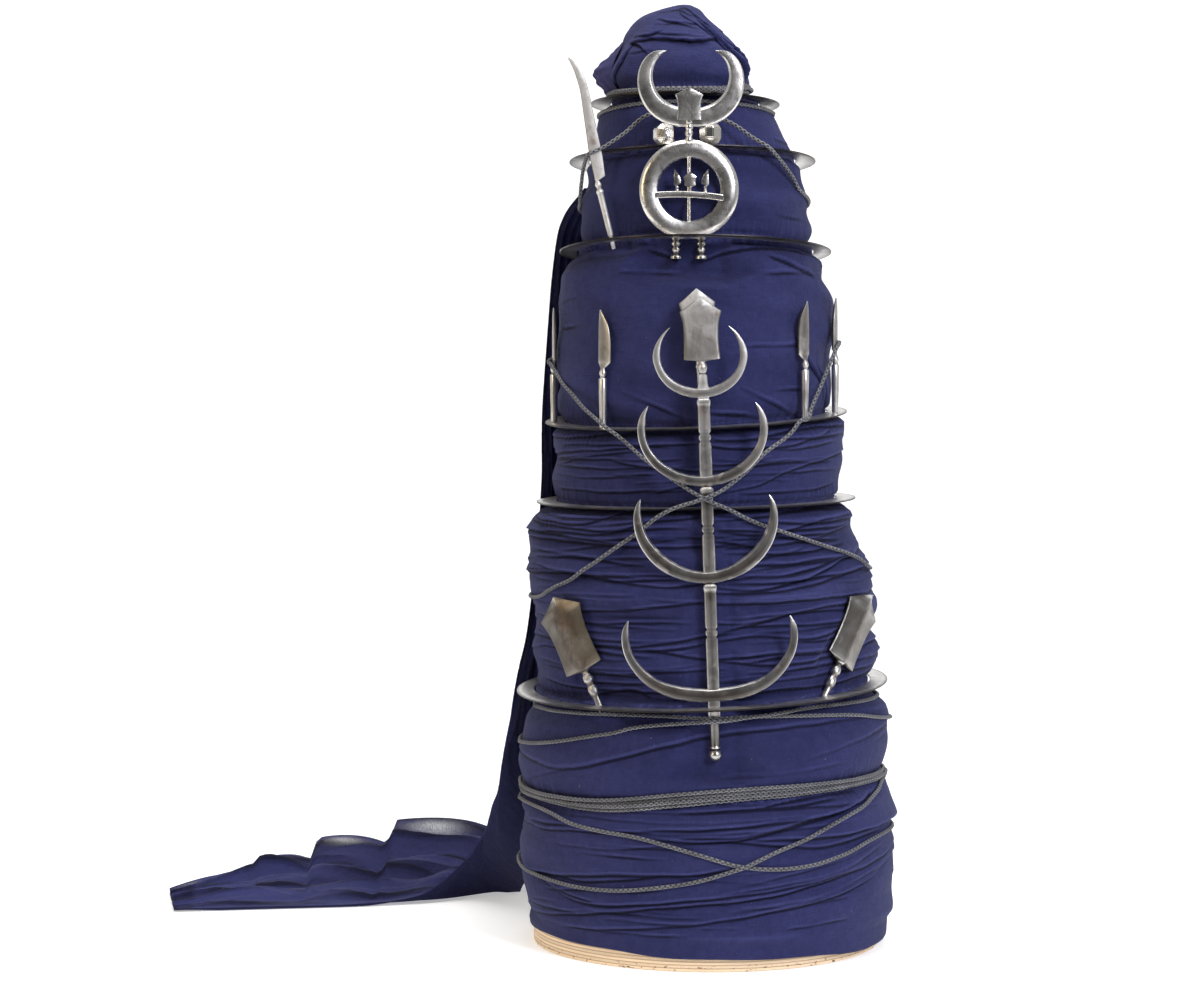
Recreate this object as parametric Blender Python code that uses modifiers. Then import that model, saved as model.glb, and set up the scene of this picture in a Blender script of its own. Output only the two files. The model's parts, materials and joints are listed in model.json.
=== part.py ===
"""A tall wound turban of navy cotton on a plywood ring, with steel quoits, crescents, blades and cords.

Metres, +Z up. The front faces -Y, and the origin is on the floor, under the middle of the plywood ring.
"""

import math

import bmesh
import bpy
from mathutils import Matrix, Vector
from mathutils.bvhtree import BVHTree

# Sizes of the whole
TURBAN_HEIGHT = 0.750
CLOTH_RADIUS = 0.149
CLEARANCE = 0.0003

# Plywood ring
PLY_RADIUS = 0.1385
PLY_HOLE_RADIUS = 0.095
PLY_THICKNESS = 0.018

# Hollow for the head, and the lip of cloth that laps down over the plywood
HOLLOW_RADIUS = 0.098
HOLLOW_TOP_RADIUS = 0.024
HOLLOW_HEIGHT = 0.640
HEM_HEIGHT = 0.0105
HEM_RIGHT_DROP = 0.0045
HEM_WALL = 0.0016

# Steel
QUOIT_THICKNESS = 0.0016
QUOIT_BEVEL = 0.004
BAR_WIDTH = 0.0092
BAR_DEPTH = 0.0072
BADGE_DEPTH = 0.0030
BLADE_DEPTH = 0.0024
KNIFE_LENGTH = 0.091
KNIFE_WIDTH = 0.0124
LONG_KNIFE_LENGTH = 0.1527
LONG_KNIFE_WIDTH = 0.0119
SIDE_BLADE_LENGTH = 0.0960
SIDE_BLADE_WIDTH = 0.0382
KNOB_SIZE = 0.0160
BADGE_RING_RADIUS = 0.0381
BADGE_RING_HOLE = 0.0240

# Cloth and cords
CORD_DIAMETER = 0.003
TAIL_THICKNESS = 0.002
FLAP_THICKNESS = 0.002

# Fineness of the solids
FRONT_SEGMENTS = 24
BACK_SEGMENTS = 12
QUOIT_SEGMENTS = 28
ROW_SPACING = 0.020
CORD_STEP = 0.003
CORD_SAG = 0.0008
CORD_LONGEST_SPAN = 0.050

# Cloth sections: height in shares of the turban's height; half width and shift to the right in shares
# of the cloth radius; front is the reach forward in shares of the half width.
SECTION_COLUMNS = ("height", "half_width", "shift", "front")
CLOTH_SECTIONS = (
    (0.0267, 0.970, 0.014, 1.00),
    (0.0560, 0.992, 0.018, 1.00),
    (0.0847, 1.002, 0.018, 1.00),
    (0.1173, 1.000, 0.005, 1.00),
    (0.1500, 0.996, 0.000, 1.00),
    (0.1640, 0.972, -0.010, 1.00),
    (0.1747, 0.948, -0.019, 1.00),
    (0.1860, 0.974, -0.017, 1.00),
    (0.2080, 0.994, -0.012, 0.98),
    (0.2227, 0.990, -0.006, 0.96),
    (0.2373, 0.978, -0.001, 0.95),
    (0.2507, 0.955, -0.008, 0.95),
    (0.2640, 0.885, -0.014, 0.97),
    (0.2764, 0.840, -0.023, 1.00),
    (0.2853, 0.898, -0.018, 0.99),
    (0.3067, 0.915, -0.006, 0.96),
    (0.3440, 0.909, -0.012, 0.96),
    (0.3740, 0.916, -0.021, 0.96),
    (0.4013, 0.909, -0.046, 0.97),
    (0.4293, 0.872, -0.083, 0.98),
    (0.4587, 0.846, -0.076, 0.99),
    (0.4667, 0.792, -0.062, 1.00),
    (0.4732, 0.734, -0.054, 1.00),
    (0.4813, 0.762, -0.052, 1.00),
    (0.5187, 0.772, -0.041, 1.00),
    (0.5467, 0.778, -0.033, 1.00),
    (0.5547, 0.750, -0.045, 1.00),
    (0.5621, 0.684, -0.054, 1.00),
    (0.5707, 0.716, -0.064, 1.00),
    (0.5933, 0.732, -0.060, 1.00),
    (0.6387, 0.738, -0.058, 1.00),
    (0.6800, 0.735, -0.060, 1.00),
    (0.7080, 0.705, -0.066, 1.00),
    (0.7173, 0.688, -0.058, 1.00),
    (0.7267, 0.661, -0.050, 1.00),
    (0.7364, 0.574, -0.060, 1.00),
    (0.7480, 0.594, -0.060, 1.00),
    (0.7680, 0.611, -0.050, 1.00),
    (0.7960, 0.593, -0.068, 1.00),
    (0.8227, 0.575, -0.067, 0.98),
    (0.8333, 0.530, -0.074, 0.95),
    (0.8427, 0.532, -0.078, 0.95),
    (0.8547, 0.507, -0.086, 0.97),
    (0.8747, 0.479, -0.105, 1.00),
    (0.8853, 0.446, -0.110, 1.00),
    (0.8941, 0.386, -0.114, 1.00),
    (0.9067, 0.352, -0.136, 1.00),
    (0.9200, 0.379, -0.141, 1.00),
    (0.9373, 0.359, -0.144, 1.00),
    (0.9573, 0.295, -0.156, 0.98),
    (0.9720, 0.242, -0.166, 0.96),
    (0.9867, 0.175, -0.171, 0.95),
    (0.9947, 0.107, -0.141, 0.95),
    (0.9993, 0.040, -0.121, 1.00),
)

# Quoits: height of the middle in shares of the turban's height; radius, band and shift to the front in
# shares of the cloth radius; rise of the front rim and of the right rim in degrees.
QUOIT_COLUMNS = ("height", "radius", "band", "forward", "front_rise", "right_rise")
QUOITS = (
    (0.8941, 0.507, 0.107, 0.000, 1.9, -0.5),
    (0.8333, 0.662, 0.107, -0.027, 3.2, 0.0),
    (0.7364, 0.728, 0.094, 0.038, 4.4, -0.3),
    (0.5621, 0.812, 0.107, 0.000, -4.3, 2.3),
    (0.4732, 0.859, 0.107, 0.000, -1.5, 0.9),
    (0.2764, 0.997, 0.094, 0.047, -2.5, 2.1),
)
BAND_HEIGHT = 0.1747
BAND_RIGHT_RISE = 2.8

# Laps of cloth: height in shares of the turban's height; rise to the right and to the front in degrees;
# step in metres; width in shares of the turban's height.
LAP_COLUMNS = ("height", "right_rise", "front_rise", "step", "width")
LAPS = (
    (0.0760, 4.0, 3.0, 0.0016, 0.012),
    (0.1080, 6.0, -4.0, 0.0018, 0.012),
    (0.1420, -3.0, 2.0, 0.0014, 0.010),
    (0.2080, 5.0, -2.0, 0.0014, 0.012),
    (0.3240, -3.0, 1.0, 0.0014, 0.010),
    (0.3560, 2.0, -2.0, 0.0016, 0.010),
    (0.3880, 3.0, 2.0, 0.0016, 0.010),
    (0.4200, -2.0, -1.0, 0.0014, 0.010),
    (0.4440, 1.0, 1.0, 0.0012, 0.009),
    (0.5000, 2.0, 1.0, 0.0014, 0.010),
    (0.5300, 3.0, -2.0, 0.0014, 0.010),
    (0.6100, 4.0, 2.0, 0.0012, 0.012),
    (0.8120, -4.0, 2.0, 0.0010, 0.010),
    (0.9380, 6.0, -4.0, 0.0014, 0.010),
    (0.9660, 9.0, -3.0, 0.0014, 0.010),
)

# Crescents in shares of their half width: angle from the bottom in degrees, outer and inner radius.
CRESCENT_COLUMNS = ("angle", "outer", "inner")
TOP_CRESCENT = (
    (0, 0.900, 0.572),
    (30, 0.976, 0.597),
    (60, 1.013, 0.668),
    (90, 1.000, 0.717),
    (110, 0.953, 0.726),
    (125, 0.859, 0.709),
    (138, 0.692, 0.682),
)
FIRST_CRESCENT = (
    (0, 0.932, 0.731),
    (30, 0.962, 0.761),
    (50, 0.987, 0.805),
    (72, 0.998, 0.843),
    (90, 1.000, 0.841),
    (112, 0.922, 0.843),
    (132, 0.845, 0.835),
)
SECOND_CRESCENT = (
    (0, 0.892, 0.729),
    (16, 0.901, 0.741),
    (36, 0.929, 0.771),
    (56, 0.969, 0.823),
    (76, 0.998, 0.873),
    (94, 1.000, 0.883),
    (106, 0.962, 0.894),
    (114, 0.910, 0.900),
)
THIRD_CRESCENT = (
    (0, 0.942, 0.778),
    (20, 0.950, 0.776),
    (38, 0.974, 0.779),
    (55, 0.992, 0.809),
    (72, 1.005, 0.850),
    (88, 1.000, 0.884),
    (99, 0.976, 0.904),
    (106, 0.930, 0.920),
)
FOURTH_CRESCENT = (
    (0, 0.755, 0.603),
    (16, 0.772, 0.613),
    (35, 0.834, 0.676),
    (52, 0.902, 0.769),
    (66, 0.950, 0.837),
    (80, 0.990, 0.896),
    (94, 0.990, 0.912),
    (102, 0.940, 0.928),
)

# Crescents on the staff: height in shares of the staff's length, half width in shares of the cloth
# radius, and their outline.
STAFF_CRESCENT_COLUMNS = ("height", "half_width", "outline")
STAFF_CRESCENTS = (
    (0.877, 0.240, FIRST_CRESCENT),
    (0.714, 0.330, SECOND_CRESCENT),
    (0.524, 0.367, THIRD_CRESCENT),
    (0.262, 0.450, FOURTH_CRESCENT),
)
STAFF_CRESCENT_SHIFT = -0.0015

# The staff's foot and top: to the right and to the back in shares of the cloth radius, and up in
# shares of the turban's height. The rest is in shares of the staff's length.
STAFF_FOOT = (0.014, -0.920, 0.2208)
STAFF_TOP = (-0.066, -0.859, 0.6829)
BAR_TOP = 0.807
BAR_FOOT = 0.084
BAR_NOTCHES = (0.267, 0.493, 0.694)

# Shapes of an eight-sided section: where its corners lie, in shares of the half width and half depth.
SECTION_SHAPES = {
    "round": (0.924, 0.383, 0.383, 0.924),
    "square": (1.00, 0.76, 0.76, 1.00),
    "flat": (1.00, 0.30, 0.84, 1.00),
    "ridged": (1.00, 0.20, 0.06, 1.00),
}

# Spade blade, from its foot up: height in shares of the length, half width in shares of its own.
SPADE_COLUMNS = ("height", "half_width")
SPADE = (
    (0.000, 0.22),
    (0.030, 0.88),
    (0.220, 0.83),
    (0.420, 0.82),
    (0.620, 0.87),
    (0.780, 1.00),
    (0.990, 0.03),
)

# Knives, from the foot up: height in shares of the length; left and right edge, and half depth, in
# shares of the blade's width.
KNIFE_COLUMNS = ("height", "left", "right", "half_depth", "shape")
SMALL_KNIFE = (
    (0.000, -0.20, 0.20, 0.20, "round"),
    (0.410, -0.25, 0.25, 0.25, "round"),
    (0.425, -0.16, 0.16, 0.16, "round"),
    (0.460, -0.23, 0.23, 0.23, "round"),
    (0.500, -0.16, 0.16, 0.12, "round"),
    (0.550, -0.33, 0.67, 0.09, "flat"),
    (0.720, -0.33, 0.66, 0.09, "flat"),
    (0.860, -0.31, 0.48, 0.08, "flat"),
    (0.950, -0.27, 0.10, 0.06, "flat"),
    (1.000, -0.22, -0.17, 0.03, "flat"),
)
LONG_KNIFE = (
    (0.000, -0.12, 0.12, 0.12, "round"),
    (0.030, -0.14, 0.14, 0.14, "round"),
    (0.060, -0.11, 0.11, 0.11, "round"),
    (0.075, -0.18, 0.18, 0.18, "round"),
    (0.285, -0.21, 0.21, 0.21, "round"),
    (0.300, -0.25, 0.25, 0.25, "round"),
    (0.315, -0.14, 0.14, 0.14, "round"),
    (0.335, -0.21, 0.21, 0.21, "round"),
    (0.355, -0.12, 0.12, 0.12, "round"),
    (0.370, -0.14, 0.58, 0.09, "flat"),
    (0.480, -0.12, 0.73, 0.09, "flat"),
    (0.600, 0.03, 0.77, 0.09, "flat"),
    (0.700, 0.16, 0.80, 0.08, "flat"),
    (0.820, 0.30, 0.85, 0.08, "flat"),
    (0.920, 0.23, 0.69, 0.07, "flat"),
    (0.965, 0.12, 0.42, 0.06, "flat"),
    (1.000, 0.00, 0.05, 0.03, "flat"),
)

# Where the long knife, the side blades and the badge stand, as for the staff; turns about their own
# length in degrees.
LONG_KNIFE_FOOT = (-0.499, -0.436, 0.7360)
LONG_KNIFE_TOP = (-0.745, -0.503, 0.9333)
LEFT_BLADE_TOP = (-0.813, -0.597, 0.3759)
RIGHT_BLADE_TOP = (0.847, -0.416, 0.3800)
BADGE_MIDDLE = (-0.115, -0.649, 0.7944)

# The side blades' shanks lean on the inner edge of the sixth quoit: angle there in degrees, turn of
# the blade about its own length, and how far the shank goes on below the quoit.
LEFT_BLADE_ANGLE = -129
RIGHT_BLADE_ANGLE = -46
LEFT_BLADE_TURN = -26
RIGHT_BLADE_TURN = 54
SHANK_BELOW_QUOIT = 0.0040
SHANK_RADIUS = 0.0024

# Small knives: angle round the turban in degrees, and the side of the straight edge.
SMALL_KNIVES = ((-172, 1), (-131, 1), (-45, -1), (-19, -1))
KNIFE_QUOIT = 3
KNIFE_SEAT = 0.62
BACK_BLADE_ANGLE = -92
BACK_BLADE_SEAT = 0.68
BACK_BLADE_LENGTH = 0.1060
BACK_BLADE_WIDTH = 0.0278
BACK_BLADE_SHANK = 0.0550

# Cord routes, which close on themselves: angle round the turban in degrees, and height in shares of
# the turban's height.
CROWN_LOW_ROUTE = ((-180, 0.883), (-90, 0.888), (0, 0.883), (90, 0.880), (180, 0.883))
CREST_ROUTE = (
    (-92, 0.8760),
    (-113, 0.8733),
    (-126, 0.8533),
    (-136, 0.8373),
    (-140, 0.8333),
    (-152, 0.8200),
    (-164, 0.7947),
    (-180, 0.7840),
    (-225, 0.7760),
    (-270, 0.7760),
    (-320, 0.7800),
    (-379, 0.7947),
    (-394, 0.8120),
    (-408, 0.8307),
    (-414, 0.8393),
    (-420, 0.8480),
    (-431, 0.8667),
    (-452, 0.8760),
)
CROSS_ROUTE = (
    (-173, 0.6187),
    (-150, 0.5867),
    (-126, 0.5483),
    (-112, 0.5200),
    (-97.7, 0.4940),
    (-92.5, 0.4847),
    (-86.6, 0.4755),
    (-82, 0.4700),
    (-66, 0.4507),
    (-44, 0.4320),
    (-24, 0.4147),
    (-10, 0.4013),
    (60, 0.3893),
    (125, 0.3773),
    (190, 0.3700),
    (217, 0.3885),
    (230, 0.4072),
    (248, 0.4401),
    (259, 0.4667),
    (267.5, 0.4768),
    (270.2, 0.4800),
    (274, 0.4847),
    (277.4, 0.4907),
    (284, 0.5053),
    (292, 0.5253),
    (301, 0.5413),
    (308.7, 0.5577),
    (315.5, 0.5650),
    (334.4, 0.6240),
    (341, 0.6369),
    (352, 0.6407),
    (420, 0.6400),
    (480, 0.6333),
    (530, 0.6240),
    (547, 0.6187),
)
WAIST_ROUTE = (
    (-170.6, 0.2536),
    (-142, 0.2553),
    (-115, 0.2580),
    (-94, 0.2580),
    (-85, 0.2580),
    (-71.6, 0.2580),
    (-39, 0.2540),
    (-12.6, 0.2432),
    (50, 0.2293),
    (110, 0.2200),
    (190.4, 0.2167),
    (232.5, 0.2367),
    (245.7, 0.2467),
    (266, 0.2540),
    (275, 0.2560),
    (288.4, 0.2597),
    (309.8, 0.2640),
    (342.7, 0.2647),
    (410, 0.2640),
    (470, 0.2587),
    (549.4, 0.2536),
)
LOWER_ROUTE = (
    (-172, 0.1553),
    (-148, 0.1527),
    (-134, 0.1447),
    (-124, 0.1408),
    (-110, 0.1355),
    (-94, 0.1219),
    (-83, 0.1107),
    (-72, 0.1064),
    (-60, 0.1084),
    (-47, 0.1145),
    (-20, 0.1259),
    (40, 0.1200),
    (100, 0.1067),
    (160, 0.0907),
    (205, 0.0820),
    (225, 0.0799),
    (239, 0.0812),
    (253, 0.0875),
    (265, 0.0952),
    (277, 0.1089),
    (288, 0.1229),
    (298, 0.1335),
    (311, 0.1513),
    (326, 0.1653),
    (338, 0.1727),
    (400, 0.1627),
    (460, 0.1547),
    (510, 0.1520),
    (548, 0.1553),
)

# Bundles of cord: angle in degrees, height in shares of the turban's height, and how many cords lie
# side by side.
BAND_BUNDLE = (
    (-171, 0.1661, 2.0),
    (-146, 0.1657, 2.7),
    (-123, 0.1667, 3.5),
    (-97, 0.1767, 3.7),
    (-73, 0.1827, 3.3),
    (-23, 0.1847, 2.2),
    (40, 0.1793, 2.0),
    (100, 0.1720, 2.0),
    (189, 0.1661, 2.0),
)
CROWN_BUNDLE = ((-180, 0.9067, 2.5), (-60, 0.9067, 2.5), (60, 0.9073, 2.8), (180, 0.9067, 2.5))

# Tail, from the top to the end on the floor: the near and the far edge (right and back in shares of the
# cloth radius, height in shares of the turban's), and how far the middle stands out from the line
# between them.
TAIL_COLUMNS = ("near", "far", "belly")
TAIL = (
    ((-0.651, 0.201, 0.8080), (-0.356, 0.577, 0.8170), 0.077),
    ((-0.765, 0.282, 0.7787), (-0.416, 0.691, 0.7840), 0.081),
    ((-0.815, 0.322, 0.7387), (-0.436, 0.792, 0.7413), 0.107),
    ((-0.866, 0.336, 0.6267), (-0.403, 0.906, 0.6267), 0.101),
    ((-0.889, 0.349, 0.5600), (-0.403, 0.953, 0.5600), 0.107),
    ((-0.893, 0.369, 0.4733), (-0.369, 1.007, 0.4733), 0.114),
    ((-0.966, 0.403, 0.3333), (-0.336, 1.087, 0.3333), 0.101),
    ((-1.027, 0.416, 0.2760), (-0.322, 1.154, 0.2760), 0.107),
    ((-1.081, 0.456, 0.2133), (-0.369, 1.275, 0.2133), 0.067),
    ((-1.208, 0.537, 0.1333), (-0.503, 1.477, 0.1267), 0.027),
    ((-1.396, 0.638, 0.0693), (-0.705, 1.779, 0.0800), -0.040),
    ((-1.644, 0.752, 0.0293), (-0.973, 2.114, 0.0640), -0.067),
    ((-1.946, 0.792, 0.0067), (-1.376, 2.416, 0.0613), -0.054),
    ((-2.315, 0.779, 0.0040), (-2.013, 2.617, 0.0440), -0.020),
    ((-2.685, 0.738, 0.0040), (-2.584, 2.550, 0.0160), 0.000),
    ((-2.993, 0.705, 0.0040), (-2.886, 1.913, 0.0053), 0.000),
)
TAIL_TOP_ANGLES = (160, 120)
TAIL_COLUMNS_ACROSS = 9
TAIL_FOLDS = 2.5
TAIL_FOLD_HEIGHT = 0.0050

# Flap of the hood, from top to bottom: angle in degrees, height in shares of the turban's height, and
# how far its edge stands out in metres.
FLAP = ((160, 0.9440, 0.003), (164, 0.9320, 0.014), (166, 0.9210, 0.012), (168, 0.9150, 0.005))
FLAP_PUFF = 0.005


def rows_of(columns, table):
    """The rows of a table as dictionaries by column name."""
    return [dict(zip(columns, row)) for row in table]


def eased(position, stops, values):
    """A smooth curve through values at rising stops."""
    if position <= stops[0]:
        return values[0]
    if position >= stops[-1]:
        return values[-1]
    last = len(stops) - 1
    span = next(i for i in range(last) if position <= stops[i + 1])

    def slope(index):
        before = max(index - 1, 0)
        after = min(index + 1, last)
        return (values[after] - values[before]) / (stops[after] - stops[before])

    width = stops[span + 1] - stops[span]
    share = (position - stops[span]) / width
    cubed = share**3
    squared = share**2
    return (
        values[span] * (2 * cubed - 3 * squared + 1)
        + values[span + 1] * (3 * squared - 2 * cubed)
        + slope(span) * width * (cubed - 2 * squared + share)
        + slope(span + 1) * width * (cubed - squared)
    )


def clamped(value, low, high):
    return min(max(value, low), high)


def placed(shares):
    """A point given in shares of the cloth radius (right, back) and of the turban's height (up)."""
    return Vector((shares[0] * CLOTH_RADIUS, shares[1] * CLOTH_RADIUS, shares[2] * TURBAN_HEIGHT))


SECTIONS = rows_of(SECTION_COLUMNS, CLOTH_SECTIONS)
HEIGHTS = [row["height"] * TURBAN_HEIGHT for row in SECTIONS]
HALF_WIDTHS = [row["half_width"] * CLOTH_RADIUS for row in SECTIONS]
SHIFTS = [row["shift"] * CLOTH_RADIUS for row in SECTIONS]
FRONTS = [row["front"] for row in SECTIONS]
QUOIT_ROWS = rows_of(QUOIT_COLUMNS, QUOITS)
LAP_ROWS = rows_of(LAP_COLUMNS, LAPS)


def tilt_stops():
    """Where sections tilt, as (height, slope to the right, slope to the back), from the floor up."""
    stops = [(0.0, 0.0, 0.0), (BAND_HEIGHT * TURBAN_HEIGHT, math.tan(math.radians(BAND_RIGHT_RISE)), 0.0)]
    for row in reversed(QUOIT_ROWS):
        right = math.tan(math.radians(row["right_rise"]))
        back = -math.tan(math.radians(row["front_rise"]))
        stops.append((row["height"] * TURBAN_HEIGHT, right, back))
    stops.append((TURBAN_HEIGHT, 0.0, 0.0))
    return stops


TILTS = tilt_stops()


def tilt_at(height):
    """The slopes of the cloth's section at a height on the axis."""
    stops = [stop[0] for stop in TILTS]
    right = eased(height, stops, [stop[1] for stop in TILTS])
    back = eased(height, stops, [stop[2] for stop in TILTS])
    return right, back


def shift_at(height):
    return eased(height, HEIGHTS, SHIFTS)


def lap_relief(angle, height):
    """How far the laps lift or sink the cloth at a point."""
    relief = 0.0
    for lap in LAP_ROWS:
        reach = CLOTH_RADIUS * 0.8
        rise = math.tan(math.radians(lap["right_rise"])) * reach * math.cos(angle)
        rise -= math.tan(math.radians(lap["front_rise"])) * reach * math.sin(angle)
        offset = (height - lap["height"] * TURBAN_HEIGHT - rise) / (lap["width"] * TURBAN_HEIGHT)
        relief += lap["step"] * offset * math.exp(-(offset**2)) * 2.33
    return relief


def standing(foot, top, turn=0.0):
    """A frame whose Z runs from foot to top, with its front towards -Y, turned about its own length."""
    along = (top - foot).normalized()
    right = Vector((0, 1, 0)).cross(along).normalized()
    back = along.cross(right)
    frame = Matrix((right, back, along)).transposed().to_4x4()
    return Matrix.Translation(foot) @ frame @ Matrix.Rotation(math.radians(turn), 4, "Z")


def quoit_frame(row):
    """The frame of a quoit: its middle, tilted as it lies."""
    height = row["height"] * TURBAN_HEIGHT
    right = math.tan(math.radians(row["right_rise"]))
    back = -math.tan(math.radians(row["front_rise"]))
    up = Vector((-right, -back, 1)).normalized()
    across = Vector((1, 0, right)).normalized()
    frame = Matrix((across, up.cross(across), up)).transposed().to_4x4()
    return Matrix.Translation((shift_at(height), -row["forward"] * CLOTH_RADIUS, height)) @ frame


def on_quoit(row, angle, share):
    """A point on the upper face of a quoit's band, at a share of its width from the inner edge."""
    radius = (row["radius"] - row["band"] * (1 - share)) * CLOTH_RADIUS
    lift = QUOIT_THICKNESS / 2 + CLEARANCE
    return quoit_frame(row) @ Vector((radius * math.cos(angle), radius * math.sin(angle), lift))


def side_blade_frame(degrees, top, turn):
    """The frame of a side blade, whose shank leans on the inner edge of the sixth quoit."""
    row = QUOIT_ROWS[5]
    inner = (row["radius"] - row["band"]) * CLOTH_RADIUS * math.cos(math.pi / QUOIT_SEGMENTS)
    radius = inner - SHANK_RADIUS - CLEARANCE
    angle = math.radians(degrees)
    seat = quoit_frame(row) @ Vector((radius * math.cos(angle), radius * math.sin(angle), 0))
    foot = seat - (top - seat).normalized() * SHANK_BELOW_QUOIT
    return standing(foot, top, turn)


STAFF_FRAME = standing(placed(STAFF_FOOT), placed(STAFF_TOP))
STAFF_LENGTH = (placed(STAFF_TOP) - placed(STAFF_FOOT)).length
LONG_KNIFE_FRAME = standing(placed(LONG_KNIFE_FOOT), placed(LONG_KNIFE_TOP))
LEFT_BLADE_FRAME = side_blade_frame(LEFT_BLADE_ANGLE, placed(LEFT_BLADE_TOP), LEFT_BLADE_TURN)
RIGHT_BLADE_FRAME = side_blade_frame(RIGHT_BLADE_ANGLE, placed(RIGHT_BLADE_TOP), RIGHT_BLADE_TURN)
BADGE_FRAME = Matrix.Translation(placed(BADGE_MIDDLE))
BADGE_FEET = (-0.257, 0.252)
BADGE_FOOT_LOW = -1.391
BADGE_FOOT_SHIFT = 0.0014
BADGE_FOOT_DEPTH = 0.0022


def presses():
    """Hard pieces that press into the cloth, as (lower point, upper point, half width, half depth)."""
    bar = STAFF_LENGTH * BAR_TOP
    shank = SIDE_BLADE_LENGTH * 0.35
    edge = SIDE_BLADE_LENGTH * 0.89
    side = SIDE_BLADE_WIDTH / 2
    lines = [
        (STAFF_FRAME, (0, 0, -0.014), (0, 0, bar), BAR_WIDTH / 2, BAR_DEPTH / 2 + 0.0015),
        (LONG_KNIFE_FRAME, (0, 0, 0), (0, 0, LONG_KNIFE_LENGTH * 0.3), 0.0035, 0.0035),
        (LEFT_BLADE_FRAME, (0, 0, 0), (0, 0, shank), 0.0040, 0.0042),
        (LEFT_BLADE_FRAME, (side, 0, shank), (side, 0, edge), 0.0040, 0.0030),
        (RIGHT_BLADE_FRAME, (0, 0, 0), (0, 0, shank), 0.0040, 0.0042),
        (RIGHT_BLADE_FRAME, (0, 0, shank), (0, 0, edge), 0.0100, 0.0035),
    ]
    for across in BADGE_FEET:
        low = (across * BADGE_RING_RADIUS, BADGE_FOOT_SHIFT, BADGE_FOOT_LOW * BADGE_RING_RADIUS - 0.010)
        high = (low[0], low[1], -BADGE_RING_RADIUS * 0.6)
        lines.append((BADGE_FRAME, low, high, 0.0048, 0.0044))
    return [(frame @ Vector(a), frame @ Vector(b), wide, deep) for frame, a, b, wide, deep in lines]


PRESSES = presses()
PRESS_SPREAD = 0.012
PRESS_EASE_BESIDE = 0.6
PRESS_EASE_PAST = 1.6


def pressed(radius, angle, height, level):
    """The radius of the cloth where a hard piece may press it in."""
    for low, high, half_width, half_depth in PRESSES:
        share = clamped((level - low.z) / (high.z - low.z), 0.0, 1.0)
        point = low.lerp(high, share)
        past = abs(level - point.z)
        across = point.x - shift_at(height)
        reach = math.hypot(across, point.y)
        turn = math.remainder(angle - math.atan2(point.y, across), math.tau)
        if abs(turn) > math.pi / 3:
            continue
        beside = max(reach * abs(math.sin(turn)) - half_width - PRESS_SPREAD, 0.0)
        limit = reach - half_depth - 2 * CLEARANCE
        limit += beside * PRESS_EASE_BESIDE + past * PRESS_EASE_PAST
        radius = min(radius, limit)
    return radius


def cloth_radius(angle, height):
    """The radius of the wound cloth about its axis, at an angle and a height on the axis."""
    half_width = eased(height, HEIGHTS, HALF_WIDTHS)
    front = eased(height, HEIGHTS, FRONTS)
    facing = max(-math.sin(angle), 0.0) ** 2
    radius = half_width * (1 + (front - 1) * facing)
    fade = clamped((TURBAN_HEIGHT - height) / (0.02 * TURBAN_HEIGHT), 0.0, 1.0)
    radius += lap_relief(angle, height) * fade
    right, back = tilt_at(height)
    level = height + radius * (right * math.cos(angle) + back * math.sin(angle))
    return pressed(radius, angle, height, level)


def cloth_point(angle, height):
    """The cloth's surface at an angle, in the tilted section whose middle is at a height."""
    right, back = tilt_at(height)
    radius = cloth_radius(angle, height)
    x = radius * math.cos(angle)
    y = radius * math.sin(angle)
    return Vector((shift_at(height) + x, y, height + right * x + back * y))


def new_collection(name):
    collection = bpy.data.collections.new(name)
    bpy.context.scene.collection.children.link(collection)
    return collection


def new_material(name, colour, roughness, metallic):
    material = bpy.data.materials.new(name)
    material.use_nodes = True
    shader = material.node_tree.nodes["Principled BSDF"]
    shader.inputs["Base Color"].default_value = (*colour, 1)
    shader.inputs["Roughness"].default_value = roughness
    shader.inputs["Metallic"].default_value = metallic
    material.diffuse_color = (*colour, 1)
    return material


def new_object(name, data, material, collection):
    piece = bpy.data.objects.new(name, data)
    if material:
        data.materials.append(material)
    collection.objects.link(piece)
    return piece


def mesh_from(name, form):
    """A mesh from a bmesh, with its faces pointing out."""
    bmesh.ops.recalc_face_normals(form, faces=form.faces)
    mesh = bpy.data.meshes.new(name)
    form.to_mesh(mesh)
    form.free()
    mesh.shade_smooth()
    mesh.set_sharp_from_angle(angle=math.radians(35))
    return mesh


def loft(name, rings, cyclic=False):
    """A closed mesh through rings of equally many points; a ring of one point is a pole."""
    form = bmesh.new()
    rows = [[form.verts.new(point) for point in ring] for ring in rings]
    pairs = list(zip(rows, rows[1:]))
    if cyclic:
        pairs.append((rows[-1], rows[0]))
    for lower, upper in pairs:
        count = max(len(lower), len(upper))
        for i in range(count):
            j = (i + 1) % count
            if len(lower) == 1:
                form.faces.new((lower[0], upper[j], upper[i]))
            elif len(upper) == 1:
                form.faces.new((lower[i], lower[j], upper[0]))
            else:
                form.faces.new((lower[i], lower[j], upper[j], upper[i]))
    if not cyclic:
        for ring in (rows[0], rows[-1]):
            if len(ring) > 1:
                form.faces.new(ring)
    return mesh_from(name, form)


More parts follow.
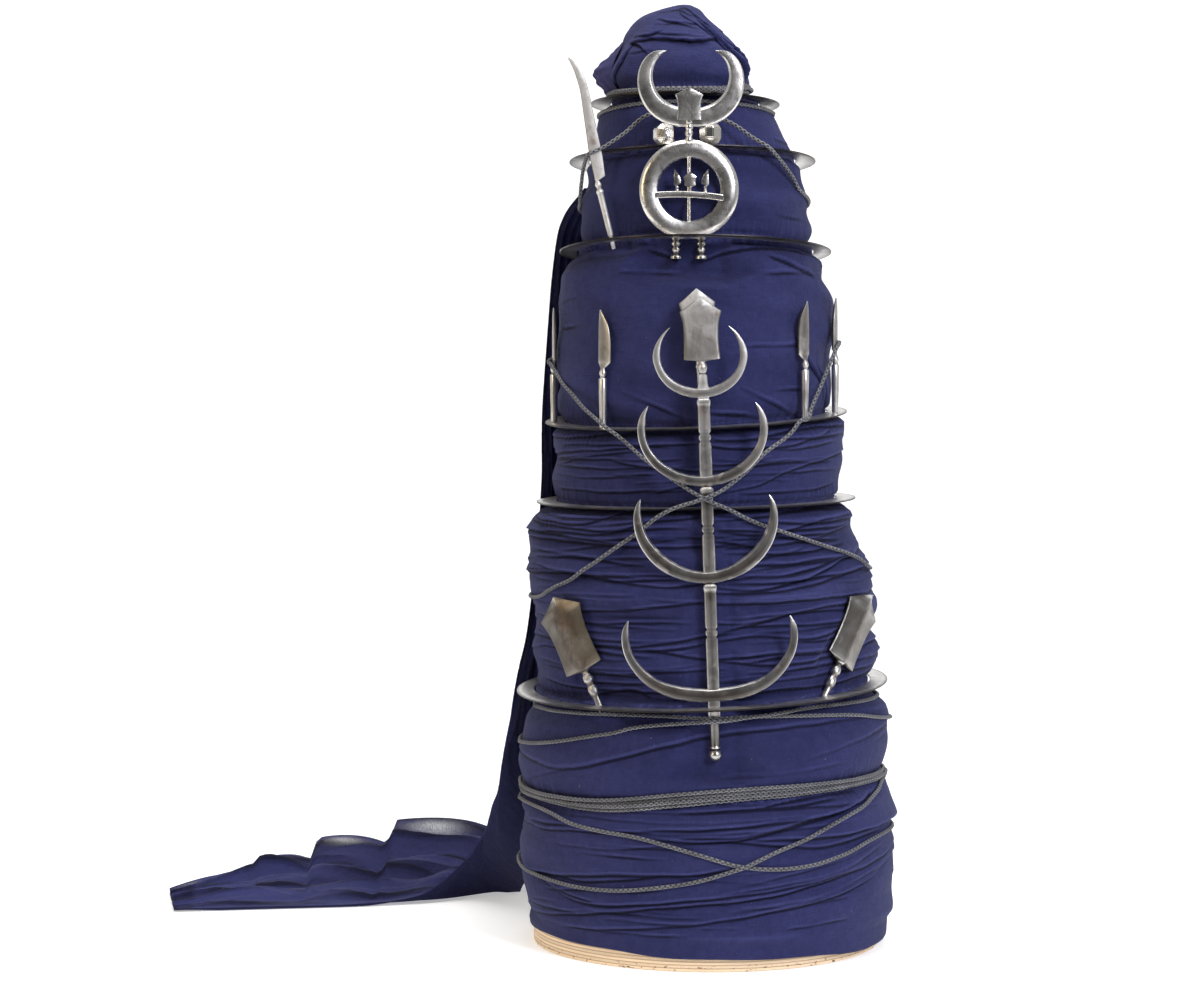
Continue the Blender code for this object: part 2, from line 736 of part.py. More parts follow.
def octagon(height, left, right, half_depth, shape, depth_shift=0.0):
    """An eight-cornered section at a height, for bars, handles and blades."""
    edge_x, edge_y, face_x, face_y = SECTION_SHAPES[shape]
    middle = (left + right) / 2
    half = (right - left) / 2
    corners = (
        (edge_x, -edge_y),
        (edge_x, edge_y),
        (face_x, face_y),
        (-face_x, face_y),
        (-edge_x, edge_y),
        (-edge_x, -edge_y),
        (-face_x, -face_y),
        (face_x, -face_y),
    )
    return [Vector((middle + x * half, y * half_depth + depth_shift, height)) for x, y in corners]


def spade_rows(foot, length, half_width, half_depth, shape):
    """The sections of a spade blade, from its foot up."""
    rows = []
    for row in rows_of(SPADE_COLUMNS, SPADE):
        half = row["half_width"] * half_width
        rows.append((foot + row["height"] * length, -half, half, half_depth, shape))
    return rows


def as_joined(piece, others, hidden):
    """One brazed solid: the piece with the others united to it."""
    for other in others:
        modifier = piece.modifiers.new(other.name, "BOOLEAN")
        modifier.operation = "UNION"
        modifier.solver = "EXACT"
        modifier.object = other
        other.hide_render = True
        other.display_type = "WIRE"
        for owner in list(other.users_collection):
            owner.objects.unlink(other)
        hidden.objects.link(other)
    return piece


def with_screw(piece, segments):
    """Turns a piece's profile about its Z axis."""
    screw = piece.modifiers.new("turned", "SCREW")
    screw.steps = segments
    screw.render_steps = segments
    screw.use_merge_vertices = True
    screw.merge_threshold = 0.00005
    screw.use_smooth_shade = True
    return piece


def ring_profile(name, points):
    """A closed profile of (radius, height) points as a mesh of edges."""
    mesh = bpy.data.meshes.new(name)
    count = len(points)
    edges = [(i, (i + 1) % count) for i in range(count)]
    mesh.from_pydata([(radius, 0, height) for radius, height in points], edges, [])
    return mesh


def section_angles():
    """Angles round the turban, closer together at the front."""
    front = [-math.pi + math.pi * i / FRONT_SEGMENTS for i in range(FRONT_SEGMENTS)]
    back = [math.pi * i / BACK_SEGMENTS for i in range(BACK_SEGMENTS)]
    return front + back


def section_heights():
    """Heights on the axis of the cloth's sections, with more between sections that lie far apart."""
    heights = [HEIGHTS[0]]
    for low, high in zip(HEIGHTS, HEIGHTS[1:]):
        parts = max(1, round((high - low) / ROW_SPACING))
        heights += [low + (high - low) * (i + 1) / parts for i in range(parts)]
    return heights


def build_base_ring(collection, material):
    """The plywood ring that the turban stands on."""
    chamfer = 0.0008
    half = PLY_THICKNESS
    points = (
        (PLY_RADIUS - chamfer, half),
        (PLY_RADIUS, half - chamfer),
        (PLY_RADIUS, chamfer),
        (PLY_RADIUS - chamfer, 0),
        (PLY_HOLE_RADIUS, 0),
        (PLY_HOLE_RADIUS, half),
    )
    piece = new_object("base_ring", ring_profile("base_ring", points), material, collection)
    return with_screw(piece, 32)


def build_wound_cloth(collection, material):
    """The hollow cone of wound cloth, from the dome of its hollow down to the hem and up to its top."""
    angles = section_angles()
    seat = PLY_THICKNESS + CLEARANCE
    widest_step = max(math.pi / FRONT_SEGMENTS, math.pi / BACK_SEGMENTS)
    lip_radius = (PLY_RADIUS + 2 * CLEARANCE) / math.cos(widest_step / 2)
    hem_radius = max(HALF_WIDTHS[0] - 0.0008, lip_radius + SHIFTS[0] + HEM_WALL)
    rings = [[Vector((shift_at(HOLLOW_HEIGHT), 0, HOLLOW_HEIGHT + HOLLOW_TOP_RADIUS * 0.5))]]
    levels = 5
    for i in range(levels):
        share = i / (levels - 1)
        height = HOLLOW_HEIGHT + (seat - HOLLOW_HEIGHT) * share
        radius = HOLLOW_TOP_RADIUS + (HOLLOW_RADIUS - HOLLOW_TOP_RADIUS) * share
        shift = shift_at(height) * (1 - share)
        rings.append([Vector((shift + radius * math.cos(a), radius * math.sin(a), height)) for a in angles])
    rings.append([Vector((lip_radius * math.cos(a), lip_radius * math.sin(a), seat)) for a in angles])
    hems = [HEM_HEIGHT - HEM_RIGHT_DROP * math.cos(a) for a in angles]
    for radius, shift in ((lip_radius, 0.0), (hem_radius, SHIFTS[0])):
        rings.append(
            [Vector((shift + radius * math.cos(a), radius * math.sin(a), hem)) for a, hem in zip(angles, hems)]
        )
    for height in section_heights():
        rings.append([cloth_point(a, height) for a in angles])
    rings.append([Vector((SHIFTS[-1], 0, TURBAN_HEIGHT))])
    return new_object("wound_cloth", loft("wound_cloth", rings), material, collection)


def build_quoits(collection, material):
    """Six flat steel rings with a bevelled outer edge."""
    for number, row in enumerate(QUOIT_ROWS, start=1):
        half = QUOIT_THICKNESS / 2
        outer = row["radius"] * CLOTH_RADIUS
        inner = outer - row["band"] * CLOTH_RADIUS
        points = (
            (outer - QUOIT_BEVEL, half),
            (outer, 0.0),
            (outer - QUOIT_BEVEL, -half),
            (inner, -half),
            (inner, half),
        )
        name = f"quoit_{number}"
        piece = new_object(name, ring_profile(name, points), material, collection)
        with_screw(piece, QUOIT_SEGMENTS)
        piece.matrix_world = quoit_frame(row)


def crescent_mesh(name, outline, half_width, middle, depth_shift, front, back):
    """A crescent standing in the XZ plane, open at the top, with a ridge on its front."""
    rows = rows_of(CRESCENT_COLUMNS, outline)
    angles = [row["angle"] for row in rows]
    outers = [row["outer"] * half_width for row in rows]
    inners = [row["inner"] * half_width for row in rows]
    widest = outers[0] - inners[0]
    steps = 6
    rings = []
    for i in range(-steps, steps + 1):
        angle = angles[-1] * abs(i) / steps
        outer = eased(angle, angles, outers)
        inner = min(eased(angle, angles, inners), outer - 0.0004)
        scale = 0.25 + 0.75 * clamped((outer - inner) / widest, 0.0, 1.0)
        turn = math.radians(angle) * (1 if i > 0 else -1)
        ridge = inner + (outer - inner) * 0.34
        across = (inner + outer) / 2
        ring = []
        for radius, depth in ((inner, 0.0), (ridge, -front), (outer, 0.0), (across, back)):
            x = middle[0] + radius * math.sin(turn)
            z = middle[1] - radius * math.cos(turn)
            ring.append(Vector((x, depth_shift + depth * scale, z)))
        rings.append(ring)
    return loft(name, rings)


def staff_rows():
    """The sections of the staff's spine, from its ball up to the spade's point."""
    half = BAR_WIDTH / 2
    deep = BAR_DEPTH / 2
    rod = BAR_WIDTH * 0.39
    ball = BAR_WIDTH * 0.53
    foot = BAR_FOOT * STAFF_LENGTH
    top = BAR_TOP * STAFF_LENGTH
    rows = []
    for turn in (-70, -25, 20, 60):
        radius = ball * math.cos(math.radians(turn))
        rows.append((ball * math.sin(math.radians(turn)), -radius, radius, radius, "round"))
    rows.append((ball * 1.5, -rod, rod, rod, "round"))
    rows.append((foot - 0.002, -rod, rod, rod, "round"))
    rows.append((foot, -half, half, deep, "square"))
    for share in BAR_NOTCHES:
        notch = share * STAFF_LENGTH
        rows.append((notch - 0.0040, -half, half, deep, "square"))
        rows.append((notch, -half * 0.84, half * 0.84, deep * 0.96, "square"))
        rows.append((notch + 0.0040, -half, half, deep, "square"))
    rows.append((top - 0.010, -half * 0.95, half * 0.95, deep, "square"))
    rows.append((top + 0.0075, -half * 0.72, half * 0.72, deep * 0.72, "square"))
    for rise, radius in ((0.0100, 0.0025), (0.0140, 0.0038), (0.0175, 0.0025)):
        rows.append((top + rise, -radius, radius, radius, "round"))
    blade = top + 0.0185
    return rows + spade_rows(blade, STAFF_LENGTH - blade, 0.0159, BLADE_DEPTH / 2, "flat")


def build_crescent_staff(collection, hidden, material):
    """The square bar with four crescents, its spade blade and its ball, brazed into one."""
    spine = loft("crescent_staff", [octagon(*row) for row in staff_rows()])
    staff = new_object("crescent_staff", spine, material, collection)
    staff.matrix_world = STAFF_FRAME
    crescents = []
    for number, row in enumerate(rows_of(STAFF_CRESCENT_COLUMNS, STAFF_CRESCENTS), start=1):
        name = f"staff_crescent_{number}"
        middle = (STAFF_CRESCENT_SHIFT, row["height"] * STAFF_LENGTH)
        depth_shift = 0.0012 - BAR_DEPTH / 2
        half_width = row["half_width"] * CLOTH_RADIUS
        mesh = crescent_mesh(name, row["outline"], half_width, middle, depth_shift, 0.0018, 0.0011)
        crescent = new_object(name, mesh, material, collection)
        crescent.matrix_world = STAFF_FRAME
        crescents.append(crescent)
    return as_joined(staff, crescents, hidden)


def build_back_blade(collection, material):
    """The second spade blade, which stands on the fourth quoit behind the staff."""
    angle = math.radians(BACK_BLADE_ANGLE)
    foot = on_quoit(QUOIT_ROWS[KNIFE_QUOIT], angle, BACK_BLADE_SEAT)
    top = foot + Vector((-0.0040, -0.0055, BACK_BLADE_LENGTH))
    rows = [
        (0.0, -0.0024, 0.0024, 0.0024, "round"),
        (BACK_BLADE_SHANK - 0.004, -0.0028, 0.0028, 0.0024, "round"),
    ]
    blade_length = BACK_BLADE_LENGTH - BACK_BLADE_SHANK
    rows += spade_rows(BACK_BLADE_SHANK, blade_length, BACK_BLADE_WIDTH / 2, BLADE_DEPTH / 2, "flat")
    mesh = loft("back_spade_blade", [octagon(*row) for row in rows])
    piece = new_object("back_spade_blade", mesh, material, collection)
    piece.matrix_world = standing(foot, top)
    return piece


def knife_mesh(name, table, length, width, side):
    """A knife from its foot up, with its straight edge on the left for side 1 and on the right for -1."""
    rings = []
    for row in rows_of(KNIFE_COLUMNS, table):
        edges = sorted((side * row["left"] * width, side * row["right"] * width))
        rings.append(octagon(row["height"] * length, *edges, row["half_depth"] * width, row["shape"]))
    return loft(name, rings)


def build_knives(collection, material):
    """The long knife at the top, and the four small knives that stand on the fourth quoit."""
    mesh = knife_mesh("long_knife", LONG_KNIFE, LONG_KNIFE_LENGTH, LONG_KNIFE_WIDTH, 1)
    piece = new_object("long_knife", mesh, material, collection)
    piece.matrix_world = LONG_KNIFE_FRAME
    row = QUOIT_ROWS[KNIFE_QUOIT]
    for number, (degrees, side) in enumerate(SMALL_KNIVES, start=1):
        name = f"small_knife_{number}"
        angle = math.radians(degrees)
        foot = on_quoit(row, angle, KNIFE_SEAT)
        top = foot + Vector((0, 0, KNIFE_LENGTH))
        mesh = knife_mesh(name, SMALL_KNIFE, KNIFE_LENGTH, KNIFE_WIDTH, side)
        piece = new_object(name, mesh, material, collection)
        piece.matrix_world = standing(foot, top, degrees + 90)


def build_side_blades(collection, material):
    """Two broad spade blades whose shanks pass inside the sixth quoit."""
    shank = SIDE_BLADE_LENGTH * 0.35
    rows = [
        (0.0, -SHANK_RADIUS * 0.9, SHANK_RADIUS * 0.9, SHANK_RADIUS * 0.9, "round"),
        (shank * 0.12, -SHANK_RADIUS, SHANK_RADIUS, SHANK_RADIUS, "round"),
        (shank * 0.35, -0.0026, 0.0026, 0.0026, "round"),
        (shank * 0.50, -0.0037, 0.0037, 0.0037, "round"),
        (shank * 0.64, -0.0030, 0.0030, 0.0030, "round"),
        (shank * 0.74, -0.0038, 0.0038, 0.0038, "round"),
        (shank * 0.86, -0.0036, 0.0036, 0.0030, "round"),
        (shank * 0.95, -0.0024, 0.0024, 0.0022, "round"),
    ]
    rows += spade_rows(shank, SIDE_BLADE_LENGTH - shank, SIDE_BLADE_WIDTH / 2, 0.0018, "ridged")
    for name, frame in (("side_blade_left", LEFT_BLADE_FRAME), ("side_blade_right", RIGHT_BLADE_FRAME)):
        mesh = loft(name, [octagon(*row) for row in rows])
        piece = new_object(name, mesh, material, collection)
        piece.matrix_world = frame


BADGE_STEM = ((0.932, 0.079), (1.01, 0.058), (1.10, 0.079), (1.17, 0.063), (1.26, 0.084))
BADGE_FOOT = (
    (BADGE_FOOT_LOW, 0.120),
    (BADGE_FOOT_LOW + 0.055, 0.115),
    (BADGE_FOOT_LOW + 0.110, 0.076),
    (-1.08, 0.092),
    (-1.00, 0.072),
    (-0.93, 0.090),
    (-0.82, 0.097),
    (-0.77, 0.050),
)
BADGE_WEAPONS = (
    ("badge_spade", 0.021, 0.486, -0.134, 0.134),
    ("badge_knife_left", -0.231, 0.538, -0.073, 0.058),
    ("badge_knife_right", 0.331, 0.538, -0.073, 0.068),
)
TOP_CRESCENT_MIDDLE = (0.034, 2.236)
TOP_CRESCENT_HALF_WIDTH = 1.071


def badge_weapon_rows(foot, length, left, right, half_depth):
    """A little knife or spade on the badge's crossbar, with a beaded stem."""
    rows = []
    for share, radius in ((0.00, 0.0012), (0.14, 0.0017), (0.24, 0.0011), (0.36, 0.0012)):
        rows.append((foot + share * length, -radius, radius, radius, "round"))
    for share, scale in ((0.42, 0.75), (0.78, 1.00), (1.00, 0.06)):
        rows.append((foot + share * length, left * scale, right * scale, half_depth, "flat"))
    return rows


def badge_parts():
    """The meshes that are brazed to the badge's ring, in its own frame: origin at the ring's middle."""
    size = BADGE_RING_RADIUS
    middle = (TOP_CRESCENT_MIDDLE[0] * size, TOP_CRESCENT_MIDDLE[1] * size)
    half_width = TOP_CRESCENT_HALF_WIDTH * size
    crescent = crescent_mesh("top_crescent", TOP_CRESCENT, half_width, middle, 0.0003, 0.0026, 0.0012)
    parts = [("top_crescent", crescent)]
    rows = [
        (height * size, -radius * size, radius * size, radius * size, "round", -0.0006)
        for height, radius in BADGE_STEM
    ]
    rows += [(*row, -0.0022) for row in spade_rows(1.378 * size, 0.669 * size, 0.283 * size, 0.0011, "flat")]
    parts.append(("badge_stem", loft("badge_stem", [octagon(*row) for row in rows])))
    bar = BADGE_RING_HOLE + 0.0020
    rings = []
    for share in (-1.0, -0.5, 0.0, 0.5, 1.0):
        height = -0.0055 + 0.0016 * (1 - share**2) - 0.0010 * share
        corners = octagon(share * bar, -0.0024, 0.0024, 0.0016, "square", -0.0008)
        rings.append([Vector((corner.z, corner.y, height + corner.x)) for corner in corners])
    parts.append(("badge_crossbar", loft("badge_crossbar", rings)))
    reach = BADGE_RING_HOLE + 0.0010
    rod = [(-reach, -0.0014, 0.0014, 0.0010, "round"), (reach, -0.0014, 0.0014, 0.0010, "round")]
    parts.append(("badge_rod", loft("badge_rod", [octagon(*row) for row in rod])))
    for name, across, length, left, right in BADGE_WEAPONS:
        rows = badge_weapon_rows(-0.0052, length * size, left * size, right * size, 0.0009)
        mesh = loft(name, [octagon(*row, -0.0008) for row in rows])
        mesh.transform(Matrix.Translation((across * size, 0, 0)))
        parts.append((name, mesh))
    for name, across in zip(("badge_foot_left", "badge_foot_right"), BADGE_FEET):
        rings = []
        for height, share in BADGE_FOOT:
            radius = share * size
            depth = radius if height < -1.2 else min(radius, BADGE_FOOT_DEPTH)
            rings.append(octagon(height * size, -radius, radius, depth, "round", BADGE_FOOT_SHIFT))
        mesh = loft(name, rings)
        mesh.transform(Matrix.Translation((across * size, 0, 0)))
        parts.append((name, mesh))
    return parts


def build_crest_badge(collection, hidden, material):
    """The crest badge: a ring with a crossbar and small weapons, feet, a stem, a spade and a crescent."""
    deep = BADGE_DEPTH / 2
    width = BADGE_RING_RADIUS - BADGE_RING_HOLE
    points = (
        (BADGE_RING_RADIUS - width * 0.25, deep),
        (BADGE_RING_RADIUS, -deep * 0.4),
        (BADGE_RING_RADIUS - width * 0.05, -deep),
        (BADGE_RING_HOLE, -deep),
        (BADGE_RING_HOLE, deep * 0.2),
        (BADGE_RING_HOLE + width * 0.25, deep),
    )
    badge = new_object("crest_badge", ring_profile("crest_badge", points), material, collection)
    with_screw(badge, QUOIT_SEGMENTS)
    badge.matrix_world = BADGE_FRAME @ Matrix.Rotation(math.radians(90), 4, "X")
    others = []
    for name, mesh in badge_parts():
        part = new_object(name, mesh, material, collection)
        part.matrix_world = BADGE_FRAME
        others.append(part)
    return as_joined(badge, others, hidden)


def build_knobs(collection, material):
    """Two faceted knobs that stand on the second quoit, beside the badge's stem."""
    seat = QUOIT_ROWS[1]
    share = 0.62
    reach = (seat["radius"] - seat["band"] * (1 - share)) * CLOTH_RADIUS
    middle = BADGE_FRAME.translation.x - shift_at(seat["height"] * TURBAN_HEIGHT)
    for name, across, turn in (("knob_left", -0.486, 24), ("knob_right", 0.441, 38)):
        form = bmesh.new()
        bmesh.ops.create_cube(form, size=KNOB_SIZE)
        piece = new_object(name, mesh_from(name, form), material, collection)
        bevel = piece.modifiers.new("facets", "BEVEL")
        bevel.width = KNOB_SIZE * 0.26
        bevel.segments = 1
        bevel.affect = "EDGES"
        angle = math.asin((middle + across * BADGE_RING_RADIUS) / reach) - math.pi / 2
        tilt = Matrix.Rotation(math.radians(seat["front_rise"]), 4, "X").inverted()
        lift = Matrix.Translation((0, 0, KNOB_SIZE / 2))
        turned = Matrix.Rotation(math.radians(turn), 4, "Z")
        piece.matrix_world = Matrix.Translation(on_quoit(seat, angle, share)) @ tilt @ lift @ turned


def tree_of(piece, finished=True):
    """A search tree over a piece in place, with its modifiers or as it is before them."""
    if finished:
        bpy.context.view_layer.update()
        source = piece.evaluated_get(bpy.context.evaluated_depsgraph_get())
    else:
        source = piece
    mesh = source.to_mesh()
    points = [piece.matrix_world @ vertex.co for vertex in mesh.vertices]
    faces = [list(polygon.vertices) for polygon in mesh.polygons]
    source.to_mesh_clear()
    return BVHTree.FromPolygons(points, faces)


def rim_tree(row):
    """A search tree over the rim of a quoit, as blunt as the quoit is thick."""
    frame = quoit_frame(row)
    steps = 2 * QUOIT_SEGMENTS
    points = []
    for i in range(steps):
        x = math.cos(math.tau * i / steps) * row["radius"] * CLOTH_RADIUS
        y = math.sin(math.tau * i / steps) * row["radius"] * CLOTH_RADIUS
        points += [frame @ Vector((x, y, side * QUOIT_THICKNESS / 2)) for side in (-1, 1)]
    count = len(points)
    faces = [(i, i + 1, (i + 3) % count, (i + 2) % count) for i in range(0, count, 2)]
    return BVHTree.FromPolygons(points, faces)


def reach_of(trees, angle, level):
    """How far from the axis the pieces in place reach, at an angle and a level above the floor."""
    outside = 2 * CLOTH_RADIUS
    middle = Vector((shift_at(level), 0, level))
    out = Vector((math.cos(angle), math.sin(angle), 0))
    reach = 0.0
    for tree in trees:
        distance = tree.ray_cast(middle + out * outside, -out, outside)[3]
        if distance is not None:
            reach = max(reach, outside - distance)
    return reach


def route_path(route):
    """Angles and levels close together along a route that closes on itself."""
    rows = route[:-1]
    count = len(rows)
    turn = route[-1][0] - route[0][0]
    path = []
    for i in range(count):
        corners = [(rows[k % count][0] + turn * (k // count), rows[k % count][1]) for k in range(i - 1, i + 3)]
        start, end = corners[1:3]
        along = math.radians(end[0] - start[0]) * CLOTH_RADIUS
        parts = max(1, round(math.hypot(along, (end[1] - start[1]) * TURBAN_HEIGHT) / CORD_STEP))
        for part in range(parts):
            share = part / parts
            weights = (
                (-(share**3) + 2 * share**2 - share) / 2,
                (3 * share**3 - 5 * share**2 + 2) / 2,
                (-3 * share**3 + 4 * share**2 + share) / 2,
                (share**3 - share**2) / 2,
            )
            angle = sum(weight * corner[0] for weight, corner in zip(weights, corners))
            level = sum(weight * corner[1] for weight, corner in zip(weights, corners))
            path.append((math.radians(angle), level * TURBAN_HEIGHT))
    return path


def cord_floor(trees, angle, level):
    """The least radius at which a cord's middle clears the pieces beneath it."""
    half = CORD_DIAMETER / 2
    floor = 0.0
    for share in (-1.0, -0.6, 0.0, 0.6, 1.0):
        rise = half * math.sqrt(1 - share**2)
        floor = max(floor, reach_of(trees, angle, level + share * half) + rise)
    return floor + CORD_SAG + CLEARANCE


def widened(floors):
    """Floors that reach one step further along the cord to both sides."""
    count = len(floors)
    return [max(floors[i - 1], floors[i], floors[(i + 1) % count]) for i in range(count)]


def tightened(path, floors, radii):
    """Radii of a closed cord drawn straight wherever nothing beneath holds it out."""
    radii = list(radii)
    count = len(path)
    cosines = [math.cos(path[i][0] - path[i - 1][0]) for i in range(count)]
    for _ in range(400):
        for i in range(count):
            before = radii[i - 1]
            after = radii[(i + 1) % count]
            turn = cosines[i] * cosines[(i + 1) % count]
            spread = before**2 + after**2 + 2 * before * after * (2 * turn - 1)
            radii[i] = max(floors[i], math.sqrt(spread) / 2)
    return radii


def over_itself(path, floors, radii):
    """Floors of the second turn, raised where it crosses the first turn."""
    raised = list(floors)
    gap = CORD_DIAMETER + CORD_SAG + CLEARANCE
    half = len(path) // 2
    for i in range(half, len(path)):
        angle, level = path[i]
        for j in range(half):
            rise = abs(path[j][1] - level)
            if rise > gap:
                continue
            turn = math.remainder(path[j][0] - angle, math.tau)
            apart = math.hypot(radii[j] * turn, rise)
            if apart < gap:
                raised[i] = max(raised[i], radii[j] + math.sqrt(gap**2 - apart**2))
    return raised


def station_points(points):
    """The fewest points of a closed path whose straight spans stay close to it."""
    count = len(points)
    kept = []
    start = 0
    while start < count:
        kept.append(points[start])
        end = start + 1
        while end < count:
            trial = end + 1
            span = points[trial % count] - points[start]
            if span.length > CORD_LONGEST_SPAN:
                break
            direction = span.normalized()
            steps = [points[k % count] - points[start] for k in range(start + 1, trial)]
            if max((step - direction * step.dot(direction)).length for step in steps) > CORD_SAG:
                break
            end = trial
        start = end
    return kept


def build_cord(name, route, trees, collection, material):
    """A round cord laid along a route over the pieces beneath it."""
    path = route_path(route)
    floors = widened([cord_floor(trees, angle, level) for angle, level in path])
    radii = tightened(path, floors, floors)
    if abs(route[-1][0] - route[0][0]) > 400:
        floors = over_itself(path, floors, radii)
        radii = tightened(path, floors, radii)
    points = [
        Vector((shift_at(level) + radius * math.cos(angle), radius * math.sin(angle), level))
        for (angle, level), radius in zip(path, radii)
    ]
    stations = station_points(points)
    curve = bpy.data.curves.new(name, "CURVE")
    curve.dimensions = "3D"
    curve.bevel_depth = CORD_DIAMETER / 2
    curve.bevel_resolution = 2
    curve.render_resolution_u = 0
    spline = curve.splines.new("POLY")
    spline.points.add(len(stations) - 1)
    for point, place in zip(spline.points, stations):
        point.co = (*place, 1)
    spline.use_cyclic_u = True
    return new_object(name, curve, material, collection)


def build_bundle(name, rows, segments, trees, collection, material):
    """Several turns of cord lying side by side, as one ribbed ring."""
    angles = [row[0] for row in rows]
    ribs = ((-1.0, 0.25), (-1.0, 0.75), (-0.66, 1.0), (-0.33, 0.85), (0.0, 1.0))
    ribs += ((0.33, 0.85), (0.66, 1.0), (1.0, 0.75), (1.0, 0.25), (0.0, 0.0))
    rings = []
    for i in range(segments):
        degrees = angles[0] + 360 * i / segments
        level = eased(degrees, angles, [row[1] for row in rows]) * TURBAN_HEIGHT
        half = eased(degrees, angles, [row[2] for row in rows]) * CORD_DIAMETER / 2
        seat = 0.0
        for turn in (-0.5, -0.25, 0.0, 0.25, 0.5):
            near = math.radians(degrees + 360 * turn / segments)
            for share in (-1.0, -0.5, 0.0, 0.5, 1.0):
                seat = max(seat, reach_of(trees, near, level + half * share))
        seat += CORD_SAG + CLEARANCE
        angle = math.radians(degrees)
        ring = []
        for across, out in ribs:
            radius = seat + out * CORD_DIAMETER
            x = shift_at(level) + radius * math.cos(angle)
            ring.append(Vector((x, radius * math.sin(angle), level + across * half)))
        rings.append(ring)
    return new_object(name, loft(name, rings, cyclic=True), material, collection)


def build_cords(cloth, spine, hard, collection, material):
    """All the cords that are wound round the turban, over the pieces that they cross."""
    build_bundle("crown_cord", CROWN_BUNDLE, 20, [cloth], collection, material)
    build_bundle("cord_band", BAND_BUNDLE, 30, [cloth], collection, material)
    build_cord("crown_cord_low", CROWN_LOW_ROUTE, [cloth], collection, material)
    build_cord("crest_cord", CREST_ROUTE, [cloth, *hard], collection, material)
    build_cord("cross_cord", CROSS_ROUTE, [cloth, spine, *hard], collection, material)
    build_cord("waist_cord", WAIST_ROUTE, [cloth, spine], collection, material)
    build_cord("lower_cord", LOWER_ROUTE, [cloth], collection, material)


def sheet_piece(name, grid, thickness, collection, material):
    """A wall of cloth on a grid of points, thickened to both sides."""
    form = bmesh.new()
    rows = [[form.verts.new(point) for point in row] for row in grid]
    for low, high in zip(rows, rows[1:]):
        for i in range(len(low) - 1):
            form.faces.new((low[i], low[i + 1], high[i + 1], high[i]))
    piece = new_object(name, mesh_from(name, form), material, collection)
    wall = piece.modifiers.new("wall", "SOLIDIFY")
    wall.thickness = thickness
    wall.offset = 0
    return piece


def tail_top(tree):
    """The tail's upper edge, which lies on the wound cloth."""
    near, far = TAIL_TOP_ANGLES
    first = rows_of(TAIL_COLUMNS, TAIL)[0]
    line = []
    for i in range(TAIL_COLUMNS_ACROSS):
        share = i / (TAIL_COLUMNS_ACROSS - 1)
        angle = math.radians(near + (far - near) * share)
        level = (first["near"][2] + (first["far"][2] - first["near"][2]) * share) * TURBAN_HEIGHT
        seat = max(reach_of([tree], angle + turn, level + rise) for turn in (-0.05, 0.05) for rise in (0, -0.006))
        radius = seat + TAIL_THICKNESS / 2 + CLEARANCE
        x = shift_at(level) + radius * math.cos(angle)
        line.append(Vector((x, radius * math.sin(angle), level)))
    return line


def tail_grid(tree):
    """The middle surface of the tail, from its top to its end on the floor."""
    grid = []
    rows = rows_of(TAIL_COLUMNS, TAIL)
    for index, row in enumerate(rows):
        near = placed(row["near"])
        far = placed(row["far"])
        along = (far - near).normalized()
        lying = clamped((0.12 - near.z) / 0.10, 0.0, 1.0)
        outward = Vector((along.y, -along.x, 0)).normalized() * -1
        outward = outward.lerp(Vector((0, 0, 1)), lying).normalized()
        line = []
        for i in range(TAIL_COLUMNS_ACROSS):
            share = i / (TAIL_COLUMNS_ACROSS - 1)
            bulge = row["belly"] * CLOTH_RADIUS * math.sin(math.pi * share)
            fold = TAIL_FOLD_HEIGHT * lying * math.sin(math.tau * TAIL_FOLDS * share + index * 0.25)
            point = near.lerp(far, share) + outward * (bulge + fold * math.sin(math.pi * share))
            point.z = max(point.z, TAIL_THICKNESS * 0.75)
            line.append(point)
        grid.append(line)
    grid[0] = tail_top(tree)
    return grid


def build_tail(tree, collection, material):
    """The loose end of the cloth, which hangs behind the left side and lies on the floor."""
    return sheet_piece("cloth_tail", tail_grid(tree), TAIL_THICKNESS, collection, material)


def build_flap(tree, collection, material):
    """The dark end of the hood that sticks out at the left of the crown."""
    grid = []
    for degrees, share, width in FLAP:
        level = share * TURBAN_HEIGHT
        angle = math.radians(degrees)
        seat = max(reach_of([tree], angle + turn, level) for turn in (-0.3, -0.15, 0.0, 0.15, 0.3))
        inner = seat + FLAP_THICKNESS / 2 + 2 * CLEARANCE
        line = []
        for out, puff in ((0.0, 0.0), (0.55, FLAP_PUFF), (1.0, FLAP_PUFF * 0.6)):
            radius = inner + out * width
            x = shift_at(level) + radius * math.cos(angle)
            line.append(Vector((x, radius * math.sin(angle) + puff, level)))
        grid.append(line)
    return sheet_piece("crown_flap", grid, FLAP_THICKNESS, collection, material)


def main():
    for old in list(bpy.data.objects):
        bpy.data.objects.remove(old, do_unlink=True)
    parts = new_collection("sikh_turban")
    hidden = new_collection("sikh_turban_joined_shapes")
    cotton = new_material("navy_cotton", (0.026, 0.028, 0.107), 0.85, 0.0)
    steel = new_material("tarnished_steel", (0.47, 0.45, 0.43), 0.38, 0.95)
    cord = new_material("grey_cord", (0.115, 0.115, 0.120), 0.80, 0.0)
    plywood = new_material("pale_plywood", (0.67, 0.45, 0.26), 0.60, 0.0)
    build_base_ring(parts, plywood)
    cloth = tree_of(build_wound_cloth(parts, cotton))
    build_flap(cloth, parts, cotton)
    build_tail(cloth, parts, cotton)
    build_quoits(parts, steel)
    staff = build_crescent_staff(parts, hidden, steel)
    build_back_blade(parts, steel)
    build_crest_badge(parts, hidden, steel)
    build_knobs(parts, steel)
    build_knives(parts, steel)
    build_side_blades(parts, steel)
    spine = tree_of(staff, finished=False)
    hard = [tree_of(piece) for piece in parts.objects if "knife" in piece.name]
    hard += [rim_tree(row) for row in QUOIT_ROWS]
    build_cords(cloth, spine, hard, parts, cord)


main()
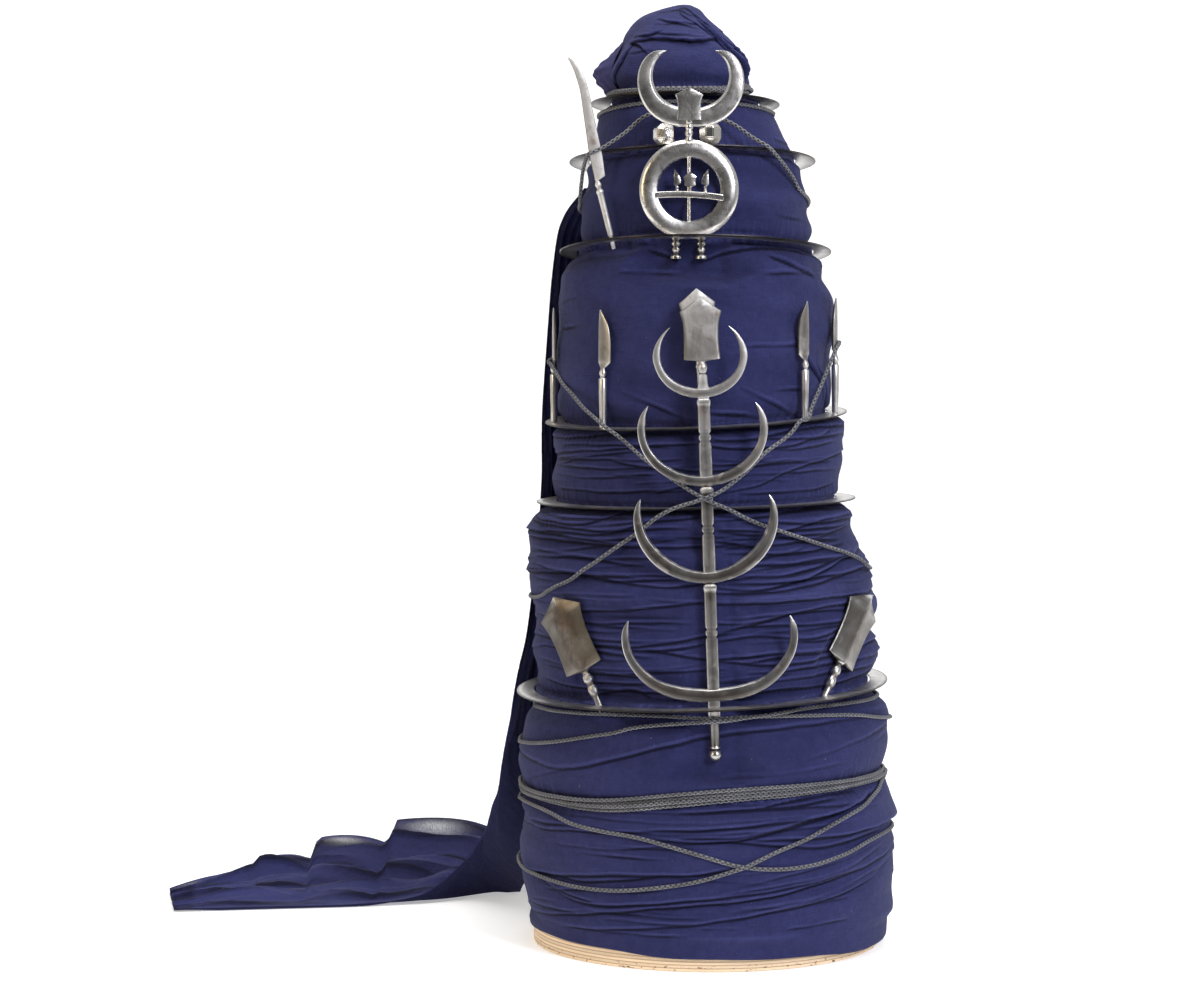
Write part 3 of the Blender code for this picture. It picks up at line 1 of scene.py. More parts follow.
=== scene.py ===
"""Looks of a tall wound turban of navy cotton on a plywood ring, with its steel and its cords.

Metres, +Z up. The front faces -Y, and the origin is on the floor, under the middle of the plywood ring.
"""

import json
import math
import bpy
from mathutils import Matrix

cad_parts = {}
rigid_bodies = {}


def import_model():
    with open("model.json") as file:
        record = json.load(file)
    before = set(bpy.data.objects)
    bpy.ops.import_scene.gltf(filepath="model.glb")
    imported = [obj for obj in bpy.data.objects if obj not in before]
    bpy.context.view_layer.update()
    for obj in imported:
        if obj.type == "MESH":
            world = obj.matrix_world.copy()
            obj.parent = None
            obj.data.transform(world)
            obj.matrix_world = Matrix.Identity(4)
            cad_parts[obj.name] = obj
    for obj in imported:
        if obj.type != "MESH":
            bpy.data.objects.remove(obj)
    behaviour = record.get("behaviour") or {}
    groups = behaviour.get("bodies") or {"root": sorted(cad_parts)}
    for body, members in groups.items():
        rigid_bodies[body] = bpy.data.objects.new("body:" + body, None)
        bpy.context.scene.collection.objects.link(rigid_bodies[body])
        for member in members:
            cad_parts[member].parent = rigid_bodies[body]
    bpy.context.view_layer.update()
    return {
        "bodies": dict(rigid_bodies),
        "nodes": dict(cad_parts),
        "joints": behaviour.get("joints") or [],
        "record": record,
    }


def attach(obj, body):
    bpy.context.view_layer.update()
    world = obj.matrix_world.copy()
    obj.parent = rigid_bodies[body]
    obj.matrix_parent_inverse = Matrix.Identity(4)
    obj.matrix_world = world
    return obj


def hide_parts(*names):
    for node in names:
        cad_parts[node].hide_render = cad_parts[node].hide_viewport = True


bl_info = {
    "name": "Sikh turban",
    "version": (1, 0, 0),
    "blender": (4, 5, 0),
    "location": "3D View > Sidebar > Turban",
    "description": "Wound turban with its steel, cords and loose end of cloth, and a pale studio for it",
    "category": "Object",
}

import bmesh
import bpy
import numpy as np
from bpy.props import FloatProperty, FloatVectorProperty, PointerProperty
from mathutils import Matrix, Vector
from mathutils.bvhtree import BVHTree

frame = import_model()

# Sizes of the whole
TURBAN_HEIGHT = 0.750
CLOTH_RADIUS = 0.149
CLEARANCE = 0.0003

# Plywood ring
PLY_RADIUS = 0.1385
PLY_HOLE_RADIUS = 0.095
PLY_THICKNESS = 0.018

# Hollow for the head, and the lip of cloth that laps down over the plywood
HOLLOW_RADIUS = 0.098
HOLLOW_TOP_RADIUS = 0.024
HOLLOW_HEIGHT = 0.640
HEM_HEIGHT = 0.0105
HEM_RIGHT_DROP = 0.0045
HEM_WALL = 0.0016

# Steel
QUOIT_THICKNESS = 0.0016
QUOIT_BEVEL = 0.004
QUOIT_RIM = 0.0009
BAR_WIDTH = 0.0092
BAR_DEPTH = 0.0072
BADGE_DEPTH = 0.0030
BLADE_DEPTH = 0.0024
KNIFE_LENGTH = 0.091
KNIFE_WIDTH = 0.0124
LONG_KNIFE_LENGTH = 0.1527
LONG_KNIFE_WIDTH = 0.0119
SIDE_BLADE_LENGTH = 0.0960
SIDE_BLADE_WIDTH = 0.0382
KNOB_SIZE = 0.0160
BADGE_RING_RADIUS = 0.0381
BADGE_RING_HOLE = 0.0240

# Cloth and cords
CORD_DIAMETER = 0.003
TAIL_THICKNESS = 0.002
FLAP_THICKNESS = 0.002
CORD_STEP = 0.003
QUOIT_SEGMENTS = 28

# Cloth sections: height in shares of the turban's height; half width and shift to the right in shares
# of the cloth radius; front is the reach forward in shares of the half width.
SECTION_COLUMNS = ("height", "half_width", "shift", "front")
CLOTH_SECTIONS = (
    (0.0267, 0.970, 0.014, 1.00),
    (0.0560, 0.992, 0.018, 1.00),
    (0.0847, 1.002, 0.018, 1.00),
    (0.1173, 1.000, 0.005, 1.00),
    (0.1500, 0.996, 0.000, 1.00),
    (0.1640, 0.972, -0.010, 1.00),
    (0.1747, 0.948, -0.019, 1.00),
    (0.1860, 0.974, -0.017, 1.00),
    (0.2080, 0.994, -0.012, 0.98),
    (0.2227, 0.990, -0.006, 0.96),
    (0.2373, 0.978, -0.001, 0.95),
    (0.2507, 0.955, -0.008, 0.95),
    (0.2640, 0.885, -0.014, 0.97),
    (0.2764, 0.840, -0.023, 1.00),
    (0.2853, 0.898, -0.018, 0.99),
    (0.3067, 0.915, -0.006, 0.96),
    (0.3440, 0.909, -0.012, 0.96),
    (0.3740, 0.916, -0.021, 0.96),
    (0.4013, 0.909, -0.046, 0.97),
    (0.4293, 0.872, -0.083, 0.98),
    (0.4587, 0.846, -0.076, 0.99),
    (0.4667, 0.792, -0.062, 1.00),
    (0.4732, 0.734, -0.054, 1.00),
    (0.4813, 0.762, -0.052, 1.00),
    (0.5187, 0.772, -0.041, 1.00),
    (0.5467, 0.778, -0.033, 1.00),
    (0.5547, 0.750, -0.045, 1.00),
    (0.5621, 0.684, -0.054, 1.00),
    (0.5707, 0.716, -0.064, 1.00),
    (0.5933, 0.732, -0.060, 1.00),
    (0.6387, 0.738, -0.058, 1.00),
    (0.6800, 0.735, -0.060, 1.00),
    (0.7080, 0.705, -0.066, 1.00),
    (0.7173, 0.688, -0.058, 1.00),
    (0.7267, 0.661, -0.050, 1.00),
    (0.7364, 0.574, -0.060, 1.00),
    (0.7480, 0.594, -0.060, 1.00),
    (0.7680, 0.611, -0.050, 1.00),
    (0.7960, 0.593, -0.068, 1.00),
    (0.8227, 0.575, -0.067, 0.98),
    (0.8333, 0.530, -0.074, 0.95),
    (0.8427, 0.532, -0.078, 0.95),
    (0.8547, 0.507, -0.086, 0.97),
    (0.8747, 0.479, -0.105, 1.00),
    (0.8853, 0.446, -0.110, 1.00),
    (0.8941, 0.386, -0.114, 1.00),
    (0.9067, 0.352, -0.136, 1.00),
    (0.9200, 0.379, -0.141, 1.00),
    (0.9373, 0.359, -0.144, 1.00),
    (0.9573, 0.295, -0.156, 0.98),
    (0.9720, 0.242, -0.166, 0.96),
    (0.9867, 0.175, -0.171, 0.95),
    (0.9947, 0.107, -0.141, 0.95),
    (0.9993, 0.040, -0.121, 1.00),
)

# Quoits: height of the middle in shares of the turban's height; radius, band and shift to the front in
# shares of the cloth radius; rise of the front rim and of the right rim in degrees.
QUOIT_COLUMNS = ("height", "radius", "band", "forward", "front_rise", "right_rise")
QUOITS = (
    (0.8941, 0.507, 0.107, 0.000, 1.9, -0.5),
    (0.8333, 0.662, 0.107, -0.027, 3.2, 0.0),
    (0.7364, 0.728, 0.094, 0.038, 4.4, -0.3),
    (0.5621, 0.812, 0.107, 0.000, -4.3, 2.3),
    (0.4732, 0.859, 0.107, 0.000, -1.5, 0.9),
    (0.2764, 0.997, 0.094, 0.047, -2.5, 2.1),
)
BAND_HEIGHT = 0.1747
BAND_RIGHT_RISE = 2.8

# Crescents in shares of their half width: angle from the bottom in degrees, outer and inner radius.
CRESCENT_COLUMNS = ("angle", "outer", "inner")
TOP_CRESCENT = (
    (0, 0.900, 0.572),
    (30, 0.976, 0.597),
    (60, 1.013, 0.668),
    (90, 1.000, 0.717),
    (110, 0.953, 0.726),
    (125, 0.859, 0.709),
    (138, 0.692, 0.682),
)
FIRST_CRESCENT = (
    (0, 0.932, 0.731),
    (30, 0.962, 0.761),
    (50, 0.987, 0.805),
    (72, 0.998, 0.843),
    (90, 1.000, 0.841),
    (112, 0.922, 0.843),
    (132, 0.845, 0.835),
)
SECOND_CRESCENT = (
    (0, 0.892, 0.729),
    (16, 0.901, 0.741),
    (36, 0.929, 0.771),
    (56, 0.969, 0.823),
    (76, 0.998, 0.873),
    (94, 1.000, 0.883),
    (106, 0.962, 0.894),
    (114, 0.910, 0.900),
)
THIRD_CRESCENT = (
    (0, 0.942, 0.778),
    (20, 0.950, 0.776),
    (38, 0.974, 0.779),
    (55, 0.992, 0.809),
    (72, 1.005, 0.850),
    (88, 1.000, 0.884),
    (99, 0.976, 0.904),
    (106, 0.930, 0.920),
)
FOURTH_CRESCENT = (
    (0, 0.755, 0.603),
    (16, 0.772, 0.613),
    (35, 0.834, 0.676),
    (52, 0.902, 0.769),
    (66, 0.950, 0.837),
    (80, 0.990, 0.896),
    (94, 0.990, 0.912),
    (102, 0.940, 0.928),
)

# Section of a crescent: out from its inner edge in shares of its width; depth in shares of its front
# depth where it is negative and else of its back depth; how bright it is there, as rubbed steel and painted
# highlight, and how dark, as dull steel and painted shade.
CRESCENT_SECTION_COLUMNS = ("out", "depth", "rubbed", "dulled")
CRESCENT_SECTION = (
    (0.00, 1 / 3, 0.6, 0.2),
    (0.03, -0.20, 0.8, 0.0),
    (0.15, -0.92, 0.7, 0.0),
    (0.22, -1.00, 0.0, 0.3),
    (0.60, -0.94, 0.0, 1.0),
    (0.90, -0.72, 0.0, 0.8),
    (0.97, -0.40, 0.2, 0.3),
    (1.00, 0.00, 0.2, 0.0),
    (0.80, 1.00, 0.0, 0.6),
    (0.20, 1.00, 0.0, 0.6),
)
CRESCENT_STEPS = 44

# Crescents on the staff: height in shares of the staff's length, half width in shares of the cloth
# radius, and their outline.
STAFF_CRESCENT_COLUMNS = ("height", "half_width", "outline")
STAFF_CRESCENTS = (
    (0.877, 0.240, FIRST_CRESCENT),
    (0.714, 0.330, SECOND_CRESCENT),
    (0.524, 0.367, THIRD_CRESCENT),
    (0.262, 0.450, FOURTH_CRESCENT),
)
STAFF_CRESCENT_SHIFT = -0.0015

# The staff's foot and top: to the right and to the back in shares of the cloth radius, and up in
# shares of the turban's height. The rest is in shares of the staff's length.
STAFF_FOOT = (0.014, -0.920, 0.2208)
STAFF_TOP = (-0.066, -0.859, 0.6829)
BAR_TOP = 0.807
BAR_FOOT = 0.084
BAR_NOTCHES = (0.267, 0.493, 0.694)

# Turned and cut parts of the bar: the rise in metres, and the width and the depth in shares of the bar's.
BAR_PART_COLUMNS = ("rise", "wide", "deep")
NOTCH = (
    (-0.0060, 1.00, 1.0),
    (-0.0045, 0.96, 1.0),
    (-0.0028, 0.80, 1.0),
    (-0.0012, 0.97, 1.0),
    (0.0000, 1.00, 1.0),
    (0.0012, 0.97, 1.0),
    (0.0028, 0.80, 1.0),
    (0.0045, 0.96, 1.0),
    (0.0060, 1.00, 1.0),
)
COLLAR = (
    (-0.0075, 1.00, 1.00),
    (-0.0040, 1.12, 1.25),
    (-0.0018, 1.06, 1.22),
    (-0.0004, 0.80, 0.90),
    (0.0006, 0.70, 0.70),
    (0.0050, 1.00, 1.00),
)
BAR_END = ((-0.0100, 0.95, 1.00), (0.0075, 0.72, 0.72))

# Round parts of the staff: below the bar, the turn of the ball's rings in degrees and the rod above it in
# shares of the ball's and the rod's radius; over the bar, rise and radius in metres.
BALL_TURNS = (-80, -60, -40, -20, 0, 20, 40, 55)
ROD_COLUMNS = ("rise", "radius")
ROD = ((1.05, 1.10), (1.20, 1.12), (1.45, 1.0))
NECK = (
    (0.0090, 0.0022),
    (0.0100, 0.0028),
    (0.0122, 0.0036),
    (0.0140, 0.0038),
    (0.0160, 0.0032),
    (0.0175, 0.0024),
)
STAFF_BLADE_RISE = 0.0185
STAFF_BLADE_HALF_WIDTH = 0.0159
STAFF_CRESCENT_FRONT = 0.0019
STAFF_CRESCENT_BACK = 0.0011

# A quarter of each kind of section: its corners, in shares of the half width and of the half depth.
SECTION_QUARTERS = {
    "round": [(1.0, 0.0), (0.924, 0.383), (0.707, 0.707), (0.383, 0.924), (0.0, 1.0)],
    "square": [(1.0, 0.0), (1.0, 0.70), (0.93, 0.86), (0.78, 1.0), (0.0, 1.0)],
    "flat": [(1.0, 0.0), (0.99, 0.42), (0.93, 0.88), (0.84, 1.0), (0.0, 1.0)],
    "ridged": [(1.0, 0.0), (1.0, 0.20), (0.95, 0.30), (0.10, 0.97), (0.0, 1.0)],
}

# Spade blade, from its foot up: height in shares of the length, half width in shares of its own.
SPADE_COLUMNS = ("height", "half_width")
SPADE = (
    (0.000, 0.22),
    (0.030, 0.88),
    (0.220, 0.83),
    (0.420, 0.82),
    (0.620, 0.87),
    (0.780, 1.00),
    (0.990, 0.03),
)

# Knives, from the foot up: height in shares of the length; left and right edge, and half depth, in
# shares of the blade's width.
KNIFE_COLUMNS = ("height", "left", "right", "half_depth", "shape")
SMALL_KNIFE = (
    (0.000, -0.20, 0.20, 0.20, "round"),
    (0.410, -0.25, 0.25, 0.25, "round"),
    (0.425, -0.16, 0.16, 0.16, "round"),
    (0.460, -0.23, 0.23, 0.23, "round"),
    (0.500, -0.16, 0.16, 0.12, "round"),
    (0.550, -0.33, 0.67, 0.09, "flat"),
    (0.720, -0.33, 0.66, 0.09, "flat"),
    (0.860, -0.31, 0.48, 0.08, "flat"),
    (0.950, -0.27, 0.10, 0.06, "flat"),
    (1.000, -0.22, -0.17, 0.03, "flat"),
)
LONG_KNIFE = (
    (0.000, -0.12, 0.12, 0.12, "round"),
    (0.030, -0.14, 0.14, 0.14, "round"),
    (0.060, -0.11, 0.11, 0.11, "round"),
    (0.075, -0.18, 0.18, 0.18, "round"),
    (0.285, -0.21, 0.21, 0.21, "round"),
    (0.300, -0.25, 0.25, 0.25, "round"),
    (0.315, -0.14, 0.14, 0.14, "round"),
    (0.335, -0.21, 0.21, 0.21, "round"),
    (0.355, -0.12, 0.12, 0.12, "round"),
    (0.370, -0.14, 0.58, 0.09, "flat"),
    (0.480, -0.12, 0.73, 0.09, "flat"),
    (0.600, 0.03, 0.77, 0.09, "flat"),
    (0.700, 0.16, 0.80, 0.08, "flat"),
    (0.820, 0.30, 0.85, 0.08, "flat"),
    (0.920, 0.23, 0.69, 0.07, "flat"),
    (0.965, 0.12, 0.42, 0.06, "flat"),
    (1.000, 0.00, 0.05, 0.03, "flat"),
)

# Where the long knife, the side blades and the badge stand, as for the staff.
LONG_KNIFE_FOOT = (-0.499, -0.436, 0.7360)
LONG_KNIFE_TOP = (-0.745, -0.503, 0.9333)
LEFT_BLADE_TOP = (-0.813, -0.597, 0.3759)
RIGHT_BLADE_TOP = (0.860, -0.416, 0.3860)
BADGE_MIDDLE = (-0.115, -0.649, 0.7944)

# The side blades' shanks lean on the inner edge of the sixth quoit: angle there in degrees, turn of
# the blade about its own length, and how far the shank goes on below the quoit.
LEFT_BLADE_ANGLE = -129
RIGHT_BLADE_ANGLE = -46
LEFT_BLADE_TURN = -26
RIGHT_BLADE_TURN = 40
SHANK_BELOW_QUOIT = 0.0040
SHANK_SHARE = 0.35

# Shanks of the side blades and of the back blade, from the foot up: height in shares of the shank's
# length; radius in shares of the side blades' own, and in metres for the back blade.
SHANK_COLUMNS = ("height", "radius")
SIDE_SHANK = (
    (0.00, 0.90),
    (0.12, 1.00),
    (0.30, 1.05),
    (0.36, 1.15),
    (0.42, 1.45),
    (0.50, 1.58),
    (0.58, 1.40),
    (0.64, 1.10),
    (0.68, 1.20),
    (0.74, 1.60),
    (0.80, 1.62),
    (0.86, 1.48),
    (0.91, 1.15),
    (0.95, 0.98),
)
BACK_SHANK = ((0.0, 0.0024), (0.6, 0.0026), (0.80, 0.0028), (0.84, 0.0034), (0.88, 0.0028), (0.93, 0.0030))
SHANK_RADIUS = 0.0024

# Small knives: angle round the turban in degrees, and the side of the straight edge.
SMALL_KNIFE_COLUMNS = ("angle", "side")
SMALL_KNIVES = ((-172, 1), (-131, 1), (-45, -1), (-19, -1))
KNIFE_QUOIT = 3
KNIFE_SEAT = 0.62
BACK_BLADE_ANGLE = -92
BACK_BLADE_SEAT = 0.68
BACK_BLADE_LENGTH = 0.1060
BACK_BLADE_WIDTH = 0.0278
BACK_BLADE_SHANK = 0.0550
BACK_BLADE_SHIFT = Vector((0.0050, 0.0, 0.0))
BACK_BLADE_LEAN = Vector((-0.0056, -0.0055, 0.0))

# Cord routes, which close on themselves: angle round the turban in degrees, and height in shares of
# the turban's height.
ROUTE_COLUMNS = ("angle", "height")
CROWN_LOW_ROUTE = ((-180, 0.883), (-90, 0.888), (0, 0.883), (90, 0.880), (180, 0.883))
CREST_ROUTE = (
    (-92, 0.8760),
    (-113, 0.8733),
    (-126, 0.8533),
    (-136, 0.8373),
    (-140, 0.8333),
    (-152, 0.8200),
    (-164, 0.7947),
    (-180, 0.7840),
    (-225, 0.7760),
    (-270, 0.7760),
    (-320, 0.7800),
    (-379, 0.7947),
    (-394, 0.8120),
    (-408, 0.8307),
    (-414, 0.8393),
    (-420, 0.8480),
    (-431, 0.8667),
    (-452, 0.8760),
)
CROSS_ROUTE = (
    (-173, 0.6187),
    (-150, 0.5867),
    (-126, 0.5483),
    (-112, 0.5200),
    (-97.7, 0.4940),
    (-92.5, 0.4847),
    (-86.6, 0.4755),
    (-82, 0.4700),
    (-66, 0.4507),
    (-44, 0.4320),
    (-24, 0.4147),
    (-10, 0.4013),
    (60, 0.3893),
    (125, 0.3773),
    (190, 0.3700),
    (217, 0.3885),
    (230, 0.4072),
    (248, 0.4401),
    (259, 0.4667),
    (267.5, 0.4768),
    (270.2, 0.4800),
    (274, 0.4847),
    (277.4, 0.4907),
    (284, 0.5053),
    (292, 0.5253),
    (301, 0.5413),
    (308.7, 0.5577),
    (315.5, 0.5650),
    (334.4, 0.6240),
    (341, 0.6369),
    (352, 0.6407),
    (420, 0.6400),
    (480, 0.6333),
    (530, 0.6240),
    (547, 0.6187),
)
WAIST_ROUTE = (
    (-170.6, 0.2536),
    (-142, 0.2553),
    (-115, 0.2580),
    (-94, 0.2580),
    (-85, 0.2580),
    (-71.6, 0.2580),
    (-39, 0.2540),
    (-12.6, 0.2432),
    (50, 0.2293),
    (110, 0.2200),
    (190.4, 0.2167),
    (232.5, 0.2367),
    (245.7, 0.2467),
    (266, 0.2540),
    (275, 0.2560),
    (288.4, 0.2597),
    (309.8, 0.2640),
    (342.7, 0.2647),
    (410, 0.2640),
    (470, 0.2587),
    (549.4, 0.2536),
)
LOWER_ROUTE = (
    (-172, 0.1553),
    (-148, 0.1527),
    (-134, 0.1447),
    (-124, 0.1408),
    (-110, 0.1355),
    (-94, 0.1219),
    (-83, 0.1107),
    (-72, 0.1064),
    (-60, 0.1084),
    (-47, 0.1145),
    (-20, 0.1259),
    (40, 0.1200),
    (100, 0.1067),
    (160, 0.0907),
    (205, 0.0820),
    (225, 0.0799),
    (239, 0.0812),
    (253, 0.0875),
    (265, 0.0952),
    (277, 0.1089),
    (288, 0.1229),
    (298, 0.1335),
    (311, 0.1500),
    (322, 0.1600),
    (334, 0.1700),
    (350, 0.1790),
    (400, 0.1680),
    (460, 0.1547),
    (510, 0.1520),
    (548, 0.1553),
)

# Bundles of cord: angle in degrees, height in shares of the turban's height, and how many cords lie
# side by side.
BUNDLE_COLUMNS = ("angle", "height", "cords")
BAND_BUNDLE = (
    (-171, 0.1661, 2.5),
    (-146, 0.1657, 2.8),
    (-123, 0.1667, 3.5),
    (-97, 0.1767, 3.8),
    (-73, 0.1827, 3.6),
    (-23, 0.1847, 2.6),
    (40, 0.1793, 2.5),
    (100, 0.1720, 2.5),
    (189, 0.1661, 2.5),
)
CROWN_BUNDLE = (
    (-180, 0.9050, 2.2),
    (-130, 0.9025, 2.0),
    (-60, 0.9030, 2.0),
    (-15, 0.9090, 2.8),
    (60, 0.9085, 2.8),
    (180, 0.9050, 2.2),
)

BUNDLE_STEPS = 320
BUNDLE_WAVER = 0.00025

# Tail, from the top to the end on the floor: the near and the far edge (right and back in shares of the
# cloth radius, height in shares of the turban's), and how far the middle stands out from the line
# between them.
TAIL_COLUMNS = ("near", "far", "belly")
TAIL = (
    ((-0.651, 0.201, 0.8080), (-0.356, 0.577, 0.8170), 0.077),
    ((-0.765, 0.282, 0.7787), (-0.416, 0.691, 0.7840), 0.081),
    ((-0.815, 0.322, 0.7387), (-0.436, 0.792, 0.7413), 0.107),
    ((-0.866, 0.336, 0.6267), (-0.403, 0.906, 0.6267), 0.101),
    ((-0.889, 0.349, 0.5600), (-0.403, 0.953, 0.5600), 0.107),
    ((-0.893, 0.369, 0.4733), (-0.369, 1.007, 0.4733), 0.114),
    ((-0.966, 0.403, 0.3333), (-0.336, 1.087, 0.3333), 0.101),
    ((-1.027, 0.416, 0.2760), (-0.322, 1.154, 0.2760), 0.107),
    ((-1.081, 0.456, 0.2133), (-0.369, 1.275, 0.2133), 0.067),
    ((-1.150, 0.700, 0.1400), (-0.503, 1.477, 0.1267), 0.027),
    ((-1.235, 0.960, 0.0870), (-0.705, 1.779, 0.0800), -0.040),
    ((-1.390, 1.080, 0.0420), (-0.973, 2.114, 0.0640), -0.067),
    ((-1.620, 1.000, 0.0120), (-1.376, 2.416, 0.0613), -0.054),
    ((-1.950, 0.900, 0.0040), (-2.013, 2.617, 0.0440), -0.020),
    ((-2.450, 0.820, 0.0040), (-2.584, 2.550, 0.0160), 0.000),
    ((-2.993, 0.740, 0.0040), (-3.107, 1.336, 0.0053), 0.000),
)
TAIL_FOLDS = 3.5
TAIL_FOLD_HEIGHT = 0.0065

# The part of the tail that rolls under its near edge: place along the rows of the table, and the point
# in the same shares.
UNDER_COLUMNS = ("along", "point")
UNDER = (
    (7, (-1.027, 0.416, 0.2760)),
    (8, (-1.030, 0.560, 0.1900)),
    (9, (-0.960, 1.000, 0.0600)),
    (10, (-1.030, 1.360, 0.0040)),
    (11, (-1.200, 1.270, 0.0040)),
    (12, (-1.520, 1.040, 0.0040)),
    (13, (-1.950, 0.900, 0.0040)),
)

# Where the tail is worn so thin that it can be seen through: place and reach along the rows of the
# table, and place and reach across in shares of its width.
THIN_COLUMNS = ("along", "across", "reach", "width")
THIN_SPOTS = (
    (10.90, 0.93, 0.50, 0.05),
    (12.35, 0.94, 0.35, 0.05),
    (13.30, 0.95, 0.25, 0.04),
    (14.85, 0.90, 0.12, 0.08),
)

# Where the tail's far edge is turned in: place and reach along the rows of the table.
TURNED_COLUMNS = ("along", "reach")
TURNED_IN = ((11.3, 0.55), (12.75, 0.40), (13.6, 0.30), (14.2, 0.25))
TURNED_SHARE = 0.11
TURNED_DROP = 0.16

# Below this height the tail turns from hanging to lying, over this much height.
LYING_FROM = 0.12
LYING_OVER = 0.10

# The tail's sharp gathers: depth in metres, how many there are across, and how they wander along it.
GATHER_COLUMNS = ("depth", "count", "drift", "sway", "sway_step")
GATHERS = ((0.0020, 9.0, -0.55, 1.3, 0.7), (0.0010, 17.0, 0.8, 1.0, 1.3))
TAIL_STEPS = 260
TAIL_COLUMN_COUNT = 104
SHEET_MESH_THICKNESS = 0.0009
SHEET_UV_STEP = 0.004

# Flap of the hood, from top to bottom: angle in degrees, height in shares of the turban's height, and
# how far its edge stands out in metres.
FLAP_COLUMNS = ("angle", "height", "out")
FLAP = (
    (170, 0.9600, 0.0000),
    (170, 0.9500, 0.0030),
    (171, 0.9400, 0.0080),
    (172, 0.9325, 0.0122),
    (172, 0.9290, 0.0124),
    (173, 0.9220, 0.0100),
    (174, 0.9130, 0.0078),
    (174, 0.9040, 0.0060),
)
FLAP_SPAN = 46
FLAP_STEPS = 48
FLAP_COLUMN_COUNT = 56


def rows_of(columns, table):
    """The rows of a table as dictionaries by column name."""
    return [dict(zip(columns, row)) for row in table]


def eased(position, stops, values):
    """A smooth curve through values at rising stops."""
    if position <= stops[0]:
        return values[0]
    if position >= stops[-1]:
        return values[-1]
    last = len(stops) - 1
    span = next(i for i in range(last) if position <= stops[i + 1])

    def slope(index):
        before = max(index - 1, 0)
        after = min(index + 1, last)
        return (values[after] - values[before]) / (stops[after] - stops[before])

    width = stops[span + 1] - stops[span]
    share = (position - stops[span]) / width
    cubed = share**3
    squared = share**2
    return (
        values[span] * (2 * cubed - 3 * squared + 1)
        + values[span + 1] * (3 * squared - 2 * cubed)
        + slope(span) * width * (cubed - 2 * squared + share)
        + slope(span + 1) * width * (cubed - squared)
    )


def clamped(value, low, high):
    return min(max(value, low), high)


def placed(shares):
    """A point given in shares of the cloth radius (right, back) and of the turban's height (up)."""
    return Vector((shares[0] * CLOTH_RADIUS, shares[1] * CLOTH_RADIUS, shares[2] * TURBAN_HEIGHT))


SECTIONS = rows_of(SECTION_COLUMNS, CLOTH_SECTIONS)
HEIGHTS = [row["height"] * TURBAN_HEIGHT for row in SECTIONS]
HALF_WIDTHS = [row["half_width"] * CLOTH_RADIUS for row in SECTIONS]
SHIFTS = [row["shift"] * CLOTH_RADIUS for row in SECTIONS]
FRONTS = [row["front"] for row in SECTIONS]
QUOIT_ROWS = rows_of(QUOIT_COLUMNS, QUOITS)


def slopes_of(row):
    """The slopes of a quoit to the right and to the back."""
    return math.tan(math.radians(row["right_rise"])), -math.tan(math.radians(row["front_rise"]))


def tilt_stops():
    """Where sections tilt, as (height, slope to the right, slope to the back), from the floor up."""
    band_rise = math.tan(math.radians(BAND_RIGHT_RISE))
    stops = [(0.0, 0.0, 0.0), (BAND_HEIGHT * TURBAN_HEIGHT, band_rise, 0.0)]
    stops += [(row["height"] * TURBAN_HEIGHT, *slopes_of(row)) for row in reversed(QUOIT_ROWS)]
    return stops + [(TURBAN_HEIGHT, 0.0, 0.0)]


TILTS = tilt_stops()


def tilt_at(height):
    """The slopes of the cloth's section at a height on the axis, to the right and to the back."""
    stops, rights, backs = zip(*TILTS)
    return eased(height, stops, rights), eased(height, stops, backs)


def shift_at(height):
    return eased(height, HEIGHTS, SHIFTS)


def standing(foot, top, turn=0.0):
    """A frame whose Z runs from foot to top, with its front towards -Y, turned about its own length."""
    along = (top - foot).normalized()
    right = Vector((0, 1, 0)).cross(along).normalized()
    back = along.cross(right)
    frame = Matrix((right, back, along)).transposed().to_4x4()
    return Matrix.Translation(foot) @ frame @ Matrix.Rotation(math.radians(turn), 4, "Z")


def quoit_frame(row):
    """The frame of a quoit: its middle, tilted as it lies."""
    height = row["height"] * TURBAN_HEIGHT
    right, back = slopes_of(row)
    up = Vector((-right, -back, 1)).normalized()
    across = Vector((1, 0, right)).normalized()
    frame = Matrix((across, up.cross(across), up)).transposed().to_4x4()
    return Matrix.Translation((shift_at(height), -row["forward"] * CLOTH_RADIUS, height)) @ frame


def on_quoit(row, angle, share):
    """A point on the upper face of a quoit's band, at a share of its width from the inner edge."""
    radius = (row["radius"] - row["band"] * (1 - share)) * CLOTH_RADIUS
    lift = QUOIT_THICKNESS / 2 + CLEARANCE
    return quoit_frame(row) @ Vector((radius * math.cos(angle), radius * math.sin(angle), lift))


def inner_radius(row):
    """The radius of a quoit's inner edge at the middle of the solid's flats."""
    return (row["radius"] - row["band"]) * CLOTH_RADIUS * math.cos(math.pi / QUOIT_SEGMENTS)


def side_blade_frame(degrees, top, turn):
    """The frame of a side blade, whose shank leans on the inner edge of the sixth quoit."""
    row = QUOIT_ROWS[5]
    radius = inner_radius(row) - SHANK_RADIUS - CLEARANCE
    angle = math.radians(degrees)
    seat = quoit_frame(row) @ Vector((radius * math.cos(angle), radius * math.sin(angle), 0))
    foot = seat - (top - seat).normalized() * SHANK_BELOW_QUOIT
    return standing(foot, top, turn)


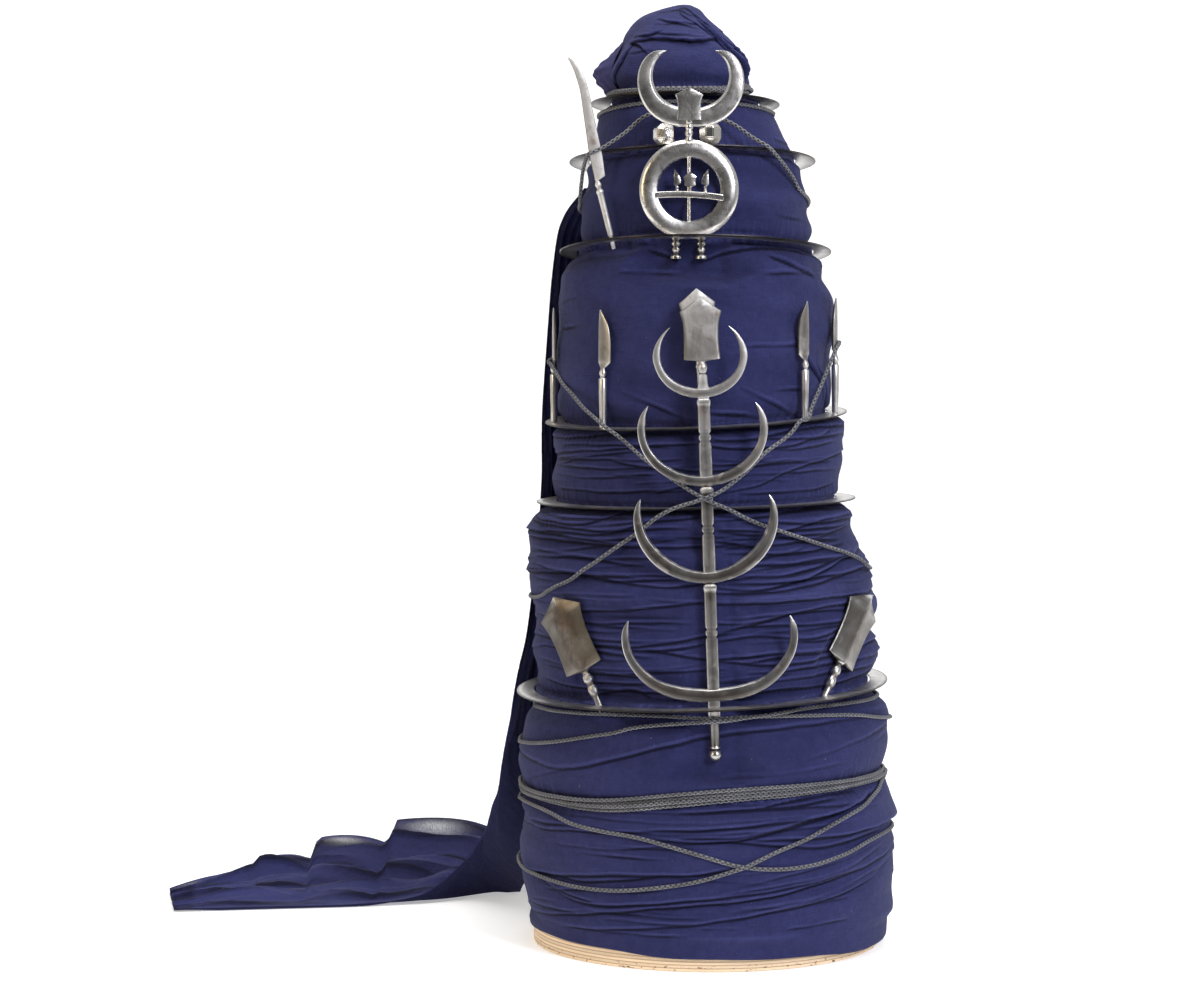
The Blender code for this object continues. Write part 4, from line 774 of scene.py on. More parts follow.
STAFF_FRAME = standing(placed(STAFF_FOOT), placed(STAFF_TOP))
STAFF_LENGTH = (placed(STAFF_TOP) - placed(STAFF_FOOT)).length
LONG_KNIFE_FRAME = standing(placed(LONG_KNIFE_FOOT), placed(LONG_KNIFE_TOP))
LEFT_BLADE_FRAME = side_blade_frame(LEFT_BLADE_ANGLE, placed(LEFT_BLADE_TOP), LEFT_BLADE_TURN)
RIGHT_BLADE_FRAME = side_blade_frame(RIGHT_BLADE_ANGLE, placed(RIGHT_BLADE_TOP), RIGHT_BLADE_TURN)
SIDE_BLADE_COLUMNS = ("side", "frame", "ridge")
SIDE_BLADES = (("left", LEFT_BLADE_FRAME, 0.0014), ("right", RIGHT_BLADE_FRAME, 0.0052))
BADGE_FRAME = Matrix.Translation(placed(BADGE_MIDDLE))
BADGE_FEET = (-0.257, 0.252)
BADGE_FOOT_LOW = -1.391
BADGE_FOOT_SHIFT = 0.0014
BADGE_FOOT_DEPTH = 0.0022

# Where the hard pieces press into the cloth: how far that goes on below the staff and the badge's feet in
# metres, the side blades' edge in shares of their length, and the long knife's handle in shares of its own.
STAFF_PRESS_BELOW = 0.014
FOOT_PRESS_BELOW = 0.010
BLADE_EDGE_SHARE = 0.89
HANDLE_SHARE = 0.3


def presses():
    """Hard pieces that press into the cloth, as (lower point, upper point, half width, half depth)."""
    bar = STAFF_LENGTH * BAR_TOP
    shank = SIDE_BLADE_LENGTH * SHANK_SHARE
    edge = SIDE_BLADE_LENGTH * BLADE_EDGE_SHARE
    side = SIDE_BLADE_WIDTH / 2
    handle = LONG_KNIFE_LENGTH * HANDLE_SHARE
    lines = [
        (STAFF_FRAME, (0, 0, -STAFF_PRESS_BELOW), (0, 0, bar), BAR_WIDTH / 2, BAR_DEPTH / 2 + 0.0015),
        (LONG_KNIFE_FRAME, (0, 0, 0), (0, 0, handle), 0.0035, 0.0035),
        (LEFT_BLADE_FRAME, (0, 0, 0), (0, 0, shank), 0.0040, 0.0042),
        (LEFT_BLADE_FRAME, (side, 0, shank), (side, 0, edge), 0.0040, 0.0030),
        (RIGHT_BLADE_FRAME, (0, 0, 0), (0, 0, shank), 0.0040, 0.0042),
        (RIGHT_BLADE_FRAME, (0, 0, shank), (0, 0, edge), 0.0100, 0.0035),
    ]
    low = BADGE_FOOT_LOW * BADGE_RING_RADIUS - FOOT_PRESS_BELOW
    high = -BADGE_RING_RADIUS * 0.6
    for across in (share * BADGE_RING_RADIUS for share in BADGE_FEET):
        ends = (across, BADGE_FOOT_SHIFT, low), (across, BADGE_FOOT_SHIFT, high)
        lines.append((BADGE_FRAME, *ends, 0.0048, 0.0044))
    return [(frame @ Vector(a), frame @ Vector(b), wide, deep) for frame, a, b, wide, deep in lines]


PRESSES = presses()
PRESS_SPREAD = 0.012
PRESS_SOFTNESS = 0.0012
PRESS_EASE_BESIDE = 0.6
PRESS_EASE_PAST = 1.6


# The badge, in shares of its ring's radius: the stem's ends, half width and beads, the spade on it, and
# its feet from the foot up as height and radius.
BADGE_STEM_STEPS = 36
BADGE_STEM_LOW = 0.932
BADGE_STEM_HIGH = 1.38
BADGE_STEM_HALF_WIDTH = 0.060
BADGE_STEM_BEAD = 0.022
BADGE_SPADE_FOOT = 1.378
BADGE_SPADE_LENGTH = 0.669
BADGE_SPADE_HALF_WIDTH = 0.283
BADGE_FOOT = (
    (BADGE_FOOT_LOW, 0.120),
    (BADGE_FOOT_LOW + 0.055, 0.115),
    (BADGE_FOOT_LOW + 0.100, 0.062),
    (-1.20, 0.086),
    (-1.15, 0.060),
    (-1.09, 0.092),
    (-1.03, 0.062),
    (-0.98, 0.090),
    (-0.92, 0.068),
    (-0.86, 0.094),
    (-0.79, 0.086),
    (-0.74, 0.040),
)

# How far the badge's parts lie behind its middle, and the depths of its crescent, in metres.
STEM_SHIFT = -0.0006
SPADE_SHIFT = -0.0022
CROSSBAR_SHIFT = -0.0008
BADGE_CRESCENT_SHIFT = 0.0003
BADGE_CRESCENT_FRONT = 0.0026
BADGE_CRESCENT_BACK = 0.0012

# Section of the badge's ring: in from its outside in shares of its width, and forward in shares of its
# half depth.
RING_SECTION = (
    (-1.00, -1.0),
    (-1.00, 0.0),
    (-0.93, 0.9),
    (-0.76, 1.4),
    (-0.50, 1.7),
    (-0.24, 1.4),
    (-0.07, 0.5),
    (0.00, -0.4),
    (-0.05, -1.0),
)

# Knobs: place across in shares of the badge's ring, and turn about their own height in degrees.
KNOB_COLUMNS = ("side", "across", "turn")
KNOBS = (("left", -0.486, 24), ("right", 0.441, 38))
KNOB_SEAT = 0.62
KNOB_FACET = 0.26
KNOB_BEVEL = 0.035

# The little weapons on the crossbar: place across, length and half width in shares of the ring's radius,
# the tip in shares of their half width, and their outlines in shares of their length and half width.
# The height of their feet and the radii of their stems are in metres.
BADGE_WEAPON_DEPTH = 0.0009
BADGE_WEAPON_FOOT = -0.0052
BADGE_WEAPON_STEM = ((0.00, 0.0012), (0.14, 0.0017), (0.24, 0.0011), (0.36, 0.0012))
BADGE_WEAPON_COLUMNS = ("name", "across", "length", "half_width", "tip", "outline")
SPADE_WEAPON = ((0.42, 0.62), (0.46, 0.86), (0.60, 0.80), (0.80, 1.00), (1.00, 0.04))
KNIFE_WEAPON = ((0.42, 0.40), (0.46, 1.00), (0.66, 0.96), (0.84, 0.58), (1.00, 0.04))
BADGE_WEAPONS = (
    ("badge_spade", 0.021, 0.486, 0.134, 0.0, SPADE_WEAPON),
    ("badge_knife_left", -0.238, 0.538, 0.070, -0.8, KNIFE_WEAPON),
    ("badge_knife_right", 0.329, 0.538, 0.072, 0.8, KNIFE_WEAPON),
)
TOP_CRESCENT_MIDDLE = (0.034, 2.236)
TOP_CRESCENT_HALF_WIDTH = 1.071


def round_row(height, radius):
    """A round section at a height."""
    return (height, -radius, radius, radius, "round")


def badge_weapon_rows(row):
    """A little knife or spade on the badge's crossbar, with a beaded stem; its point lies over its tip."""
    length = row["length"] * BADGE_RING_RADIUS
    half = row["half_width"] * BADGE_RING_RADIUS
    tip = row["tip"] * half
    rows = [round_row(BADGE_WEAPON_FOOT + share * length, radius) for share, radius in BADGE_WEAPON_STEM]
    for share, scale in row["outline"]:
        left = tip - (half + tip) * scale
        right = tip + (half - tip) * scale
        rows.append((BADGE_WEAPON_FOOT + share * length, left, right, BADGE_WEAPON_DEPTH, "flat"))
    return rows


def spade_rows(foot, length, half_width, half_depth, shape):
    """The sections of a spade blade, from its foot up."""
    rows = []
    for row in rows_of(SPADE_COLUMNS, SPADE):
        half = row["half_width"] * half_width
        rows.append((foot + row["height"] * length, -half, half, half_depth, shape))
    return rows


def route_path(route):
    """Angles and levels close together along a route that closes on itself."""
    rows = rows_of(ROUTE_COLUMNS, route)
    turn = rows[-1]["angle"] - rows[0]["angle"]
    rows = rows[:-1]
    count = len(rows)
    path = []
    for i in range(count):
        near = range(i - 1, i + 3)
        angles = [rows[k % count]["angle"] + turn * (k // count) for k in near]
        levels = [rows[k % count]["height"] for k in near]
        along = math.radians(angles[2] - angles[1]) * CLOTH_RADIUS
        parts = max(1, round(math.hypot(along, (levels[2] - levels[1]) * TURBAN_HEIGHT) / CORD_STEP))
        for part in range(parts):
            share = part / parts
            weights = (
                (-(share**3) + 2 * share**2 - share) / 2,
                (3 * share**3 - 5 * share**2 + 2) / 2,
                (-3 * share**3 + 4 * share**2 + share) / 2,
                (share**3 - share**2) / 2,
            )
            angle = sum(weight * corner for weight, corner in zip(weights, angles))
            level = sum(weight * corner for weight, corner in zip(weights, levels))
            path.append((math.radians(angle), level * TURBAN_HEIGHT))
    return path


# Fineness of the finished meshes
FRONT_COLUMNS = 260
BACK_COLUMNS = 130
RING_SEGMENTS = 256
CORD_MESH_STEP = 0.0018
CORD_SIDES = 10

# Bands of the wound cloth between the pinches: lower and upper edge in shares of the turban's height;
# how far apart the rows of the mesh are, in millimetres; how many short creases run round it; and the
# height of its broad swells in millimetres.
BAND_COLUMNS = ("name", "low", "high", "row", "creases", "swell")
BANDS = (
    ("cloth_band_1", 0.0267, 0.1747, 0.9, 24, 1.2),
    ("cloth_band_2", 0.1747, 0.2764, 1.3, 6, 0.9),
    ("cloth_band_3", 0.2764, 0.3740, 0.9, 34, 2.0),
    ("cloth_band_4", 0.3740, 0.4732, 0.9, 34, 2.0),
    ("cloth_band_5", 0.4732, 0.5621, 0.9, 22, 1.2),
    ("cloth_band_6", 0.5621, 0.7364, 1.2, 16, 1.5),
    ("cloth_band_7", 0.7364, 0.8333, 1.2, 9, 1.1),
    ("cloth_band_8", 0.8333, 0.8941, 1.4, 4, 0.6),
    ("cloth_crown", 0.8941, 1.0000, 0.9, 7, 1.5),
)
FOLD_SEED = 11

# A lap is cut in over this height above its edge, and shaded within this much of a line a little below
# it; laps further than the reach from a band don't touch it. All in millimetres.
LAP_CUT = 1.2
LAP_SHADE = 1.25
LAP_SHADE_DROP = 0.3
LAP_REACH = 25
LAP_WAVER = 0.6

# Short creases: the range of their length in degrees, and of depth and width in millimetres; how many
# waves make up the broad swells and the puckers.
CREASE_LENGTHS = (12, 50)
CREASE_DEPTHS = (0.3, 0.9)
CREASE_WIDTHS = (2, 4.5)
SWELL_WAVES = 22
PUCKER_WAVES = 30

# Beside a pinch: the heights over which creases fade and puckers fall and rise in metres, and the
# puckers' strength in millimetres. The folds fade over the last height below the top.
PINCH_FADE = 0.007
PUCKER_FALL = 0.006
PUCKER_RISE = 0.0015
PUCKER_STRENGTH = 1.1
TOP_FADE = 0.018

# Rings of the hem between its edge and the first row of the cloth.
HEM_STEPS = 11

# Edges of the bands where nothing pinches the cloth: the hem, the middle of the fifth tier and the top.
PLAIN_EDGES = (0.0267, 0.3740, 1.0)

# The long laps of the front: depth and width in millimetres, before the fold depth's factor on the
# depth; and the points through which each lap's edge runs, as an angle in degrees and a height in
# millimetres.
LAP_COLUMNS = ("depth", "width", "points")
LAPS = (
    (1.8, 7, ((-146, 24), (-112, 33), (-69, 47), (-39, 59), (-18, 72), (30, 80))),
    (2.2, 7, ((-200, 24), (-166, 28), (-149, 33), (-108, 49), (-76, 57), (-48, 69), (-20, 78), (25, 90))),
    (2.0, 6, ((-150, 55), (-140, 50), (-129, 48), (-95, 56), (-62, 67), (-40, 74))),
    (2.4, 5, ((-185, 60), (-148, 65), (-122, 72), (-96, 76), (-80, 84))),
    (1.6, 4, ((-146, 65), (-130, 65), (-104, 75))),
    (2.4, 4, ((-176, 68), (-159, 61), (-144, 54), (-128, 50))),
    (1.4, 5, ((-172, 36), (-148, 38), (-134, 40))),
    (2.6, 4, ((-100, 103), (-82, 105), (-60, 114), (-42, 122), (-22, 130))),
    (2.0, 5, ((-112, 107), (-88, 111), (-57, 116), (-40, 124))),
    (2.8, 5, ((-108, 101), (-83, 102), (-59, 113), (-30, 128))),
    (1.8, 6, ((-88, 102), (-70, 96), (-53, 93), (-25, 98))),
    (3.4, 12, ((-80, 101), (-52, 100), (-17, 103), (30, 100))),
    (1.8, 4, ((-100, 122), (-78, 124), (-49, 128))),
    (1.6, 4, ((-80, 124), (-57, 131), (-38, 132))),
    (2.2, 6, ((-190, 112), (-164, 107), (-153, 99), (-136, 103), (-108, 107))),
    (1.6, 4, ((-160, 104), (-136, 107))),
    (1.4, 9, ((-200, 158), (-163, 152), (-139, 150), (-107, 170), (-92, 178))),
    (1.0, 16, ((-166, 132), (-139, 149), (-94, 177), (-50, 186), (0, 190))),
    (0.8, 8, ((-60, 160), (-20, 176), (20, 184))),
    (2.0, 6, ((-190, 345), (-152, 340), (-133, 338), (-118, 348), (-95, 349))),
    (2.4, 5, ((-190, 330), (-151, 332), (-124, 331), (-106, 342), (-86, 346))),
    (2.2, 6, ((-188, 328), (-163, 326), (-126, 323), (-84, 323), (-66, 325))),
    (2.0, 6, ((-195, 296), (-138, 300), (-107, 293), (-88, 294))),
    (1.6, 4, ((-137, 301), (-123, 296), (-95, 299))),
    (1.8, 6, ((-150, 270), (-124, 273), (-92, 280))),
    (1.6, 6, ((-112, 282), (-81, 280), (-35, 282), (10, 286))),
    (2.2, 5, ((-172, 249), (-147, 247), (-120, 246), (-92, 254), (-82, 257))),
    (1.6, 4, ((-120, 242), (-98, 246), (-90, 250))),
    (2.4, 5, ((-113, 245), (-93, 238), (-67, 241), (-50, 242))),
    (2.4, 6, ((-90, 236), (-72, 233), (-47, 236), (-20, 242), (20, 246))),
    (2.0, 6, ((-90, 250), (-72, 254), (-56, 252), (-28, 261), (15, 268))),
    (2.4, 5, ((-90, 257), (-70, 266), (-47, 275), (-10, 279))),
    (1.6, 4, ((-90, 264), (-75, 265), (-62, 272))),
    (2.8, 7, ((-90, 293), (-76, 289), (-49, 300), (-30, 310), (10, 320))),
    (2.0, 6, ((-90, 287), (-68, 288), (-25, 301), (15, 305))),
    (1.8, 5, ((-78, 300), (-58, 301), (-33, 312))),
    (1.4, 4, ((-73, 311), (-50, 320))),
    (1.8, 4, ((-92, 342), (-65, 346), (-37, 350), (0, 349))),
    (2.0, 5, ((-84, 335), (-69, 331), (-41, 341), (-15, 346))),
    (1.4, 4, ((-86, 327), (-66, 322))),
    (1.8, 5, ((-64, 332), (-48, 327), (-15, 336))),
    (1.4, 4, ((-134, 225), (-112, 223))),
    (1.4, 4, ((-133, 217), (-112, 217))),
    (1.8, 4, ((-132, 207), (-117, 212), (-108, 206))),
    (1.8, 5, ((-190, 404), (-146, 406), (-117, 408), (-92, 410))),
    (1.8, 6, ((-185, 391), (-146, 394), (-113, 399), (-90, 400))),
    (1.4, 4, ((-174, 387), (-126, 393), (-115, 395))),
    (1.6, 4, ((-92, 399), (-74, 397), (-62, 399))),
    (2.0, 5, ((-92, 408), (-82, 403), (-60, 409), (-38, 413), (5, 416))),
    (1.4, 4, ((-66, 397), (-51, 401), (-30, 411))),
    (1.6, 4, ((-92, 384), (-74, 386), (-64, 391))),
    (1.8, 5, ((-128, 388), (-113, 383), (-87, 380), (-56, 388))),
    (1.2, 4, ((-127, 376), (-108, 377))),
    (1.4, 4, ((-108, 363), (-92, 371))),
    (1.8, 6, ((-90, 362), (-70, 367), (-50, 382), (-20, 391), (20, 396))),
    (1.6, 4, ((-116, 551), (-100, 543))),
    (1.8, 4, ((-90, 542), (-78, 548), (-55, 552), (-30, 548))),
    (2.2, 5, ((-60, 546), (-48, 539), (-30, 531))),
    (0.8, 3, ((-126, 533), (-96, 532))),
    (1.6, 8, ((-48, 480), (-33, 456), (-20, 430))),
    (1.4, 6, ((-32, 462), (-22, 440), (-14, 422))),
    (1.6, 5, ((-90, 424), (-74, 423), (-64, 421))),
    (0.9, 10, ((-74, 444), (-44, 420))),
    (0.9, 10, ((-124, 441), (-94, 419))),
    (3.0, 5, ((-144, 716), (-130, 717), (-99, 717), (-73, 716), (-40, 719))),
    (2.8, 4, ((-96, 747), (-60, 742), (-44, 731), (-36, 722))),
    (4.6, 6, ((-46, 728), (-38, 712), (-28, 696), (-20, 684))),
    (3.4, 5, ((-56, 738), (-49, 724), (-40, 706), (-34, 690))),
    (2.8, 5, ((-30, 722), (-22, 708), (-14, 694))),
    (1.6, 4, ((-84, 741), (-62, 730), (-48, 716))),
    (1.8, 4, ((-142, 721), (-119, 721), (-106, 725))),
    (1.8, 5, ((-146, 717), (-129, 712), (-119, 704))),
    (1.8, 8, ((-172, 676), (-151, 698), (-138, 720))),
)

# Families of laps that run side by side: the angle in degrees at which they start, the lowest and the
# highest there in millimetres, the same at their end, how many there are, and their depth and width.
FAMILY_COLUMNS = ("start", "start_low", "start_high", "end", "end_low", "end_high", "count", "depth", "width")
LAP_FAMILIES = (
    (-12, 30, 122, 100, 20, 115, 8, 1.9, 6.0),
    (86, 20, 116, 190, 25, 118, 8, 1.9, 6.0),
    (10, 140, 200, 172, 140, 200, 5, 1.2, 9.0),
    (-14, 214, 272, 100, 214, 270, 8, 1.8, 5.5),
    (88, 214, 272, 190, 214, 270, 8, 1.8, 5.5),
    (-14, 288, 348, 100, 290, 346, 8, 1.8, 5.0),
    (88, 290, 346, 190, 292, 348, 8, 1.8, 5.0),
    (-175, 296, 348, -92, 292, 345, 8, 1.5, 4.0),
    (-90, 292, 345, -10, 302, 345, 8, 1.7, 4.0),
    (-175, 214, 270, -92, 210, 270, 8, 1.4, 4.0),
    (-90, 210, 272, -10, 218, 274, 9, 1.6, 4.0),
    (-172, 362, 412, -92, 362, 410, 6, 1.1, 4.0),
    (-90, 360, 410, -10, 366, 414, 6, 1.3, 4.0),
    (-160, 22, 70, -92, 34, 80, 4, 0.8, 4.0),
    (-96, 34, 80, -14, 70, 98, 5, 0.8, 4.0),
    (-160, 104, 128, -20, 108, 132, 4, 0.8, 3.5),
    (-130, 716, 742, -44, 712, 738, 5, 1.2, 3.0),
    (4, 362, 412, 182, 362, 412, 8, 1.5, 6.0),
    (0, 430, 545, 176, 430, 545, 8, 1.2, 9.0),
    (0, 558, 620, 176, 558, 620, 6, 1.2, 8.0),
    (0, 630, 664, 176, 630, 664, 4, 1.0, 7.0),
    (-30, 676, 735, 90, 690, 730, 5, 1.5, 5.0),
    (80, 690, 730, 190, 680, 720, 5, 1.4, 5.0),
)

# Cotton: spacing of its threads, the heights between which it turns paler towards the top, and the colour of
# its lint.
THREAD_PITCH = 0.00062
PALER_FROM = 0.56
PALER_TO = 0.74
LINT_COLOUR = (0.20, 0.20, 0.27)

# Steel: the colours of its tarnish, smoke stains, specks and rust; of its dull parts and painted shade; and
# of its rubbed parts and painted highlights.
TARNISH_COLOUR = (0.075, 0.066, 0.060)
SMOKE_COLOUR = (0.080, 0.056, 0.040)
SPECK_COLOUR = (0.10, 0.075, 0.055)
RUST_COLOUR = (0.13, 0.062, 0.030)
DULL_AND_SHADE_COLOUR = (0.030, 0.026, 0.022)
BRIGHT_COLOUR = (0.86, 0.84, 0.81)

# Kinds of steel: brightness of the colour, shares of tarnish and rust, how finely it is brushed each way,
# roughness, depth of the brushing, and the height in metres from which it is paler, if it is.
STEEL_COLUMNS = ("name", "brightness", "tarnish", "rust", "brush", "rough", "grain", "pale_from")
STEELS = (
    ("quoit_steel", 1.00, 0.35, 0.20, (160.0, 160.0, 160.0), 0.27, 0.12, None),
    ("forged_steel", 1.00, 1.00, 0.90, (320.0, 320.0, 60.0), 0.28, 0.50, 0.38),
    ("blade_steel", 0.60, 0.80, 0.80, (420.0, 420.0, 40.0), 0.25, 0.50, None),
    ("knife_steel", 1.50, 0.25, 0.80, (300.0, 300.0, 90.0), 0.50, 0.50, None),
    ("badge_steel", 1.95, 0.58, 0.50, (420.0, 420.0, 420.0), 0.22, 0.30, None),
    ("dark_knife_steel", 1.30, 0.60, 0.60, (300.0, 300.0, 60.0), 0.32, 0.50, None),
    ("knob_steel", 1.00, 0.20, 0.20, (300.0, 300.0, 300.0), 0.16, 0.50, None),
)
PALE_OVER = 0.12
LOW_BRIGHTNESS = 0.30
HIGH_BRIGHTNESS = 1.30

# Cord and plywood: length of a diamond of the braid, thickness of a ply, and the colours of the glue
# lines and of the chips along the foot.
BRAID_PITCH = 0.0042
PLY_PITCH = 0.0026
GLUE_COLOUR = (0.42, 0.26, 0.15)
CHIP_COLOUR = (0.10, 0.05, 0.025)

# Stage
PAPER_FROM = -1.1
PAPER_TO = -0.55
CAMERA_PLACE = (-0.0927, -2.251, 0.4366)
CAMERA_PITCH = 1.93
CAMERA_LENS = 85.35
SENSOR_WIDTH = 36.0
FLOOR_REACH = 6.0
FLOOR_BEND_FROM = 1.6
FLOOR_BEND_RADIUS = 1.2
FLOOR_BEND_STEPS = 14
BACKDROP_HEIGHT = 5.0
WORLD_COLOUR = (0.97, 0.98, 1.0)
WORLD_STRENGTH = 0.42
WORLD_FRONT_SHARE = 0.16
BACKDROP_GLOW = 0.42
LIGHT_COLUMNS = ("name", "place", "size", "power", "colour", "target")
LIGHTS = (
    ("key_right", (1.35, -2.2, 1.7), (0.8, 1.2), 62, (0.90, 0.93, 1.0), (0.0, 0.0, 0.38)),
    ("fill_left", (-2.1, -1.4, 1.2), (0.6, 1.5), 15, (1.0, 0.80, 0.50), (0.0, 0.0, 0.35)),
    ("top", (0.1, -0.2, 2.5), (1.6, 1.6), 40, (1.0, 1.0, 1.0), (0.0, 0.0, 0.3)),
)


class Wire:
    """A shader socket on which sums and products add Math nodes."""

    def __init__(self, shader, socket):
        self.shader = shader
        self.socket = socket

    def __add__(self, other):
        return self.shader.maths("ADD", self, other)

    def __sub__(self, other):
        return self.shader.maths("SUBTRACT", self, other)

    def __rsub__(self, other):
        return self.shader.maths("SUBTRACT", other, self)

    def __mul__(self, other):
        return self.shader.maths("MULTIPLY", self, other)

    def __truediv__(self, other):
        return self.shader.maths("DIVIDE", self, other)

    __radd__ = __add__
    __rmul__ = __mul__


class Shader:
    """A material whose nodes are written as expressions."""

    def __init__(self, name):
        self.material = bpy.data.materials.new(name)
        self.material.use_nodes = True
        self.tree = self.material.node_tree
        self.surface = self.tree.nodes["Principled BSDF"]

    def plug(self, socket, value):
        if isinstance(value, Wire):
            self.tree.links.new(value.socket, socket)
        else:
            socket.default_value = value

    def node(self, kind, settings, values, output=0):
        """A node of a type, its settings first and then the values or links of its sockets."""
        made = self.tree.nodes.new(kind)
        for key, value in settings.items():
            setattr(made, key, value)
        for key, value in values.items():
            self.plug(made.inputs[key], value)
        return Wire(self, made.outputs[output])

    def maths(self, operation, first, second=0.0):
        return self.node("ShaderNodeMath", {"operation": operation}, {0: first, 1: second})

    def clipped(self, value, low, high):
        """A value taken from low to high and held between 0 and 1."""
        return self.node("ShaderNodeMapRange", {"clamp": True}, {0: value, 1: low, 2: high})

    def mixed(self, share, first, second):
        """A mix of two colours, by a share of the second."""
        first, second = (side if isinstance(side, Wire) else (*side, 1) for side in (first, second))
        return self.node("ShaderNodeMix", {"data_type": "RGBA"}, {0: share, 6: first, 7: second}, 2)

    def place(self):
        return self.node("ShaderNodeTexCoord", {}, {}, "Object")

    def uv(self):
        return self.node("ShaderNodeUVMap", {"uv_map": "UVMap"}, {})

    def scaled(self, vector, scale):
        return self.node("ShaderNodeMapping", {"vector_type": "POINT"}, {"Vector": vector, "Scale": scale})

    def parts(self, vector):
        """The three numbers of a vector."""
        split = self.tree.nodes.new("ShaderNodeSeparateXYZ")
        self.plug(split.inputs[0], vector)
        return [Wire(self, socket) for socket in split.outputs]

    def noise(self, vector, scale, detail=3.0, roughness=0.5, distortion=0.0):
        values = {"Vector": vector, "Scale": scale, "Detail": detail}
        values.update(Roughness=roughness, Distortion=distortion)
        return self.node("ShaderNodeTexNoise", {}, values)

    def attribute(self, name):
        return self.node("ShaderNodeAttribute", {"attribute_name": name}, {}, "Fac")

    def bump(self, height, distance, strength=1.0, normal=None):
        values = {"Height": height, "Distance": distance, "Strength": strength}
        if normal:
            values["Normal"] = normal
        return self.node("ShaderNodeBump", {}, values)

    def finish(self, **values):
        """Sets the surface's sockets, named with their spaces left out."""
        for key, value in values.items():
            socket = next(s for s in self.surface.inputs if s.name.replace(" ", "") == key)
            self.plug(socket, value)
        return self.material


def cotton_material(name, colour, sheer):
    """Plain-woven navy cotton, with painted shade in its folds, and ridges lighter as dust and painted
    highlight; sheer where it hangs singly.
    """
    shader = Shader(name)
    place = shader.place()
    across, along, _ = shader.parts(shader.uv())
    # Paler towards the top.
    paler_up = shader.clipped(shader.parts(place)[2], PALER_FROM, PALER_TO)
    # The relief attribute carries painted shade for the creases and the shade under laps.
    relief = shader.attribute("relief")
    valley_shade = shader.clipped(relief, 0.42, 0.10)
    ridge = shader.clipped(relief, 0.52, 0.76)
    cloud = shader.clipped(shader.noise(place, 14.0, 3.0), 0.35, 0.70)
    slub = shader.noise(shader.scaled(shader.uv(), (150.0, 1100.0, 1.0)), 1.0, 3.0)
    slub_up = shader.noise(shader.scaled(shader.uv(), (1100.0, 150.0, 1.0)), 1.0, 3.0)
    mottle = shader.clipped(shader.noise(place, 130.0, 5.0, 0.7), 0.38, 0.62)
    dust_and_highlight = tuple(part * 1.55 + 0.010 for part in colour)
    base = shader.mixed(cloud * 0.35 + mottle * 0.30 + paler_up * 0.40, colour, dust_and_highlight)
    # Ridges lighter, partly as dust and partly as painted highlight.
    base = shader.mixed(ridge * 0.70, base, dimmed(dust_and_highlight, 1.25))
    # Painted shade in creases and under laps.
    base = shader.mixed(valley_shade * 0.92, base, dimmed(colour, 0.16))
    threads = shader.clipped(slub * 0.5 + slub_up * 0.5, 0.38, 0.66)
    base = shader.mixed(shader.clipped(threads, 1.0, 0.0) * 0.38, base, dimmed(colour, 0.5))
    lint = shader.clipped(shader.noise(place, 420.0, 1.0), 0.79, 0.83)
    base = shader.mixed(lint * 0.55, base, LINT_COLOUR)
    warp = shader.maths("SINE", across * (math.tau / THREAD_PITCH))
    weft = shader.maths("SINE", along * (math.tau / THREAD_PITCH))
    weave = shader.bump(warp * weft, 0.00006, 0.6)
    normal = shader.bump(threads, 0.00025, 0.7, weave)
    crinkle = shader.noise(shader.scaled(shader.uv(), (60.0, 220.0, 1.0)), 1.0, 4.0)
    normal = shader.bump(crinkle, 0.0016, 0.60, normal)
    normal = shader.bump(mottle, 0.0004, 0.35, normal)
    values = {"BaseColor": base, "Roughness": 0.80 + threads * 0.08, "Normal": normal}
    if sheer:
        values["Alpha"] = 1.0 - shader.attribute("sheer") * (0.42 + shader.clipped(threads, 0.9, 0.1) * 0.20)
    return shader.finish(SpecularIORLevel=0.12, SheenWeight=0.04, SheenRoughness=0.5, **values)


